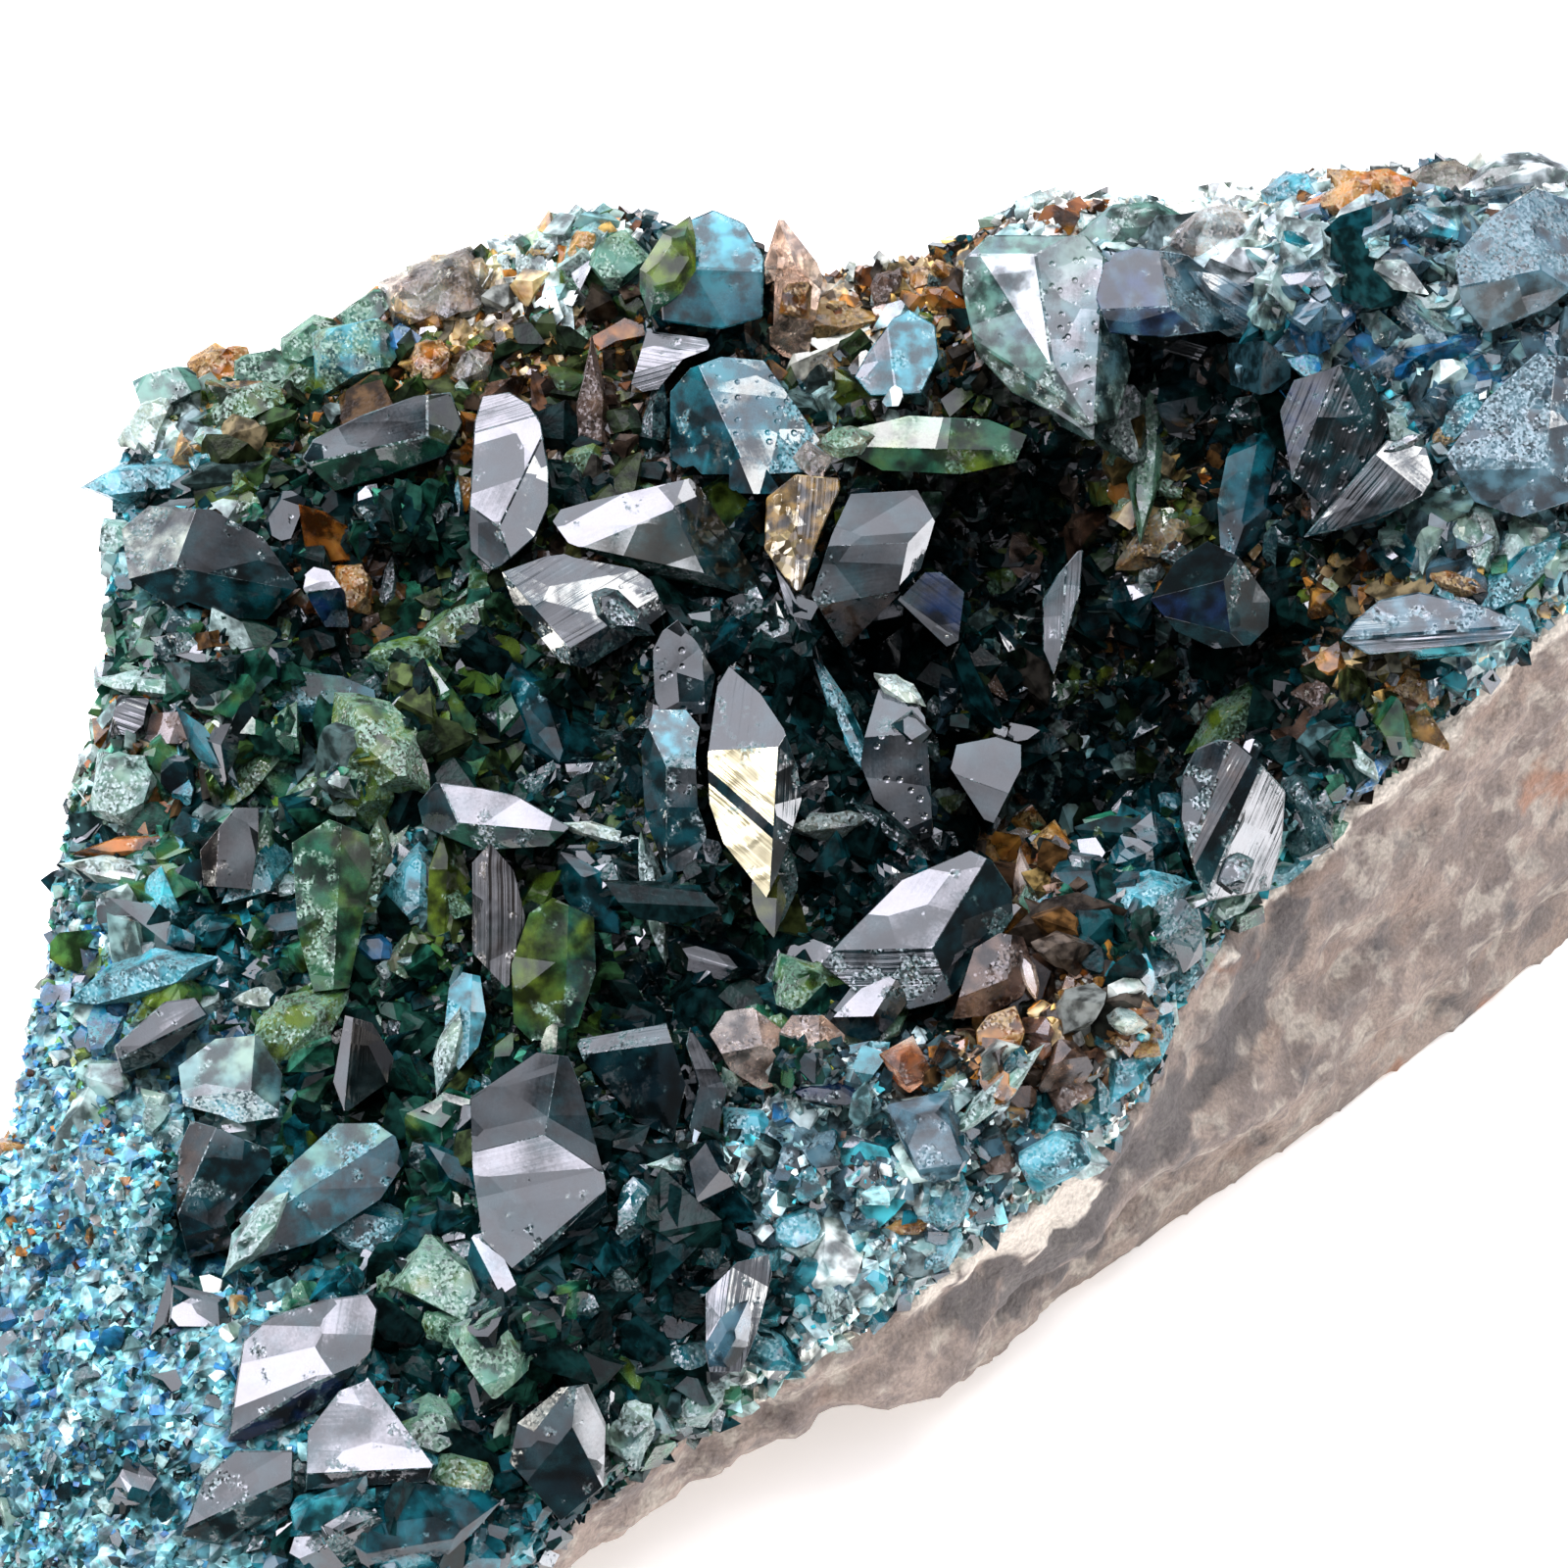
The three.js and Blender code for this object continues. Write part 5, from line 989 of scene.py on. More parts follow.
# %% Regions of the face
REGIONS = [
    {"flat": 0.8, "coarse": 1.0, "at": (-16, 10), "reach": 1.8, "mix": {"pale": 4, "chalk": 3, "leaf": 1, "honey": 1}},
    {"coarse": 1.0, "at": (-13, 10), "reach": 2.2, "mix": {"sea_green": 3, "leaf": 4, "rust": 2, "olive": 2, "pale": 2, "honey": 1}},
    {"flat": 0.7, "coarse": 1.0, "at": (-12.5, 11.8), "reach": 1.4, "mix": {"sea_green": 3, "pale": 2, "chalk": 2, "rust": 2}},
    {"coarse": 1.0, "at": (-10.5, 9.9), "reach": 2.4, "mix": {"rust": 5, "olive": 4, "sea_green": 2, "leaf": 2, "honey": 1}},
    {"flat": 0.7, "at": (-8.6, 12.6), "reach": 2.0, "mix": {"honey": 8, "rust": 3, "cream": 6}},
    {"flat": 0.6, "coarse": 1.0, "at": (-6.2, 13.4), "reach": 1.8, "mix": {"sea_green": 2, "rust": 1, "pale": 4, "chalk": 5, "leaf": 1, "honey": 2}},
    {"coarse": 1.0, "at": (-5.8, 11), "reach": 2.2, "mix": {"rust": 6, "olive": 4, "brown": 2, "honey": 1}},
    {"at": (-5.0, 8.6), "reach": 1.8, "mix": {"brown": 4, "olive": 3, "night": 3}},
    {"at": (-1, 13.4), "reach": 2, "mix": {"deep_teal": 4, "rust": 2, "sea_green": 2}},
    {"flat": 0.6, "at": (2.0, 12.6), "reach": 1.8, "mix": {"rust": 5, "brown": 2, "honey": 4, "cream": 4}},
    {"at": (4.0, 12.4), "reach": 1.4, "mix": {"honey": 2, "rust": 4, "deep_teal": 2}},
    {"at": (2.0, 9.8), "reach": 2.0, "mix": {"olive": 2, "rust": 2, "deep_teal": 3, "brown": 1, "pale": 2}},
    {"flat": 0.9, "coarse": 1.0, "at": (11.3, 14.0), "reach": 1.9, "mix": {"cream": 6, "chalk": 6}},
    {"flat": 0.9, "coarse": 1.0, "at": (14.6, 15.2), "reach": 1.6, "mix": {"rust": 3, "cream": 4, "chalk": 4}},
    {"flat": 0.9, "at": (18.5, 15.6), "reach": 1.6, "mix": {"brown": 2, "chalk": 3, "pale": 3, "cream": 2}},
    {"flat": 0.9, "at": (8.2, 14.3), "reach": 1.3, "mix": {"chalk": 5, "cream": 2, "rust": 2, "pale": 2}},
    {"flat": 0.8, "coarse": 1.0, "at": (14.2, 13.6), "reach": 1.9, "mix": {"pale": 5, "chalk": 5, "turquoise": 2, "slate": 1, "honey": 1, "cobalt": 0.5}},
    {"flat": 0.7, "coarse": 1.0, "at": (17, 13), "reach": 3.0, "mix": {"slate": 6, "turquoise": 2, "pale": 4, "cobalt": 0.5}},
    {"coarse": 1.0, "at": (13.5, 11.8), "reach": 2.4, "mix": {"slate": 4, "turquoise": 3, "pale": 3, "night": 0.5, "cobalt": 1}},
    {"at": (10, 11.5), "reach": 2.2, "mix": {"slate": 5, "night": 4}},
    {"flat": 0.6, "coarse": 1.0, "at": (18, 7), "reach": 2.6, "mix": {"slate": 5, "turquoise": 2, "pale": 2, "sea_green": 2}},
    {"flat": 0.6, "coarse": 1.0, "at": (18, 3.5), "reach": 2.4, "mix": {"turquoise": 4, "pale": 2, "honey": 1, "slate": 3}},
    {"at": (15, 3.6), "reach": 2.0, "mix": {"honey": 2, "rust": 3, "olive": 3, "deep_teal": 3}},
    {"at": (9.8, 7.2), "reach": 1.7, "mix": {"olive": 4, "leaf": 2, "honey": 3, "rust": 1, "pale": 1}},
    {"at": (11.5, 8.8), "reach": 2.0, "mix": {"night": 9, "rust": 1, "brown": 1}},
    {"at": (6.6, 7), "reach": 2.2, "mix": {"night": 8, "olive": 1, "brown": 2}},
    {"at": (7, 2), "reach": 3.6, "mix": {"night": 4, "olive": 2, "deep_teal": 3, "brown": 1, "pale": 1.6, "slate": 1.5}},
    {"at": (12, 2), "reach": 2.4, "mix": {"night": 6, "brown": 3, "deep_teal": 2}},
    {"at": (16, 0.8), "reach": 2.0, "mix": {"deep_teal": 4, "sea_green": 3, "brown": 2, "pale": 1}},
    {"coarse": 1.0, "at": (13, -2.5), "reach": 2.0, "mix": {"sea_green": 3, "turquoise": 3, "pale": 2, "deep_teal": 2}},
    {"coarse": 1.0, "at": (9.3, -3), "reach": 2.0, "mix": {"deep_teal": 5, "sea_green": 3, "turquoise": 2}},
    {"at": (6.4, -2.5), "reach": 1.6, "mix": {"rust": 4, "brown": 4, "honey": 1}},
    {"at": (7.2, -6.2), "reach": 2.4, "mix": {"brown": 6, "rust": 4, "deep_teal": 1, "honey": 2, "cream": 1}},
    {"flat": 0.6, "at": (10.3, -5.8), "reach": 1.5, "mix": {"turquoise": 6, "pale": 2, "rust": 1}},
    {"flat": 0.6, "at": (7.8, -9), "reach": 2.0, "mix": {"turquoise": 3, "pale": 5, "brown": 2, "rust": 1, "cream": 2, "chalk": 3}},
    {"coarse": 0.2, "fine": 0.9, "at": (4.2, -9.5), "reach": 1.8, "mix": {"slate": 5, "pale": 3, "turquoise": 2, "chalk": 1}},
    {"coarse": 0.2, "fine": 0.9, "at": (1.2, -9.8), "reach": 2.4, "mix": {"slate": 6, "pale": 4, "turquoise": 3, "chalk": 2, "brown": 0.5}},
    {"coarse": 0.2, "fine": 0.9, "at": (3.2, -13), "reach": 2.2, "mix": {"slate": 3, "turquoise": 3, "pale": 5, "chalk": 4, "brown": 1}},
    {"at": (0.5, -16), "reach": 2.2, "mix": {"turquoise": 1, "pale": 4, "sea_green": 2, "cream": 4, "chalk": 3}},
    {"at": (-2.5, -17.5), "reach": 2.0, "mix": {"sea_green": 4, "pale": 2, "deep_teal": 3}},
    {"coarse": 1.0, "at": (-3.5, -12.5), "reach": 2.6, "mix": {"deep_teal": 4, "night": 6}},
    {"at": (-0.5, -13), "reach": 1.8, "mix": {"deep_teal": 4, "turquoise": 3, "slate": 2, "pale": 2}},
    {"coarse": 1.0, "at": (-6.5, -13.5), "reach": 2.6, "mix": {"sea_green": 4, "deep_teal": 5, "night": 3}},
    {"at": (-9, -19), "reach": 3.0, "mix": {"deep_teal": 4, "turquoise": 4, "slate": 1}},
    {"coarse": 0.03, "fine": 1.0, "at": (-17, -15), "reach": 4.0, "mix": {"bright": 7, "pale": 1, "cobalt": 1, "deep_teal": 2}},
    {"coarse": 0.03, "fine": 1.0, "at": (-19, -10), "reach": 3.0, "mix": {"bright": 7, "pale": 1, "cobalt": 1, "rust": 0.5}},
    {"fine": 0.7, "flat": 0.5, "at": (-17, -6), "reach": 2.4, "mix": {"bright": 5, "pale": 2, "cobalt": 2, "leaf": 2}},
    {"fine": 0.7, "flat": 0.8, "at": (-18, -2), "reach": 2.0, "mix": {"bright": 4, "pale": 1, "sea_green": 2, "deep_teal": 2}},
    {"coarse": 1.0, "at": (-13, -10.5), "reach": 2.4, "mix": {"sea_green": 3, "turquoise": 3, "deep_teal": 3, "pale": 1}},
    {"coarse": 1.0, "at": (-10, -9), "reach": 2.2, "mix": {"sea_green": 5, "deep_teal": 3, "leaf": 1}},
    {"coarse": 1.0, "at": (-14.5, -3.5), "reach": 2.2, "mix": {"turquoise": 3, "sea_green": 3, "deep_teal": 3}},
    {"flat": 0.8, "at": (-17, -0.5), "reach": 1.6, "mix": {"sea_green": 4, "pale": 2, "rust": 2}},
    {"flat": 0.5, "coarse": 1.0, "at": (-17, 3), "reach": 2.0, "mix": {"sea_green": 5, "deep_teal": 2, "pale": 3, "rust": 1}},
    {"at": (-17.5, 7), "reach": 2.0, "mix": {"turquoise": 4, "deep_teal": 4, "pale": 1}},
    {"coarse": 1.0, "at": (-14, 3), "reach": 1.8, "mix": {"sea_green": 4, "night": 3, "leaf": 1, "rust": 1, "brown": 1, "pale": 1}},
    {"at": (-11, 5), "reach": 1.6, "mix": {"rust": 4, "brown": 4, "night": 3}},
    {"coarse": 1.0, "at": (-9, 2.5), "reach": 2.6, "mix": {"sea_green": 5, "olive": 3, "night": 3, "leaf": 2}},
    {"coarse": 1.0, "at": (-11, -1.5), "reach": 2.6, "mix": {"sea_green": 5, "leaf": 1, "deep_teal": 2, "pale": 2, "turquoise": 1}},
    {"at": (-6, -3.5), "reach": 2.6, "mix": {"night": 4, "sea_green": 3, "leaf": 2, "deep_teal": 2}},
    {"at": (-4, 0), "reach": 2.2, "mix": {"night": 6, "deep_teal": 2, "olive": 2}},
    {"at": (-1, -5.5), "reach": 2.6, "mix": {"night": 4, "sea_green": 2, "deep_teal": 2, "olive": 1}},
    {"at": (3, -4), "reach": 2.0, "mix": {"night": 5, "deep_teal": 4}},
    {"at": (1, 3), "reach": 3.0, "mix": {"night": 8, "deep_teal": 2}},
    {"at": (-11, 7), "reach": 2.0, "mix": {"sea_green": 3, "night": 4, "deep_teal": 2}},
    {"at": (-7, -17), "reach": 2.0, "mix": {"deep_teal": 5, "sea_green": 2, "night": 3}},
]
region_places = np.array([region["at"] for region in REGIONS], dtype=float)
region_reaches = np.array([region["reach"] for region in REGIONS])
region_coarse = np.array([region.get("coarse", 0.6) for region in REGIONS])
region_fine = np.array([region.get("fine", 0.12) for region in REGIONS])
region_flat = np.array([region.get("flat", 0.15) for region in REGIONS])
mineral_names = list(MINERAL_COLORS)
region_mix = np.array([[region["mix"].get(name, 0) for name in mineral_names] for region in REGIONS], dtype=float)
region_mix /= region_mix.sum(axis=1, keepdims=True)
LIGHT_MINERALS = ("pale", "chalk", "cream", "bright", "honey", "turquoise")
# Painted shade: a share of the small things, larger where a region has few light minerals, is darkened and tinted teal
# as if it stood in shade between crystals.
PAINTED_SHADE_SHARE = 0.72
PAINTED_SHADE_LIMIT = 0.4
PAINTED_SHADE_TINT = (0.0015, 0.007, 0.0065)
region_painted_shade = PAINTED_SHADE_SHARE * (1 - region_mix[:, [name in LIGHT_MINERALS for name in mineral_names]].sum(axis=1)) ** 2


def regions_at(places):
    """The number of the nearest region at each place, with a ragged border between regions."""
    seen = picture_place(places) + random.normal(0, 0.45, (len(places), 2))
    distance = np.linalg.norm(seen[:, None, :] - region_places[None, :, :], axis=2) / region_reaches
    return distance.argmin(axis=1)


def minerals_at(places):
    """The mineral that grows at each place, drawn from the mix of its region."""
    shares = region_mix[regions_at(places)].cumsum(axis=1)
    draw = random.random((len(places), 1))
    return np.array(mineral_names)[(draw > shares).sum(axis=1).clip(0, len(mineral_names) - 1)]


def tints_of(minerals):
    """A colour for each mineral of a list, with a little variety."""
    colors = np.empty((len(minerals), 3))
    for i, name in enumerate(minerals):
        choice = MINERAL_COLORS[name]
        colors[i] = choice[random.integers(len(choice))]
    return colors * random.uniform(0.7, 1.35, (len(minerals), 1))


def painted_light_at(places):
    """A painted light factor for each place: a share of the small things, drawn at random by region, is darkened as
    painted shade of the gaps between crystals; the rest only vary a little in tone.
    """
    dark = random.random(len(places)) < region_painted_shade[regions_at(places)]
    return np.where(dark, random.uniform(0.06, 0.25, len(places)), random.uniform(0.85, 1.25, len(places)))[:, None]


print("regions:", len(REGIONS))

# %% [markdown]
# ## Sowing
# Every small crystal is a copy of a shape, stretched, turned and sunk a little into the crust. All the copies
# of a piece are joined in one mesh, and each keeps its own colour in an attribute.

# %% Join copies in one mesh
def turns_about(normals, lean):
    """Rotations that stand a copy's long axis near each normal: arrays of three columns."""
    count = len(normals)
    axis = normals + random.normal(0, lean, (count, 3))
    axis /= np.linalg.norm(axis, axis=1, keepdims=True)
    helper = random.normal(0, 1, (count, 3))
    side = np.cross(axis, helper)
    side /= np.linalg.norm(side, axis=1, keepdims=True)
    return np.stack([axis, side, np.cross(axis, side)], axis=2)


FROST_SHARES = (0.1, 0.2, 0.3, 0.45, 0.7)
BOX_LOW = np.array(cad_box[0]) / MM - 0.35
BOX_HIGH = np.array(cad_box[1]) / MM + 0.35


def joined_copies(name, material, batches):
    """One piece from batches of copies; each batch is a shape, places, turns, sizes and colours."""
    corners, loops, starts, stains_and_painted_shade, frosts, total, loop_total = [], [], [], [], [], 0, 0
    for (shape, faces), places, turns, sizes, colors in batches:
        placed = np.einsum("nij,nkj->nki", turns, shape[None] * sizes[:, None, :]) + places[:, None, :]
        inside = ((placed > BOX_LOW) & (placed < BOX_HIGH)).all(axis=(1, 2))
        placed, colors = placed[inside], colors[inside]
        count = len(placed)
        if not count:
            continue
        face_loops = np.concatenate([np.array(face) for face in faces])
        face_sizes = np.array([len(face) for face in faces])
        offsets = total + len(shape) * np.arange(count)
        loops.append((face_loops[None] + offsets[:, None]).ravel())
        face_starts = np.concatenate([[0], face_sizes.cumsum()[:-1]])
        starts.append((face_starts[None] + loop_total + len(face_loops) * np.arange(count)[:, None]).ravel())
        corners.append(placed.reshape(-1, 3))
        stains_and_painted_shade.append(np.repeat(colors, len(shape), axis=0))
        frosts.append(np.repeat(random.choice(FROST_SHARES, count), len(shape)))
        total += len(shape) * count
        loop_total += len(face_loops) * count
    corners, loops, starts = np.concatenate(corners), np.concatenate(loops), np.concatenate(starts)
    stains_and_painted_shade, frosts = np.concatenate(stains_and_painted_shade), np.concatenate(frosts)
    data = bpy.data.meshes.new(name)
    data.vertices.add(len(corners))
    data.vertices.foreach_set("co", (corners * MM).ravel())
    data.loops.add(len(loops))
    data.loops.foreach_set("vertex_index", loops.astype(np.int32))
    data.polygons.add(len(starts))
    data.polygons.foreach_set("loop_start", starts.astype(np.int32))
    data.update(calc_edges=True)
    data.validate()
    data.shade_flat()
    # The stain attribute holds each copy's tint; for copies drawn as standing in gaps it also holds painted shade.
    stain_and_painted_shade = data.attributes.new("stain_and_painted_shade", "FLOAT_COLOR", "POINT")
    stain_and_painted_shade.data.foreach_set("color", np.concatenate([stains_and_painted_shade, np.full((len(stains_and_painted_shade), 1), 0.85)], axis=1).ravel())
    data.attributes.new("frost", "FLOAT", "POINT").data.foreach_set("value", frosts)
    data.materials.append(material)
    piece = bpy.data.objects.new(name, data)
    bpy.context.scene.collection.objects.link(piece)
    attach(piece, "root")
    print(name, "triangles:", len(data.loops) - 2 * len(data.polygons))
    return piece


def batches_of(habits, places, normals, colors, size_range, stretch, lean, sink):
    """Splits places among the shapes of some habits and gives each copy its size and turn."""
    count = len(places)
    pool = [shape for habit in habits for shape in shapes[habit]]
    choice = random.integers(len(pool), size=count)
    size = size_range[0] + (size_range[1] - size_range[0]) * random.random(count) ** 2
    sizes = size[:, None] * np.array(stretch) * random.uniform(0.75, 1.25, (count, 3))
    lying = np.cross(normals, random.normal(0, 1, (count, 3))) + 0.2 * normals
    lies = random.random(count) < region_flat[regions_at(places)]
    turns = turns_about(np.where(lies[:, None], lying, normals), np.where(lies, 0.2, lean)[:, None])
    rooted = places - normals * (sink * size)[:, None]
    return [
        (pool[k], rooted[choice == k], turns[choice == k], sizes[choice == k], colors[choice == k])
        for k in range(len(pool))
    ]


# %% [markdown]
# ## Finish of the small crystals
# Their colour comes from the attribute that each copy carries. They are not clear but opaque and glossy, and
# smooth, so that here and there a facet flashes.

# %% Material of grains and small crystals
def tinted_material(name, clear, roughness, gloss):
    """A glassy finish whose colour each copy brings along."""
    material = bpy.data.materials.new(name)
    material.use_nodes = True
    tree = material.node_tree
    shader = tree.nodes["Principled BSDF"]
    shader.inputs["IOR"].default_value = 1.62
    shader.inputs["Specular IOR Level"].default_value = gloss
    shader.inputs["Transmission Weight"].default_value = clear
    stain_and_painted_shade = add(tree, "ShaderNodeAttribute", attribute_name="stain_and_painted_shade")
    position = add(tree, "ShaderNodeTexCoord").outputs["Object"]
    tree.links.new(mottled(tree, stain_and_painted_shade.outputs["Color"], 2.5, 0.3, 1.7), shader.inputs["Base Color"])
    smear = noise_texture(tree, position, 4 * PER_MM, 1.0)
    tree.links.new(math_node(tree, "ADD", math_node(tree, "MULTIPLY", smear, 0.2), roughness), shader.inputs["Roughness"])
    bump = add(tree, "ShaderNodeBump")
    bump.inputs["Strength"].default_value = 0.6
    bump.inputs["Distance"].default_value = 0.02 * MM
    tree.links.new(noise_texture(tree, position, 9 * PER_MM, 2.0), bump.inputs["Height"])
    tree.links.new(bump.outputs["Normal"], shader.inputs["Normal"])
    return material


grain_material = tinted_material("sugar_grains", 0.0, 0.1, 0.35)
# Painted shade: a dark, nearly matt finish for the copies that are darkened as if they stood in shade.
painted_shade_material = tinted_material("painted_shade_glass", 0.0, 0.1, 0.06)
crust_material = tinted_material("crust_glass", 0.0, 0.1, 0.3)

# %% Fine grains
GRAIN_PASSES = [
    (14500, (0.08, 0.28), False), (44000, (0.06, 0.17), True)]
for number, (count, size_range, finest) in enumerate(GRAIN_PASSES):
    places, normals = sow(count)
    share = region_fine[regions_at(places)]
    kept = random.random(len(places)) < (share if finest else 1 - 0.75 * share)
    places, normals = places[kept], normals[kept]
    light = painted_light_at(places)
    colors = tints_of(minerals_at(places)) * light + np.where(light < PAINTED_SHADE_LIMIT, PAINTED_SHADE_TINT, 0)
    habits = ["mote"] if finest else ["grain", "dipyramid", "mote"]
    # Lit and shaded copies of one colour go to separate pieces; the shaded ones carry painted shade.
    shaded = light[:, 0] < PAINTED_SHADE_LIMIT
    for part, chosen, material in (("lit", ~shaded, grain_material), ("shaded", shaded, painted_shade_material)):
        batches = batches_of(
            habits, places[chosen], normals[chosen], colors[chosen], size_range, (1, 0.9, 0.8), 0.9, 0.1)
        joined_copies(f"fine_grains_{number + 1}_{part}", material, batches)

# %% Small and middling crystals, a piece for each mineral
FAMILIES = {
    "kulanite": ("kulanite", "kulanite", ["night", "deep_teal"]),
    "green": ("lazulite", "lazulite_green", ["sea_green", "leaf", "olive"]),
    "teal": ("lazulite", "lazulite_teal", ["turquoise", "cobalt"]),
    "pale": ("lazulite", "lazulite_pale", ["pale", "chalk", "cream"]),
    "slate": ("lazulite", "lazulite_slate", ["slate"]),
    "golden": ("siderite", "amber", ["rust", "honey"]),
    "smoky": ("quartz", "quartz_smoky", ["brown"]),
}


WARM_SHARE = 0.5


def sow_crystals(count, size_range, stretch, lean, sink, coarse, reach):
    """Places, minerals, shapes and sizes of many crystals; coarse ones grow only in some regions."""
    places, normals = sow(count, 0.05, reach)
    if coarse:
        kept = random.random(len(places)) < region_coarse[regions_at(places)]
        tips = places + 0.7 * size_range[1] * normals
        kept &= np.array([not in_front(tip) and not beyond_outline(tip) for tip in tips])
        places, normals = places[kept], normals[kept]
    minerals = minerals_at(places)
    if coarse:
        kept = ~np.isin(minerals, ("rust", "honey", "brown", "cream")) | (random.random(len(places)) < WARM_SHARE)
        places, normals, minerals = places[kept], normals[kept], minerals[kept]
    return places, normals, minerals, size_range, stretch, lean, sink


SOWN = [
    (["block", "grain"], sow_crystals(6000, (0.2, 0.45), (1.1, 0.85, 0.7), 0.9, 0.2, False, 0.8)),
    (["rough_grain", "block", "block", "wedge"],
     sow_crystals(4200, (0.35, 0.7), (1.2, 0.8, 0.65), 0.9, 0.25, True, 1.2)),
    (["rough_block", "block", "wedge"],
     sow_crystals(1800, (0.6, 1.0), (1.35, 0.8, 0.65), 0.8, 0.35, True, 1.6)),
]
painted_shade_batches = []
for family, (slot, finish, minerals) in FAMILIES.items():
    lit_batches = []
    for habits, (places, normals, grown, size_range, stretch, lean, sink) in SOWN:
        # Painted shade: copies drawn as standing in gaps are darkened and go to the painted shade piece.
        light = painted_light_at(places)
        colors = tints_of(grown) * light + np.where(light < PAINTED_SHADE_LIMIT, PAINTED_SHADE_TINT, 0)
        of_family = np.isin(grown, minerals)
        shaded = light[:, 0] < PAINTED_SHADE_LIMIT
        for chosen, batches in ((of_family & ~shaded, lit_batches), (of_family & shaded, painted_shade_batches)):
            batches += batches_of(
                habits, places[chosen], normals[chosen], colors[chosen], size_range, stretch, lean, sink)
    joined_copies(f"small_crystals_{family}", FINISHES[finish], lit_batches)
joined_copies("small_crystals_painted_shade", painted_shade_material, painted_shade_batches)

# %% [markdown]
# ## Companions of the large crystals
# Large crystals seldom stand alone: smaller ones of the same shape and direction crowd round their feet.
# Each companion is a small copy of its neighbour, turned by a few degrees at most.

# %% Companions
COMPANION_SIZE = (0.2, 0.42)
by_finish = {}
for node in nodes:
    if node in HIDDEN_NODES:
        continue
    mesh = welded(node)
    corners = np.array([corner.co[:] for corner in mesh.verts]) / MM
    faces = [[corner.index for corner in face.verts] for face in mesh.faces]
    mesh.free()
    middle = (corners.min(axis=0) + corners.max(axis=0)) / 2
    span = (corners.max(axis=0) - corners.min(axis=0)).max()
    low = corners[corners[:, 2] < middle[2] + 0.2 * span]
    count = int(1 + 0.6 * span)
    start = low[random.integers(len(low), size=count)]
    end = low[random.integers(len(low), size=count)]
    places = start + (end - start) * random.random((count, 1))
    away = places - middle
    away /= np.linalg.norm(away, axis=1, keepdims=True) + 1e-6
    size = random.uniform(*COMPANION_SIZE, count)
    places += away * (0.02 * size * span)[:, None]
    shown = np.array([not in_front(place, 2.0) for place in places])
    places, size, count = places[shown], size[shown], int(shown.sum())
    if not count:
        continue
    turns = np.array([
        np.array(Matrix.Rotation(random.normal(0, 0.16), 3, Vector(random.normal(0, 1, 3)).normalized()))
        for _ in range(count)])
    colors = tints_of(minerals_at(places))
    sizes = np.repeat(size[:, None], 3, axis=1)
    by_finish.setdefault(finish_of(node), []).append(((corners - middle, faces), places, turns, sizes, colors))
for finish, batches in by_finish.items():
    joined_copies(f"companions_{finish}", FINISHES[finish], batches)
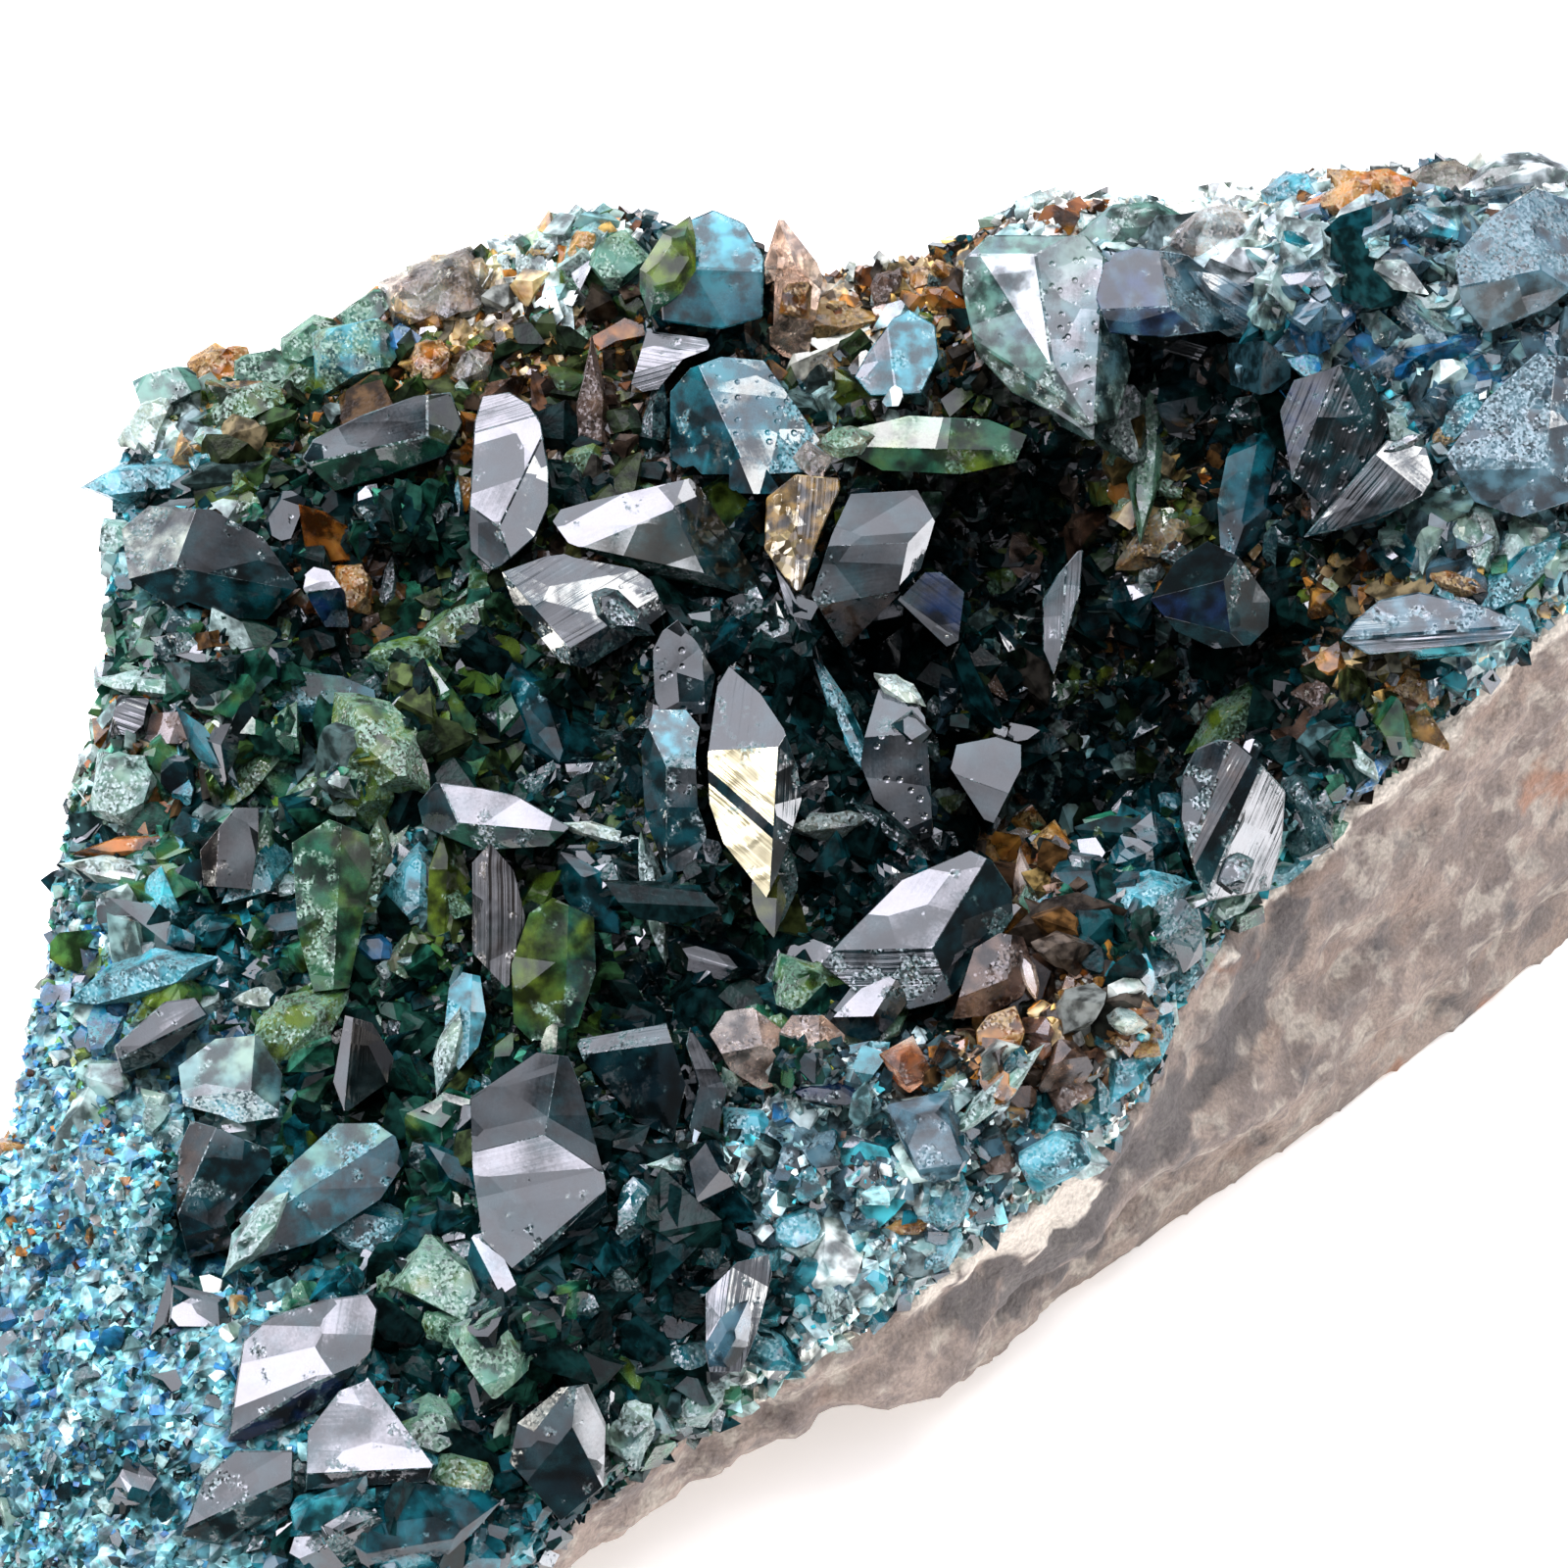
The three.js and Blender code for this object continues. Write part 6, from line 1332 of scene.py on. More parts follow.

# %% [markdown]
# ## Crystals placed one by one
# Between the large crystals stand many of one to three millimetres that give the face its character. Each is
# placed where it is seen: a line of sight finds the crust there, and the crystal is rooted at that point. It is
# listed by place, length, width, slant in the picture, mineral and look.

# %% Crystals placed one by one
PLACED = [
    (-8.5, 12.6, 2.3, 1.6, 20, "quartz_rosy", "pale frosted creamy"),
    (-10.5, 12.0, 1.3, 0.9, 30, "amber", "light frosted orange"),
    (-14.2, 10.6, 1.3, 1.0, 50, "amber", "light frosted orange"),
    (-13.7, 9.6, 2.0, 1.4, 20, "lazulite_green", "light frosted lime"),
    (-9.0, 10.7, 1.4, 1.1, 80, "amber", "light frosted orange"),
    (-7.9, 10.6, 1.2, 1.0, 60, "quartz_rosy", "light frosted creamy"),
    (-10.9, 11.0, 2.6, 1.8, 10, "lazulite_green", "grey frosted turquoise"),
    (-16.2, 7.7, 2.8, 1.1, 5, "lazulite_teal", "light frosted turquoise"),
    (-12.7, 6.8, 1.3, 1.1, 60, "kulanite", "grey"),
    (-17.0, 6.3, 1.1, 0.9, 80, "lazulite_pale", "pale frosted mint"),
    (-11.0, 5.0, 1.4, 1.0, 80, "amber", "grey frosted orange"),
    (-10.1, 4.9, 1.7, 0.5, 80, "kulanite", "grey ribbed frosted"),
    (-8.4, 6.5, 2.4, 0.5, 85, "lazulite_teal", "slate frosted turquoise"),
    (-13.1, 3.4, 0.9, 0.5, 20, "kulanite", "white"),
    (-14.9, 3.4, 0.6, 0.4, 30, "kulanite", "white"),
    (-14.6, 2.7, 0.9, 0.7, -20, "lazulite_pale", "lilac"),
    (-16.2, 2.5, 2.4, 0.6, -8, "lazulite_pale", "pale frosted mint"),
    (-16.6, 1.7, 1.3, 1.0, 80, "kulanite", "grey ribbed"),
    (-16.8, -0.1, 2.0, 1.7, 70, "lazulite_pale", "grey frosted mint"),
    (-15.4, 0.2, 1.1, 1.0, 0, "kulanite", "black"),
    (-14.6, 0.9, 1.9, 0.5, -55, "lazulite_teal", "grey"),
    (-13.2, 0.6, 2.1, 0.7, 50, "lazulite_green", "grey frosted"),
    (-16.4, -1.55, 2.4, 0.5, 5, "amber", "grey orange"),
    (-16.9, -2.3, 2.0, 0.7, -10, "lazulite_pale", "pale frosted creamy"),
    (-10.3, 1.0, 2.5, 1.6, -45, "lazulite_green", "light frosted lime"),
    (-12.2, -0.3, 1.9, 0.7, 35, "lazulite_green", "grey frosted lime"),
    (-13.25, -1.9, 1.9, 0.6, 85, "lazulite_green", "light frosted mint"),
    (-9.4, -2.7, 1.8, 1.1, 85, "lazulite_teal", "light frosted turquoise"),
    (-10.4, -2.2, 2.4, 0.8, 85, "lazulite_green", "grey frosted beige"),
    (-8.7, -2.8, 3.0, 0.9, 85, "lazulite_green", "dark"),
    (-12.9, -2.7, 1.2, 0.5, 10, "lazulite_pale", "pale frosted"),
    (-12.7, -3.5, 1.4, 0.9, 10, "lazulite_teal", "dark teal"),
    (-10.4, -4.2, 0.9, 0.7, 0, "lazulite_teal", "slate blue"),
    (-9.6, -4.4, 1.1, 0.9, 60, "lazulite_green", "slate frosted beige"),
    (-16.3, -5.0, 3.0, 1.1, 15, "lazulite_teal", "slate frosted turquoise"),
    (-12.9, -5.4, 2.1, 0.6, 3, "lazulite_pale", "light frosted creamy"),
    (-12.6, -6.4, 2.5, 1.4, 40, "lazulite_green", "slate frosted"),
    (-9.7, -6.6, 1.7, 0.8, -70, "kulanite", "grey frosted"),
    (-8.5, -6.7, 1.6, 0.5, 75, "lazulite_pale", "grey frosted"),
    (-5.3, -1.9, 1.2, 0.6, 0, "kulanite", "pale"),
    (-4.5, -1.3, 2.0, 0.45, -15, "lazulite_pale", "light frosted creamy"),
    (-3.3, -3.0, 3.0, 0.6, -80, "lazulite_pale", "grey frosted"),
    (-4.8, -3.0, 2.1, 1.0, -50, "lazulite_teal", "dark teal"),
    (-8.7, 3.6, 4.0, 1.3, 38, "lazulite_green", "slate frosted"),
    (-8.1, 3.2, 0.9, 0.35, 50, "kulanite", "light"),
    (-9.5, 2.3, 0.9, 0.25, 30, "lazulite_pale", "white"),
    (-7.0, 3.2, 1.5, 1.0, -60, "lazulite_green", "slate lime"),
    (-6.3, 1.7, 2.8, 1.4, -70, "lazulite_teal", "dark teal"),
    (-13.4, -11.4, 1.7, 0.7, 50, "lazulite_pale", "light frosted mint"),
    (-10.4, -11.4, 2.6, 1.1, -15, "lazulite_teal", "slate frosted teal"),
    (-9.1, -9.6, 1.1, 0.8, -10, "kulanite", "grey frosted"),
    (-14.9, -13.4, 1.4, 1.0, -10, "kulanite", "pale"),
    (-13.9, -13.3, 0.6, 0.4, 80, "amber", "white creamy"),
    (-9.6, -13.9, 0.45, 0.3, 45, "lazulite_pale", "white"),
    (-9.1, -14.7, 0.4, 0.3, 0, "lazulite_pale", "white"),
    (-6.9, -13.5, 0.35, 0.25, 0, "amber", "white orange"),
    (-7.2, -16.5, 0.9, 0.3, 65, "lazulite_pale", "white creamy"),
    (-8.4, -12.8, 2.6, 1.7, -35, "lazulite_green", "light frosted mint"),
    (-7.4, -14.5, 2.0, 1.4, -60, "lazulite_green", "grey frosted mint"),
    (-9.0, -16.4, 1.5, 1.2, 20, "lazulite_green", "light frosted mint"),
    (-8.2, -17.6, 1.6, 1.1, -20, "lazulite_green", "grey frosted"),
    (-9.8, -18.9, 3.4, 1.7, 10, "lazulite_teal", "slate teal"),
    (-3.9, -16.4, 1.5, 1.0, 60, "lazulite_pale", "light frosted"),
    (-4.2, 13.3, 1.7, 1.4, 40, "lazulite_green", "slate frosted mint"),
    (-2.9, 13.1, 2.0, 1.2, 60, "lazulite_green", "dark"),
    (-5.2, 13.6, 1.0, 0.8, 60, "amber", "light frosted"),
    (0.3, 12.4, 1.1, 0.8, 80, "amber", "slate frosted"),
    (1.0, 10.6, 0.9, 0.7, 0, "quartz_rosy", "pale frosted creamy"),
    (3.6, 12.9, 0.9, 0.8, 0, "amber", "light frosted"),
    (2.6, 12.6, 1.1, 0.7, 60, "quartz_smoky", "grey frosted"),
    (0.7, 8.2, 1.0, 0.7, -40, "quartz_rosy", "pale frosted"),
    (1.6, 8.7, 1.1, 0.7, 10, "lazulite_green", "slate frosted beige"),
    (-4.9, 9.2, 3.2, 0.8, 88, "quartz_smoky", "slate ribbed frosted"),
    (-3.2, 9.0, 2.6, 0.6, 88, "kulanite", "dark frosted"),
    (-1.4, 7.0, 1.8, 1.2, -50, "lazulite_green", "dark olive"),
    (-4.3, 4.4, 1.5, 0.8, -40, "kulanite", "light frosted"),
    (0.4, 4.2, 2.2, 0.4, -65, "kulanite", "grey ribbed"),
    (1.6, 1.4, 3.2, 0.45, -65, "lazulite_teal", "light frosted turquoise"),
    (2.9, 2.4, 1.2, 0.5, -35, "lazulite_pale", "pale frosted creamy"),
    (3.3, 1.4, 0.9, 0.6, -50, "kulanite", "light"),
    (5.0, 2.8, 1.5, 0.4, -45, "quartz_smoky", "grey frosted"),
    (6.0, 3.0, 1.7, 0.35, -58, "kulanite", "light ribbed"),
    (8.8, 2.5, 1.9, 0.3, -80, "kulanite", "light ribbed"),
    (6.5, 5.5, 1.9, 0.4, 40, "kulanite", "slate ribbed"),
    (7.2, 2.4, 0.9, 0.5, 50, "lazulite_green", "light frosted lime"),
    (8.2, 3.5, 0.5, 0.4, 0, "amber", "slate"),
    (9.3, 8.6, 3.4, 0.8, 85, "lazulite_green", "light frosted mint"),
    (8.8, 7.1, 0.9, 0.7, 0, "lazulite_green", "light frosted lime"),
    (9.6, 6.3, 1.8, 1.1, 30, "amber", "pale frosted creamy"),
    (9.5, 5.6, 1.1, 0.6, 60, "lazulite_pale", "pale frosted creamy"),
    (10.8, 10.6, 0.9, 0.5, 80, "quartz_smoky", "pale frosted"),
    (10.4, 11.2, 1.7, 0.8, -15, "kulanite_brown", "slate lined"),
    (12.4, 10.4, 0.9, 0.5, 50, "kulanite", "light"),
    (13.4, 10.7, 1.3, 0.6, 30, "kulanite", "grey"),
    (14.9, 11.0, 1.1, 0.8, -60, "lazulite_teal", "dark blue"),
    (13.9, 11.9, 1.6, 1.0, 50, "lazulite_slate", "light frosted blue"),
    (16.2, 11.8, 2.0, 0.6, -45, "lazulite_slate", "pale frosted"),
    (15.6, 13.3, 1.4, 0.8, 0, "lazulite_slate", "grey"),
    (14.3, 14.1, 3.4, 0.7, 12, "lazulite_pale", "light frosted turquoise"),
    (12.8, 14.9, 0.8, 0.8, 90, "lazulite_teal", "grey frosted"),
    (14.5, 15.3, 1.3, 0.9, 0, "amber", "light frosted"),
    (17.3, 9.4, 1.5, 1.0, 20, "lazulite_teal", "grey frosted turquoise"),
    (17.0, 8.9, 1.0, 0.6, 20, "amber", "light frosted creamy"),
    (15.8, 8.7, 0.9, 0.3, 20, "kulanite", "white frosted"),
    (12.7, 6.2, 1.2, 0.6, -60, "lazulite_green", "white frosted mint"),
    (12.0, 7.7, 3.2, 1.5, 80, "lazulite_teal", "black"),
    (17.6, 6.3, 1.7, 1.0, -70, "lazulite_pale", "light frosted mint"),
    (17.2, 5.1, 1.4, 0.6, -20, "amber", "grey frosted"),
    (18.8, 5.4, 2.3, 1.0, 45, "lazulite_teal", "slate frosted"),
    (19.2, 5.9, 1.6, 0.9, -60, "lazulite_pale", "light"),
    (13.9, 4.6, 1.1, 0.8, 0, "amber", "slate"),
    (16.2, 2.4, 1.2, 0.8, -20, "amber", "slate frosted"),
    (13.7, 2.2, 1.2, 0.8, -45, "quartz_smoky", "slate frosted"),
    (11.8, 1.8, 2.6, 1.1, 35, "lazulite_green", "dark frosted"),
    (16.0, 1.4, 1.5, 0.9, 60, "lazulite_green", "grey frosted mint"),
    (14.6, 0.7, 1.2, 0.5, -50, "lazulite_pale", "light frosted"),
    (14.6, 0.1, 1.7, 0.8, 20, "lazulite_slate", "grey frosted blue"),
    (13.6, -1.3, 1.3, 0.8, 20, "lazulite_green", "grey frosted mint"),
    (12.9, -1.9, 1.5, 0.8, 40, "lazulite_teal", "light frosted turquoise"),
    (11.5, -2.2, 1.0, 0.8, 60, "kulanite", "light frosted"),
    (11.3, -3.0, 1.4, 0.8, 25, "lazulite_pale", "light frosted mint"),
    (11.3, -3.9, 0.9, 0.6, 30, "amber", "light frosted"),
    (8.7, -0.5, 1.5, 0.8, 50, "kulanite", "light ribbed"),
    (9.1, -0.1, 0.4, 0.35, 0, "lazulite_pale", "white"),
    (9.0, -3.1, 2.3, 1.4, 20, "lazulite_teal", "slate frosted turquoise"),
    (9.9, -3.3, 2.4, 0.3, 25, "lazulite_pale", "pale"),
    (6.5, -3.3, 1.6, 0.8, -70, "lazulite_green", "slate frosted mint"),
    (7.5, -3.8, 1.1, 0.5, -20, "lazulite_slate", "light"),
    (9.0, -4.6, 2.0, 0.8, 0, "lazulite_slate", "grey frosted"),
    (10.2, -4.7, 1.4, 0.9, 50, "lazulite_teal", "light frosted turquoise"),
    (9.0, -7.0, 1.9, 1.0, 50, "lazulite_teal", "light frosted turquoise"),
    (5.8, -1.5, 1.1, 0.8, 30, "quartz_rosy", "light frosted"),
    (7.0, -1.7, 1.3, 0.9, -50, "amber", "slate frosted"),
    (6.1, -2.7, 1.4, 0.4, -85, "quartz_rosy", "light"),
    (4.4, -0.4, 0.8, 0.4, -50, "lazulite_pale", "white frosted"),
    (1.2, -1.0, 1.9, 0.7, 5, "lazulite_pale", "light frosted beige"),
    (2.9, -1.3, 1.9, 0.45, -35, "kulanite", "light ribbed frosted"),
    (-1.6, -3.8, 0.5, 0.2, 80, "kulanite", "white"),
    (-1.9, -4.4, 2.0, 0.9, -15, "kulanite", "slate lined"),
    (-3.4, -4.8, 0.9, 0.5, 0, "lazulite_pale", "slate frosted"),
    (-1.4, -5.4, 0.9, 0.5, -40, "amber", "dark"),
    (0.9, -5.3, 2.3, 1.5, -15, "lazulite_green", "slate frosted"),
    (2.2, -6.4, 1.7, 1.0, 30, "lazulite_green", "grey frosted mint"),
    (3.2, -7.2, 1.2, 0.9, -60, "quartz_rosy", "pale orange"),
    (4.4, -7.8, 0.9, 0.55, 60, "lazulite_pale", "white"),
    (5.5, -7.8, 2.3, 0.5, 45, "lazulite_pale", "light frosted mint"),
    (6.25, -4.9, 0.9, 0.35, -75, "quartz_rosy", "white"),
    (6.7, -5.3, 0.9, 0.6, -50, "amber", "light"),
    (1.1, -7.9, 1.4, 0.6, -10, "kulanite", "slate navy"),
    (-1.3, -7.9, 1.1, 0.5, -70, "lazulite_pale", "pale frosted mint"),
    (-1.0, -8.7, 1.1, 0.9, 0, "lazulite_teal", "light frosted turquoise"),
    (0.1, -8.4, 0.9, 0.6, 0, "lazulite_teal", "slate frosted blue"),
    (-2.5, -9.7, 1.2, 0.4, 0, "lazulite_pale", "light frosted"),
    (-2.4, -11.5, 1.0, 0.6, 40, "lazulite_pale", "pale"),
    (0.3, -11.2, 1.3, 1.0, 10, "lazulite_teal", "light frosted turquoise"),
    (3.8, -9.1, 2.1, 1.4, -75, "lazulite_slate", "grey dusty"),
    (4.2, -10.6, 1.4, 0.9, 70, "lazulite_teal", "light frosted turquoise"),
    (4.0, -11.8, 1.3, 0.8, 60, "lazulite_teal", "pale frosted turquoise"),
    (3.3, -11.3, 0.8, 0.4, 0, "amber", "slate frosted"),
    (6.9, -9.5, 1.8, 1.2, 20, "lazulite_teal", "light frosted turquoise"),
    (7.4, -8.5, 1.3, 0.6, -10, "lazulite_teal", "light frosted turquoise"),
    (5.3, -9.5, 1.1, 0.9, 0, "quartz_smoky", "slate frosted"),
    (7.3, -7.9, 1.0, 0.8, 20, "quartz_smoky", "grey frosted"),
    (6.0, -8.0, 0.9, 0.7, 0, "quartz_smoky", "slate"),
    (-1.4, -14.2, 1.6, 0.8, 60, "lazulite_slate", "grey"),
    (-0.5, -14.3, 1.4, 0.9, -30, "lazulite_teal", "light frosted turquoise"),
    (-2.1, -15.7, 1.3, 0.9, 50, "lazulite_pale", "light frosted mint"),
    (-15.7, 10.0, 1.7, 1.5, 20, "lazulite_mist", "light dusty mint"),
    (-16.2, 9.1, 1.6, 1.3, 60, "lazulite_pale", "pale frosted creamy"),
    (-14.6, 10.6, 1.3, 1.0, 20, "amber", "light frosted"),
    (-13.3, 10.5, 1.8, 1.2, 10, "lazulite_green", "grey frosted mint"),
    (-11.9, 11.1, 1.9, 1.5, 30, "lazulite_green", "slate frosted mint"),
    (-10.6, 12.0, 1.5, 1.1, 40, "lazulite_green", "grey frosted mint"),
    (-13.9, 9.6, 2.0, 1.2, 10, "amber", "slate frosted olive"),
    (-12.4, 10.2, 1.6, 1.0, 40, "lazulite_green", "slate frosted olive"),
    (-9.6, 11.2, 1.3, 0.9, -40, "lazulite_slate", "light blue"),
    (-9.3, 12.4, 2.0, 1.4, 20, "quartz_rosy", "pale frosted creamy"),
    (-8.2, 12.9, 1.7, 1.2, 0, "amber", "pale frosted creamy"),
    (9.0, 14.2, 2.2, 1.2, 5, "lazulite_mist", "light dusty mint"),
    (10.9, 13.9, 2.4, 1.3, 8, "quartz_rosy", "white frosted chalky"),
    (12.2, 13.2, 2.6, 0.9, -5, "lazulite_mist", "pale dusty chalky"),
    (13.0, 15.0, 1.7, 1.2, 30, "lazulite_slate", "grey frosted turquoise"),
    (14.9, 14.9, 2.2, 1.2, 5, "amber", "light frosted orange"),
    (16.6, 15.1, 2.4, 1.2, 5, "quartz_rosy", "pale frosted creamy"),
    (18.6, 15.3, 3.0, 1.3, 5, "lazulite_mist", "lilac dusty chalky"),
    (16.6, 14.2, 2.4, 0.8, -15, "lazulite_slate", "light frosted turquoise"),
    (11.6, 12.2, 2.6, 1.0, -30, "lazulite_slate", "lilac ribbed dusty"),
    (13.2, 12.9, 1.9, 0.7, 5, "lazulite_slate", "pale dusty"),
]
DULLER = ("black", "dark", "slate", "grey")
CLEAR_FINISHES = ("lazulite_green", "lazulite_teal", "kulanite")

by_finish = {}
for entry in PLACED:
    by_finish.setdefault(entry[5], []).append(entry)
for finish, entries in by_finish.items():
    mesh = bmesh.new()
    layers = face_layers(mesh)
    for across, up, length, width, slant, _, look in entries:
        eye, sight = sight_line(across, up)
        hit, _, _, _ = face_tree.ray_cast(eye, sight)
        if hit is None:
            print("nothing seen there:", across, up)
            continue
        turn = math.radians(slant)
        long_axis = math.cos(turn) * ACROSS + math.sin(turn) * UP
        tip = Matrix.Rotation(random.normal(0, 0.2), 3, long_axis) @ Matrix.Rotation(
            random.normal(0, 0.12), 3, TOWARDS.cross(long_axis))
        axes = tip @ Matrix((long_axis, TOWARDS.cross(long_axis), TOWARDS)).transposed()
        rough = "frosted" in look and finish not in CLEAR_FINISHES
        habit = "blade" if width < 0.45 * length else "block" if width > 0.65 * length else "wedge"
        habit = "rough_" + habit if rough else habit
        corners, faces = shapes[habit][random.integers(VARIANTS)]
        size = np.array([length, width, 0.85 * width]) / 2
        root = hit + TOWARDS * 0.22 * width
        points = [mesh.verts.new((root + axes @ Vector(corner * size)) * MM) for corner in corners]
        made = [mesh.faces.new([points[index] for index in face]) for face in faces]
        for face in made:
            face.normal_update()
        widest = max(made, key=lambda face: face.normal.dot(TOWARDS) * face.calc_area())
        marks = " ".join(word for word in look.split() if word not in MIRRORED)
        for face in made:
            face[layers["stain_and_painted_shade"]] = (0, 0, 0, 0)
            mark_facet(face, layers, marks, 0.25)
            if face is widest or rough and random.random() < 0.35:
                mark_facet(face, layers, look, 0.25)
            elif face.normal.dot(TOWARDS) > 0.1:
                mark_facet(face, layers, marks + " " + DULLER[random.integers(len(DULLER))], 0.25)
    data = bpy.data.meshes.new("placed_" + finish)
    mesh.to_mesh(data)
    mesh.free()
    data.materials.append(FINISHES[finish])
    piece = bpy.data.objects.new("placed_" + finish, data)
    bpy.context.scene.collection.objects.link(piece)
    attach(piece, "root")
print("crystals placed by hand:", len(PLACED))

# %% [markdown]
# ## Skins of the crust and the rock
# The crust and the slab are rough at every scale. A voxel remesh of the solid gives each an even skin, and the
# points of the skin are moved along their normals by noise. The crust's skin is broken up further, point by
# point, until it is a mosaic of small facets, and it takes the colours of the minerals that grow there, with
# painted shade on the facets round seeds drawn as standing in gaps. The flat underside stays flat.

# %% Skin of a solid
def skin_of(node, voxel, relief, jitter, name):
    """A dense even skin over a solid, roughened by noise."""
    source = bmesh.new()
    source.from_mesh(nodes[node].data)
    bmesh.ops.remove_doubles(source, verts=source.verts, dist=0.002 * MM)
    start = bpy.data.meshes.new(name)
    source.to_mesh(start)
    source.free()
    piece = bpy.data.objects.new(name, start)
    bpy.context.scene.collection.objects.link(piece)
    remesh = piece.modifiers.new("skin", "REMESH")
    remesh.mode = "VOXEL"
    remesh.voxel_size = voxel * MM
    evaluated = piece.evaluated_get(bpy.context.evaluated_depsgraph_get())
    skin = bpy.data.meshes.new_from_object(evaluated)
    piece.modifiers.clear()
    piece.data = skin
    skin.name = name
    count = len(skin.vertices)
    points = np.empty(count * 3)
    skin.vertices.foreach_get("co", points)
    points = points.reshape(-1, 3) / MM
    normals = np.array([vertex.normal[:] for vertex in skin.vertices])
    shift = np.zeros(count)
    for scale, height in relief:
        shift += height * np.array([noise.noise(Vector(point) * scale) for point in points])
    lifted = np.clip((points[:, 2] - 0.15) / 1.2, 0, 1)
    points += normals * (shift * lifted)[:, None] + random.normal(0, 1, (count, 3)) * (jitter * lifted)[:, None]
    points[:, 2] = np.maximum(points[:, 2], 0)
    skin.vertices.foreach_set("co", (points * MM).ravel())
    skin.update()
    skin.materials.clear()
    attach(piece, "root")
    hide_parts(node)
    print(name, "triangles:", 2 * len(skin.polygons))
    return piece


# %% Crust
CRUST_VOXEL = 0.25
CRUST_RELIEF = [(1.1, 0.2), (2.7, 0.12)]
CRUST_JITTER = 0.05
CRUST_SEEDS = 22000

crust = skin_of("lazulite_crust", CRUST_VOXEL, CRUST_RELIEF, CRUST_JITTER, "crust_skin")
crust.data.shade_flat()
seeds, _ = sow(CRUST_SEEDS, 1.0)
seed_tree = KDTree(len(seeds))
for number, seed in enumerate(seeds):
    seed_tree.insert(seed, number)
seed_tree.balance()
nearest = np.array([seed_tree.find(polygon.center / MM)[1] for polygon in crust.data.polygons])
mean_tints = np.array([np.mean(MINERAL_COLORS[name], axis=0) for name in mineral_names])
region_tints = region_mix @ mean_tints
colors = (0.5 * tints_of(minerals_at(seeds)) + 0.5 * region_tints[regions_at(seeds)])[nearest]
# Painted shade: facets round seeds drawn as standing in gaps are darkened as if in shade; the other factor only varies
# the tone.
colors *= painted_light_at(seeds)[nearest] * random.uniform(0.6, 1.0, (len(nearest), 1))
stain_and_painted_shade = crust.data.attributes.new("stain_and_painted_shade", "FLOAT_COLOR", "FACE")
stain_and_painted_shade.data.foreach_set("color", np.concatenate([colors, np.ones((len(colors), 1))], axis=1).ravel())
crust.data.materials.append(crust_material)

# %% Rock
ROCK_VOXEL = 0.34
ROCK_RELIEF = [(0.45, 0.35), (1.1, 0.28), (3.0, 0.09)]
DUST_REACH = 1.4
STREAK = [(4.6, -13.6), (7.0, -11.9), (8.8, -9.6), (10.8, -7.5), (11.7, -5.8), (12.9, -3.5)]
CREAM_LINE = [(3.6, -12.8), (5.6, -11.7), (7.6, -10.3)]
DARK_SPOTS = [(14.0, -3.0, 0.7), (16.7, -5.7, 1.0), (13.3, -7.5, 0.8), (16.0, -1.5, 0.7), (18.5, -3.4, 0.9),
              (10.2, -9.8, 0.8), (15.2, -4.4, 0.6), (12.2, -8.9, 0.6), (19.3, -1.0, 0.6)]
WARM_SPOTS = [(19.5, -0.2, 1.0), (17.8, -5.9, 0.8), (11.4, -4.7, 0.6), (15.5, -7.4, 0.8), (13.4, -9.4, 0.7)]
rock = skin_of("matrix_rock", ROCK_VOXEL, ROCK_RELIEF, 0.0, "rock_slab")
rock.data.shade_smooth()
rock_places = np.array([vertex.co[:] for vertex in rock.data.vertices]) / MM
rim_distance = np.array([crust_tree.find_nearest(place)[3] for place in rock_places])
warped = np.array([place + 0.75 * np.array(noise.noise_vector(Vector(place) * 0.9)) + 0.3 * np.array(
    noise.noise_vector(Vector(place) * 2.3)) for place in rock_places])
seen_places = picture_place(warped)


def near_line(corners, reach):
    """1 on a line of straight parts in the picture, falling to 0 at its reach."""
    nearest = np.full(len(seen_places), np.inf)
    for start, end in zip(np.array(corners[:-1]), np.array(corners[1:])):
        along = end - start
        share = np.clip((seen_places - start) @ along / (along @ along), 0, 1)
        nearest = np.minimum(nearest, np.linalg.norm(seen_places - start - share[:, None] * along, axis=1))
    return np.clip(1 - nearest / reach, 0, 1)


def near_spots(spots):
    """1 in the middle of each spot of the picture, falling to 0 at its reach."""
    return np.max([near_line([(across, up), (across + 0.2, up + 0.15)], reach) for across, up, reach in spots], axis=0)


rim_colors = np.stack([
    np.maximum(np.clip(1 - rim_distance / DUST_REACH, 0, 1) * np.where(seen_places[:, 0] > 12, 1.0, 0.55),
               near_line(CREAM_LINE, 1.0)),
    np.maximum(near_line(STREAK, 1.1), 0.7 * near_spots(DARK_SPOTS)),
    near_spots(WARM_SPOTS), np.ones(len(seen_places))], axis=1)
rock.data.attributes.new("rim", "FLOAT_COLOR", "POINT").data.foreach_set("color", rim_colors.ravel())

# %% Rock material
rock_material = bpy.data.materials.new("ironstone")
rock_material.use_nodes = True
tree = rock_material.node_tree
shader = tree.nodes["Principled BSDF"]
position = add(tree, "ShaderNodeTexCoord").outputs["Object"]
ROCK_LAYERS = [
    ((0.5, 0.5, 0.5), (0.4, 0.6), (0.33, 0.26, 0.21), 0.9),
    ((1.1, 1.1, 1.1), (0.5, 0.64), (0.43, 0.38, 0.31), 0.75),
    ((0.4, 0.4, 0.6), (0.56, 0.7), (0.29, 0.18, 0.12), 0.3),
    ((2.2, 2.2, 2.0), (0.5, 0.66), (0.12, 0.1, 0.095), 0.45),
    ((0.3, 0.3, 0.5), (0.55, 0.68), (0.12, 0.11, 0.105), 0.45),
]
rim = add(tree, "ShaderNodeAttribute", attribute_name="rim").outputs["Color"]
rim_parts = add(tree, "ShaderNodeSeparateColor")
tree.links.new(rim, rim_parts.inputs["Color"])
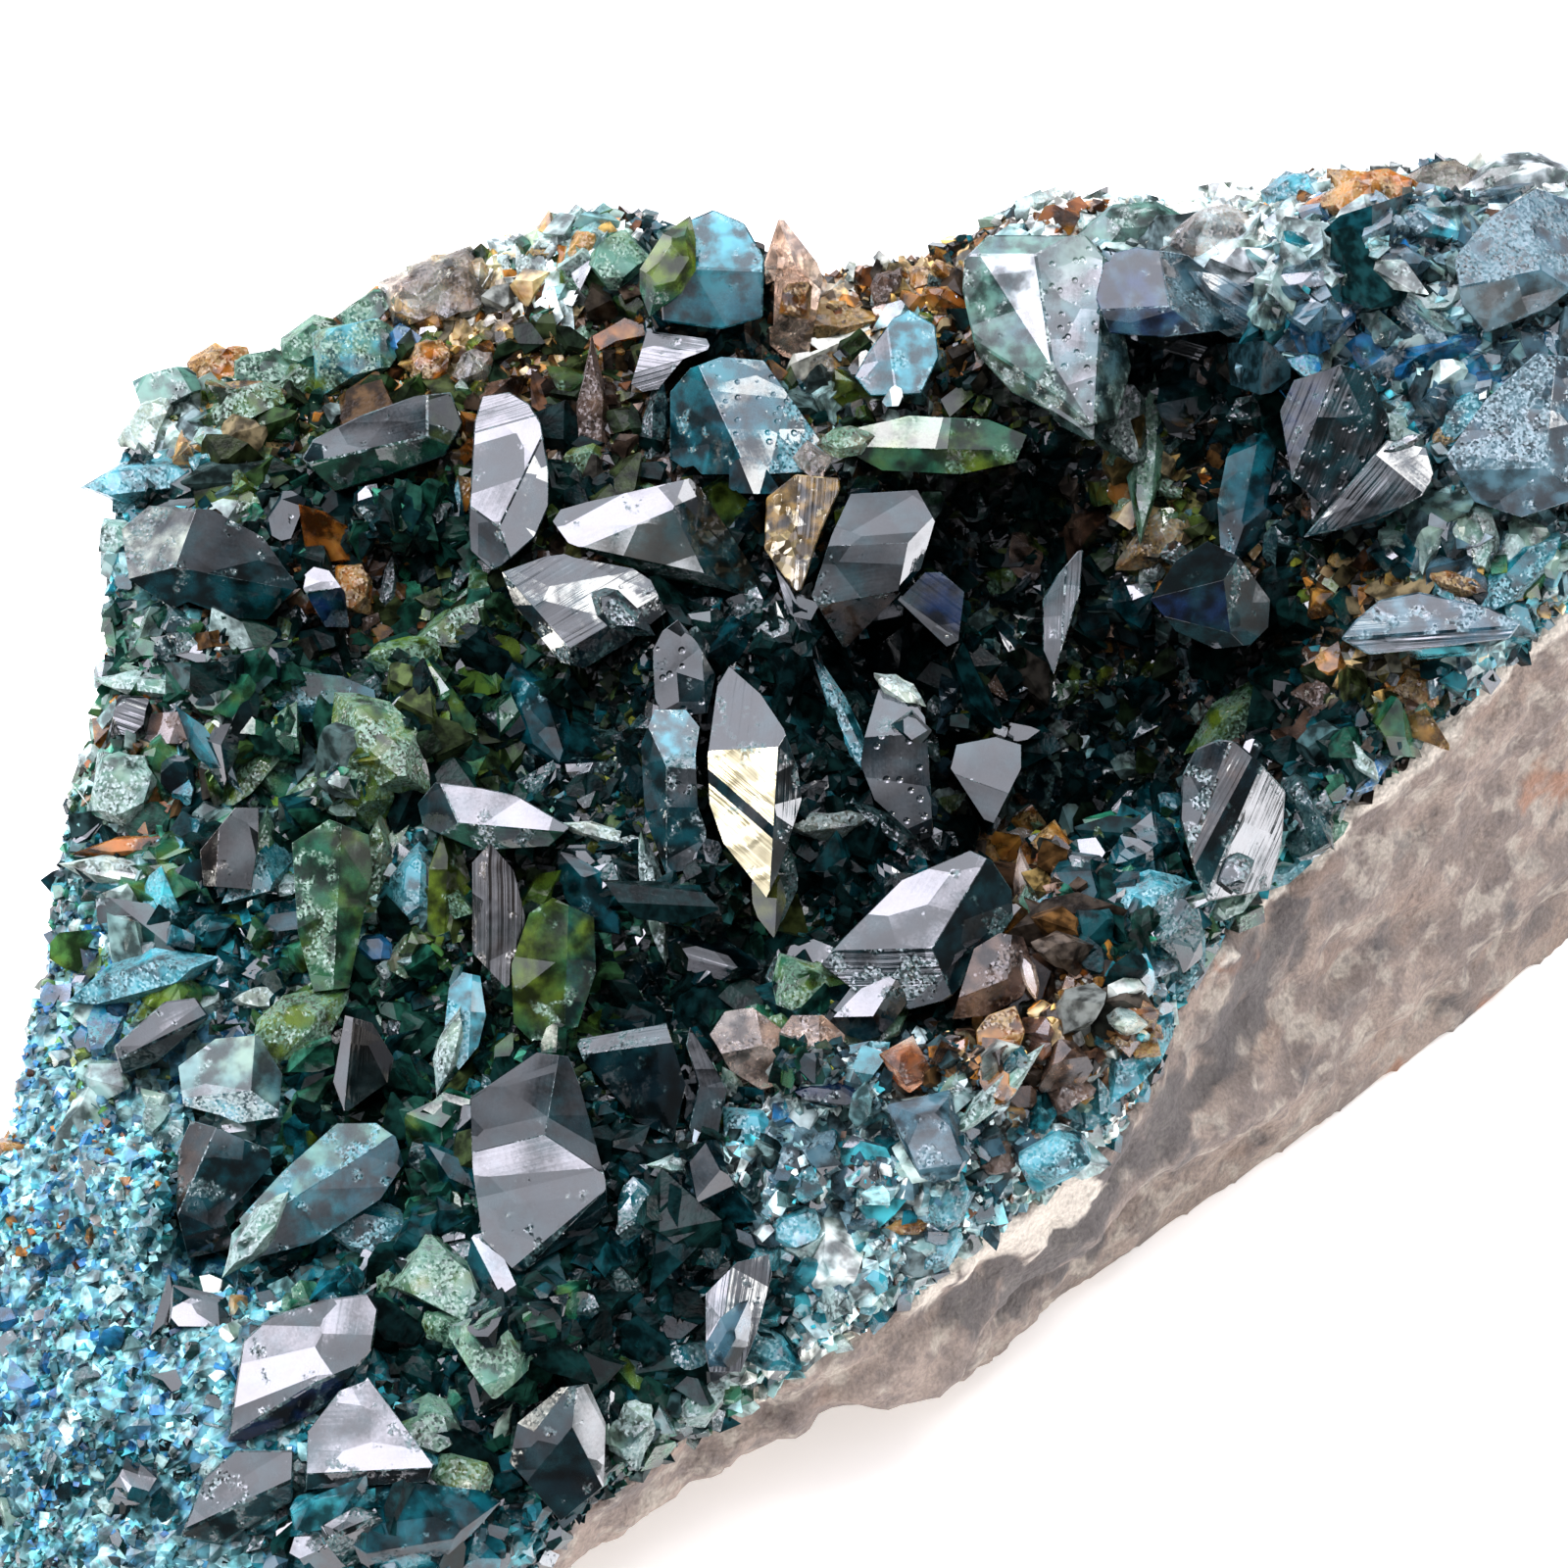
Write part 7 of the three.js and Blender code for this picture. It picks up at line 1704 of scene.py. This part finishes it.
rock_color = None


def rock_layer(mask, tone):
    """Lays one tone of rock over those before it."""
    global rock_color
    layer = add(tree, "ShaderNodeMix", data_type="RGBA")
    tree.links.new(mask, layer.inputs["Factor"])
    layer.inputs["A"].default_value = (0.2, 0.16, 0.135, 1)
    if rock_color:
        tree.links.new(rock_color, layer.inputs["A"])
    layer.inputs["B"].default_value = (*tone, 1)
    rock_color = layer.outputs["Result"]


for stretch, (low, high), tone, share in ROCK_LAYERS:
    placed = add(tree, "ShaderNodeVectorMath", operation="MULTIPLY")
    tree.links.new(position, placed.inputs[0])
    placed.inputs[1].default_value = [part * PER_MM for part in stretch]
    mask = ramp_between(tree, noise_texture(tree, placed.outputs["Vector"], 1.0, 5.0), low, high)
    rock_layer(math_node(tree, "MULTIPLY", mask, share), tone)
ragged = math_node(tree, "MULTIPLY", noise_texture(tree, position, 1.3 * PER_MM, 5.0), 0.9)
for part, (low, high), tone in (
        ("Blue", (0.75, 1.2), (0.3, 0.16, 0.1)), ("Green", (0.75, 1.15), (0.1, 0.09, 0.085)),
        ("Red", (0.85, 1.1), (0.7, 0.63, 0.53))):
    near = math_node(tree, "ADD", rim_parts.outputs[part], ragged)
    rock_layer(math_node(tree, "MULTIPLY", ramp_between(tree, near, low, high), 0.88), tone)
grainy = ramp_between(tree, noise_texture(tree, position, 9 * PER_MM, 3.0), 0.3, 0.75)
speckled = add(tree, "ShaderNodeHueSaturation")
tree.links.new(rock_color, speckled.inputs["Color"])
tree.links.new(math_node(tree, "ADD", math_node(tree, "MULTIPLY", grainy, 0.3), 0.82), speckled.inputs["Value"])
tree.links.new(speckled.outputs["Color"], shader.inputs["Base Color"])
shader.inputs["Roughness"].default_value = 0.85
bump = add(tree, "ShaderNodeBump")
bump.inputs["Distance"].default_value = 0.16 * MM
tree.links.new(noise_texture(tree, position, 4.0 * PER_MM, 4.0), bump.inputs["Height"])
tree.links.new(bump.outputs["Normal"], shader.inputs["Normal"])
rock.data.materials.append(rock_material)
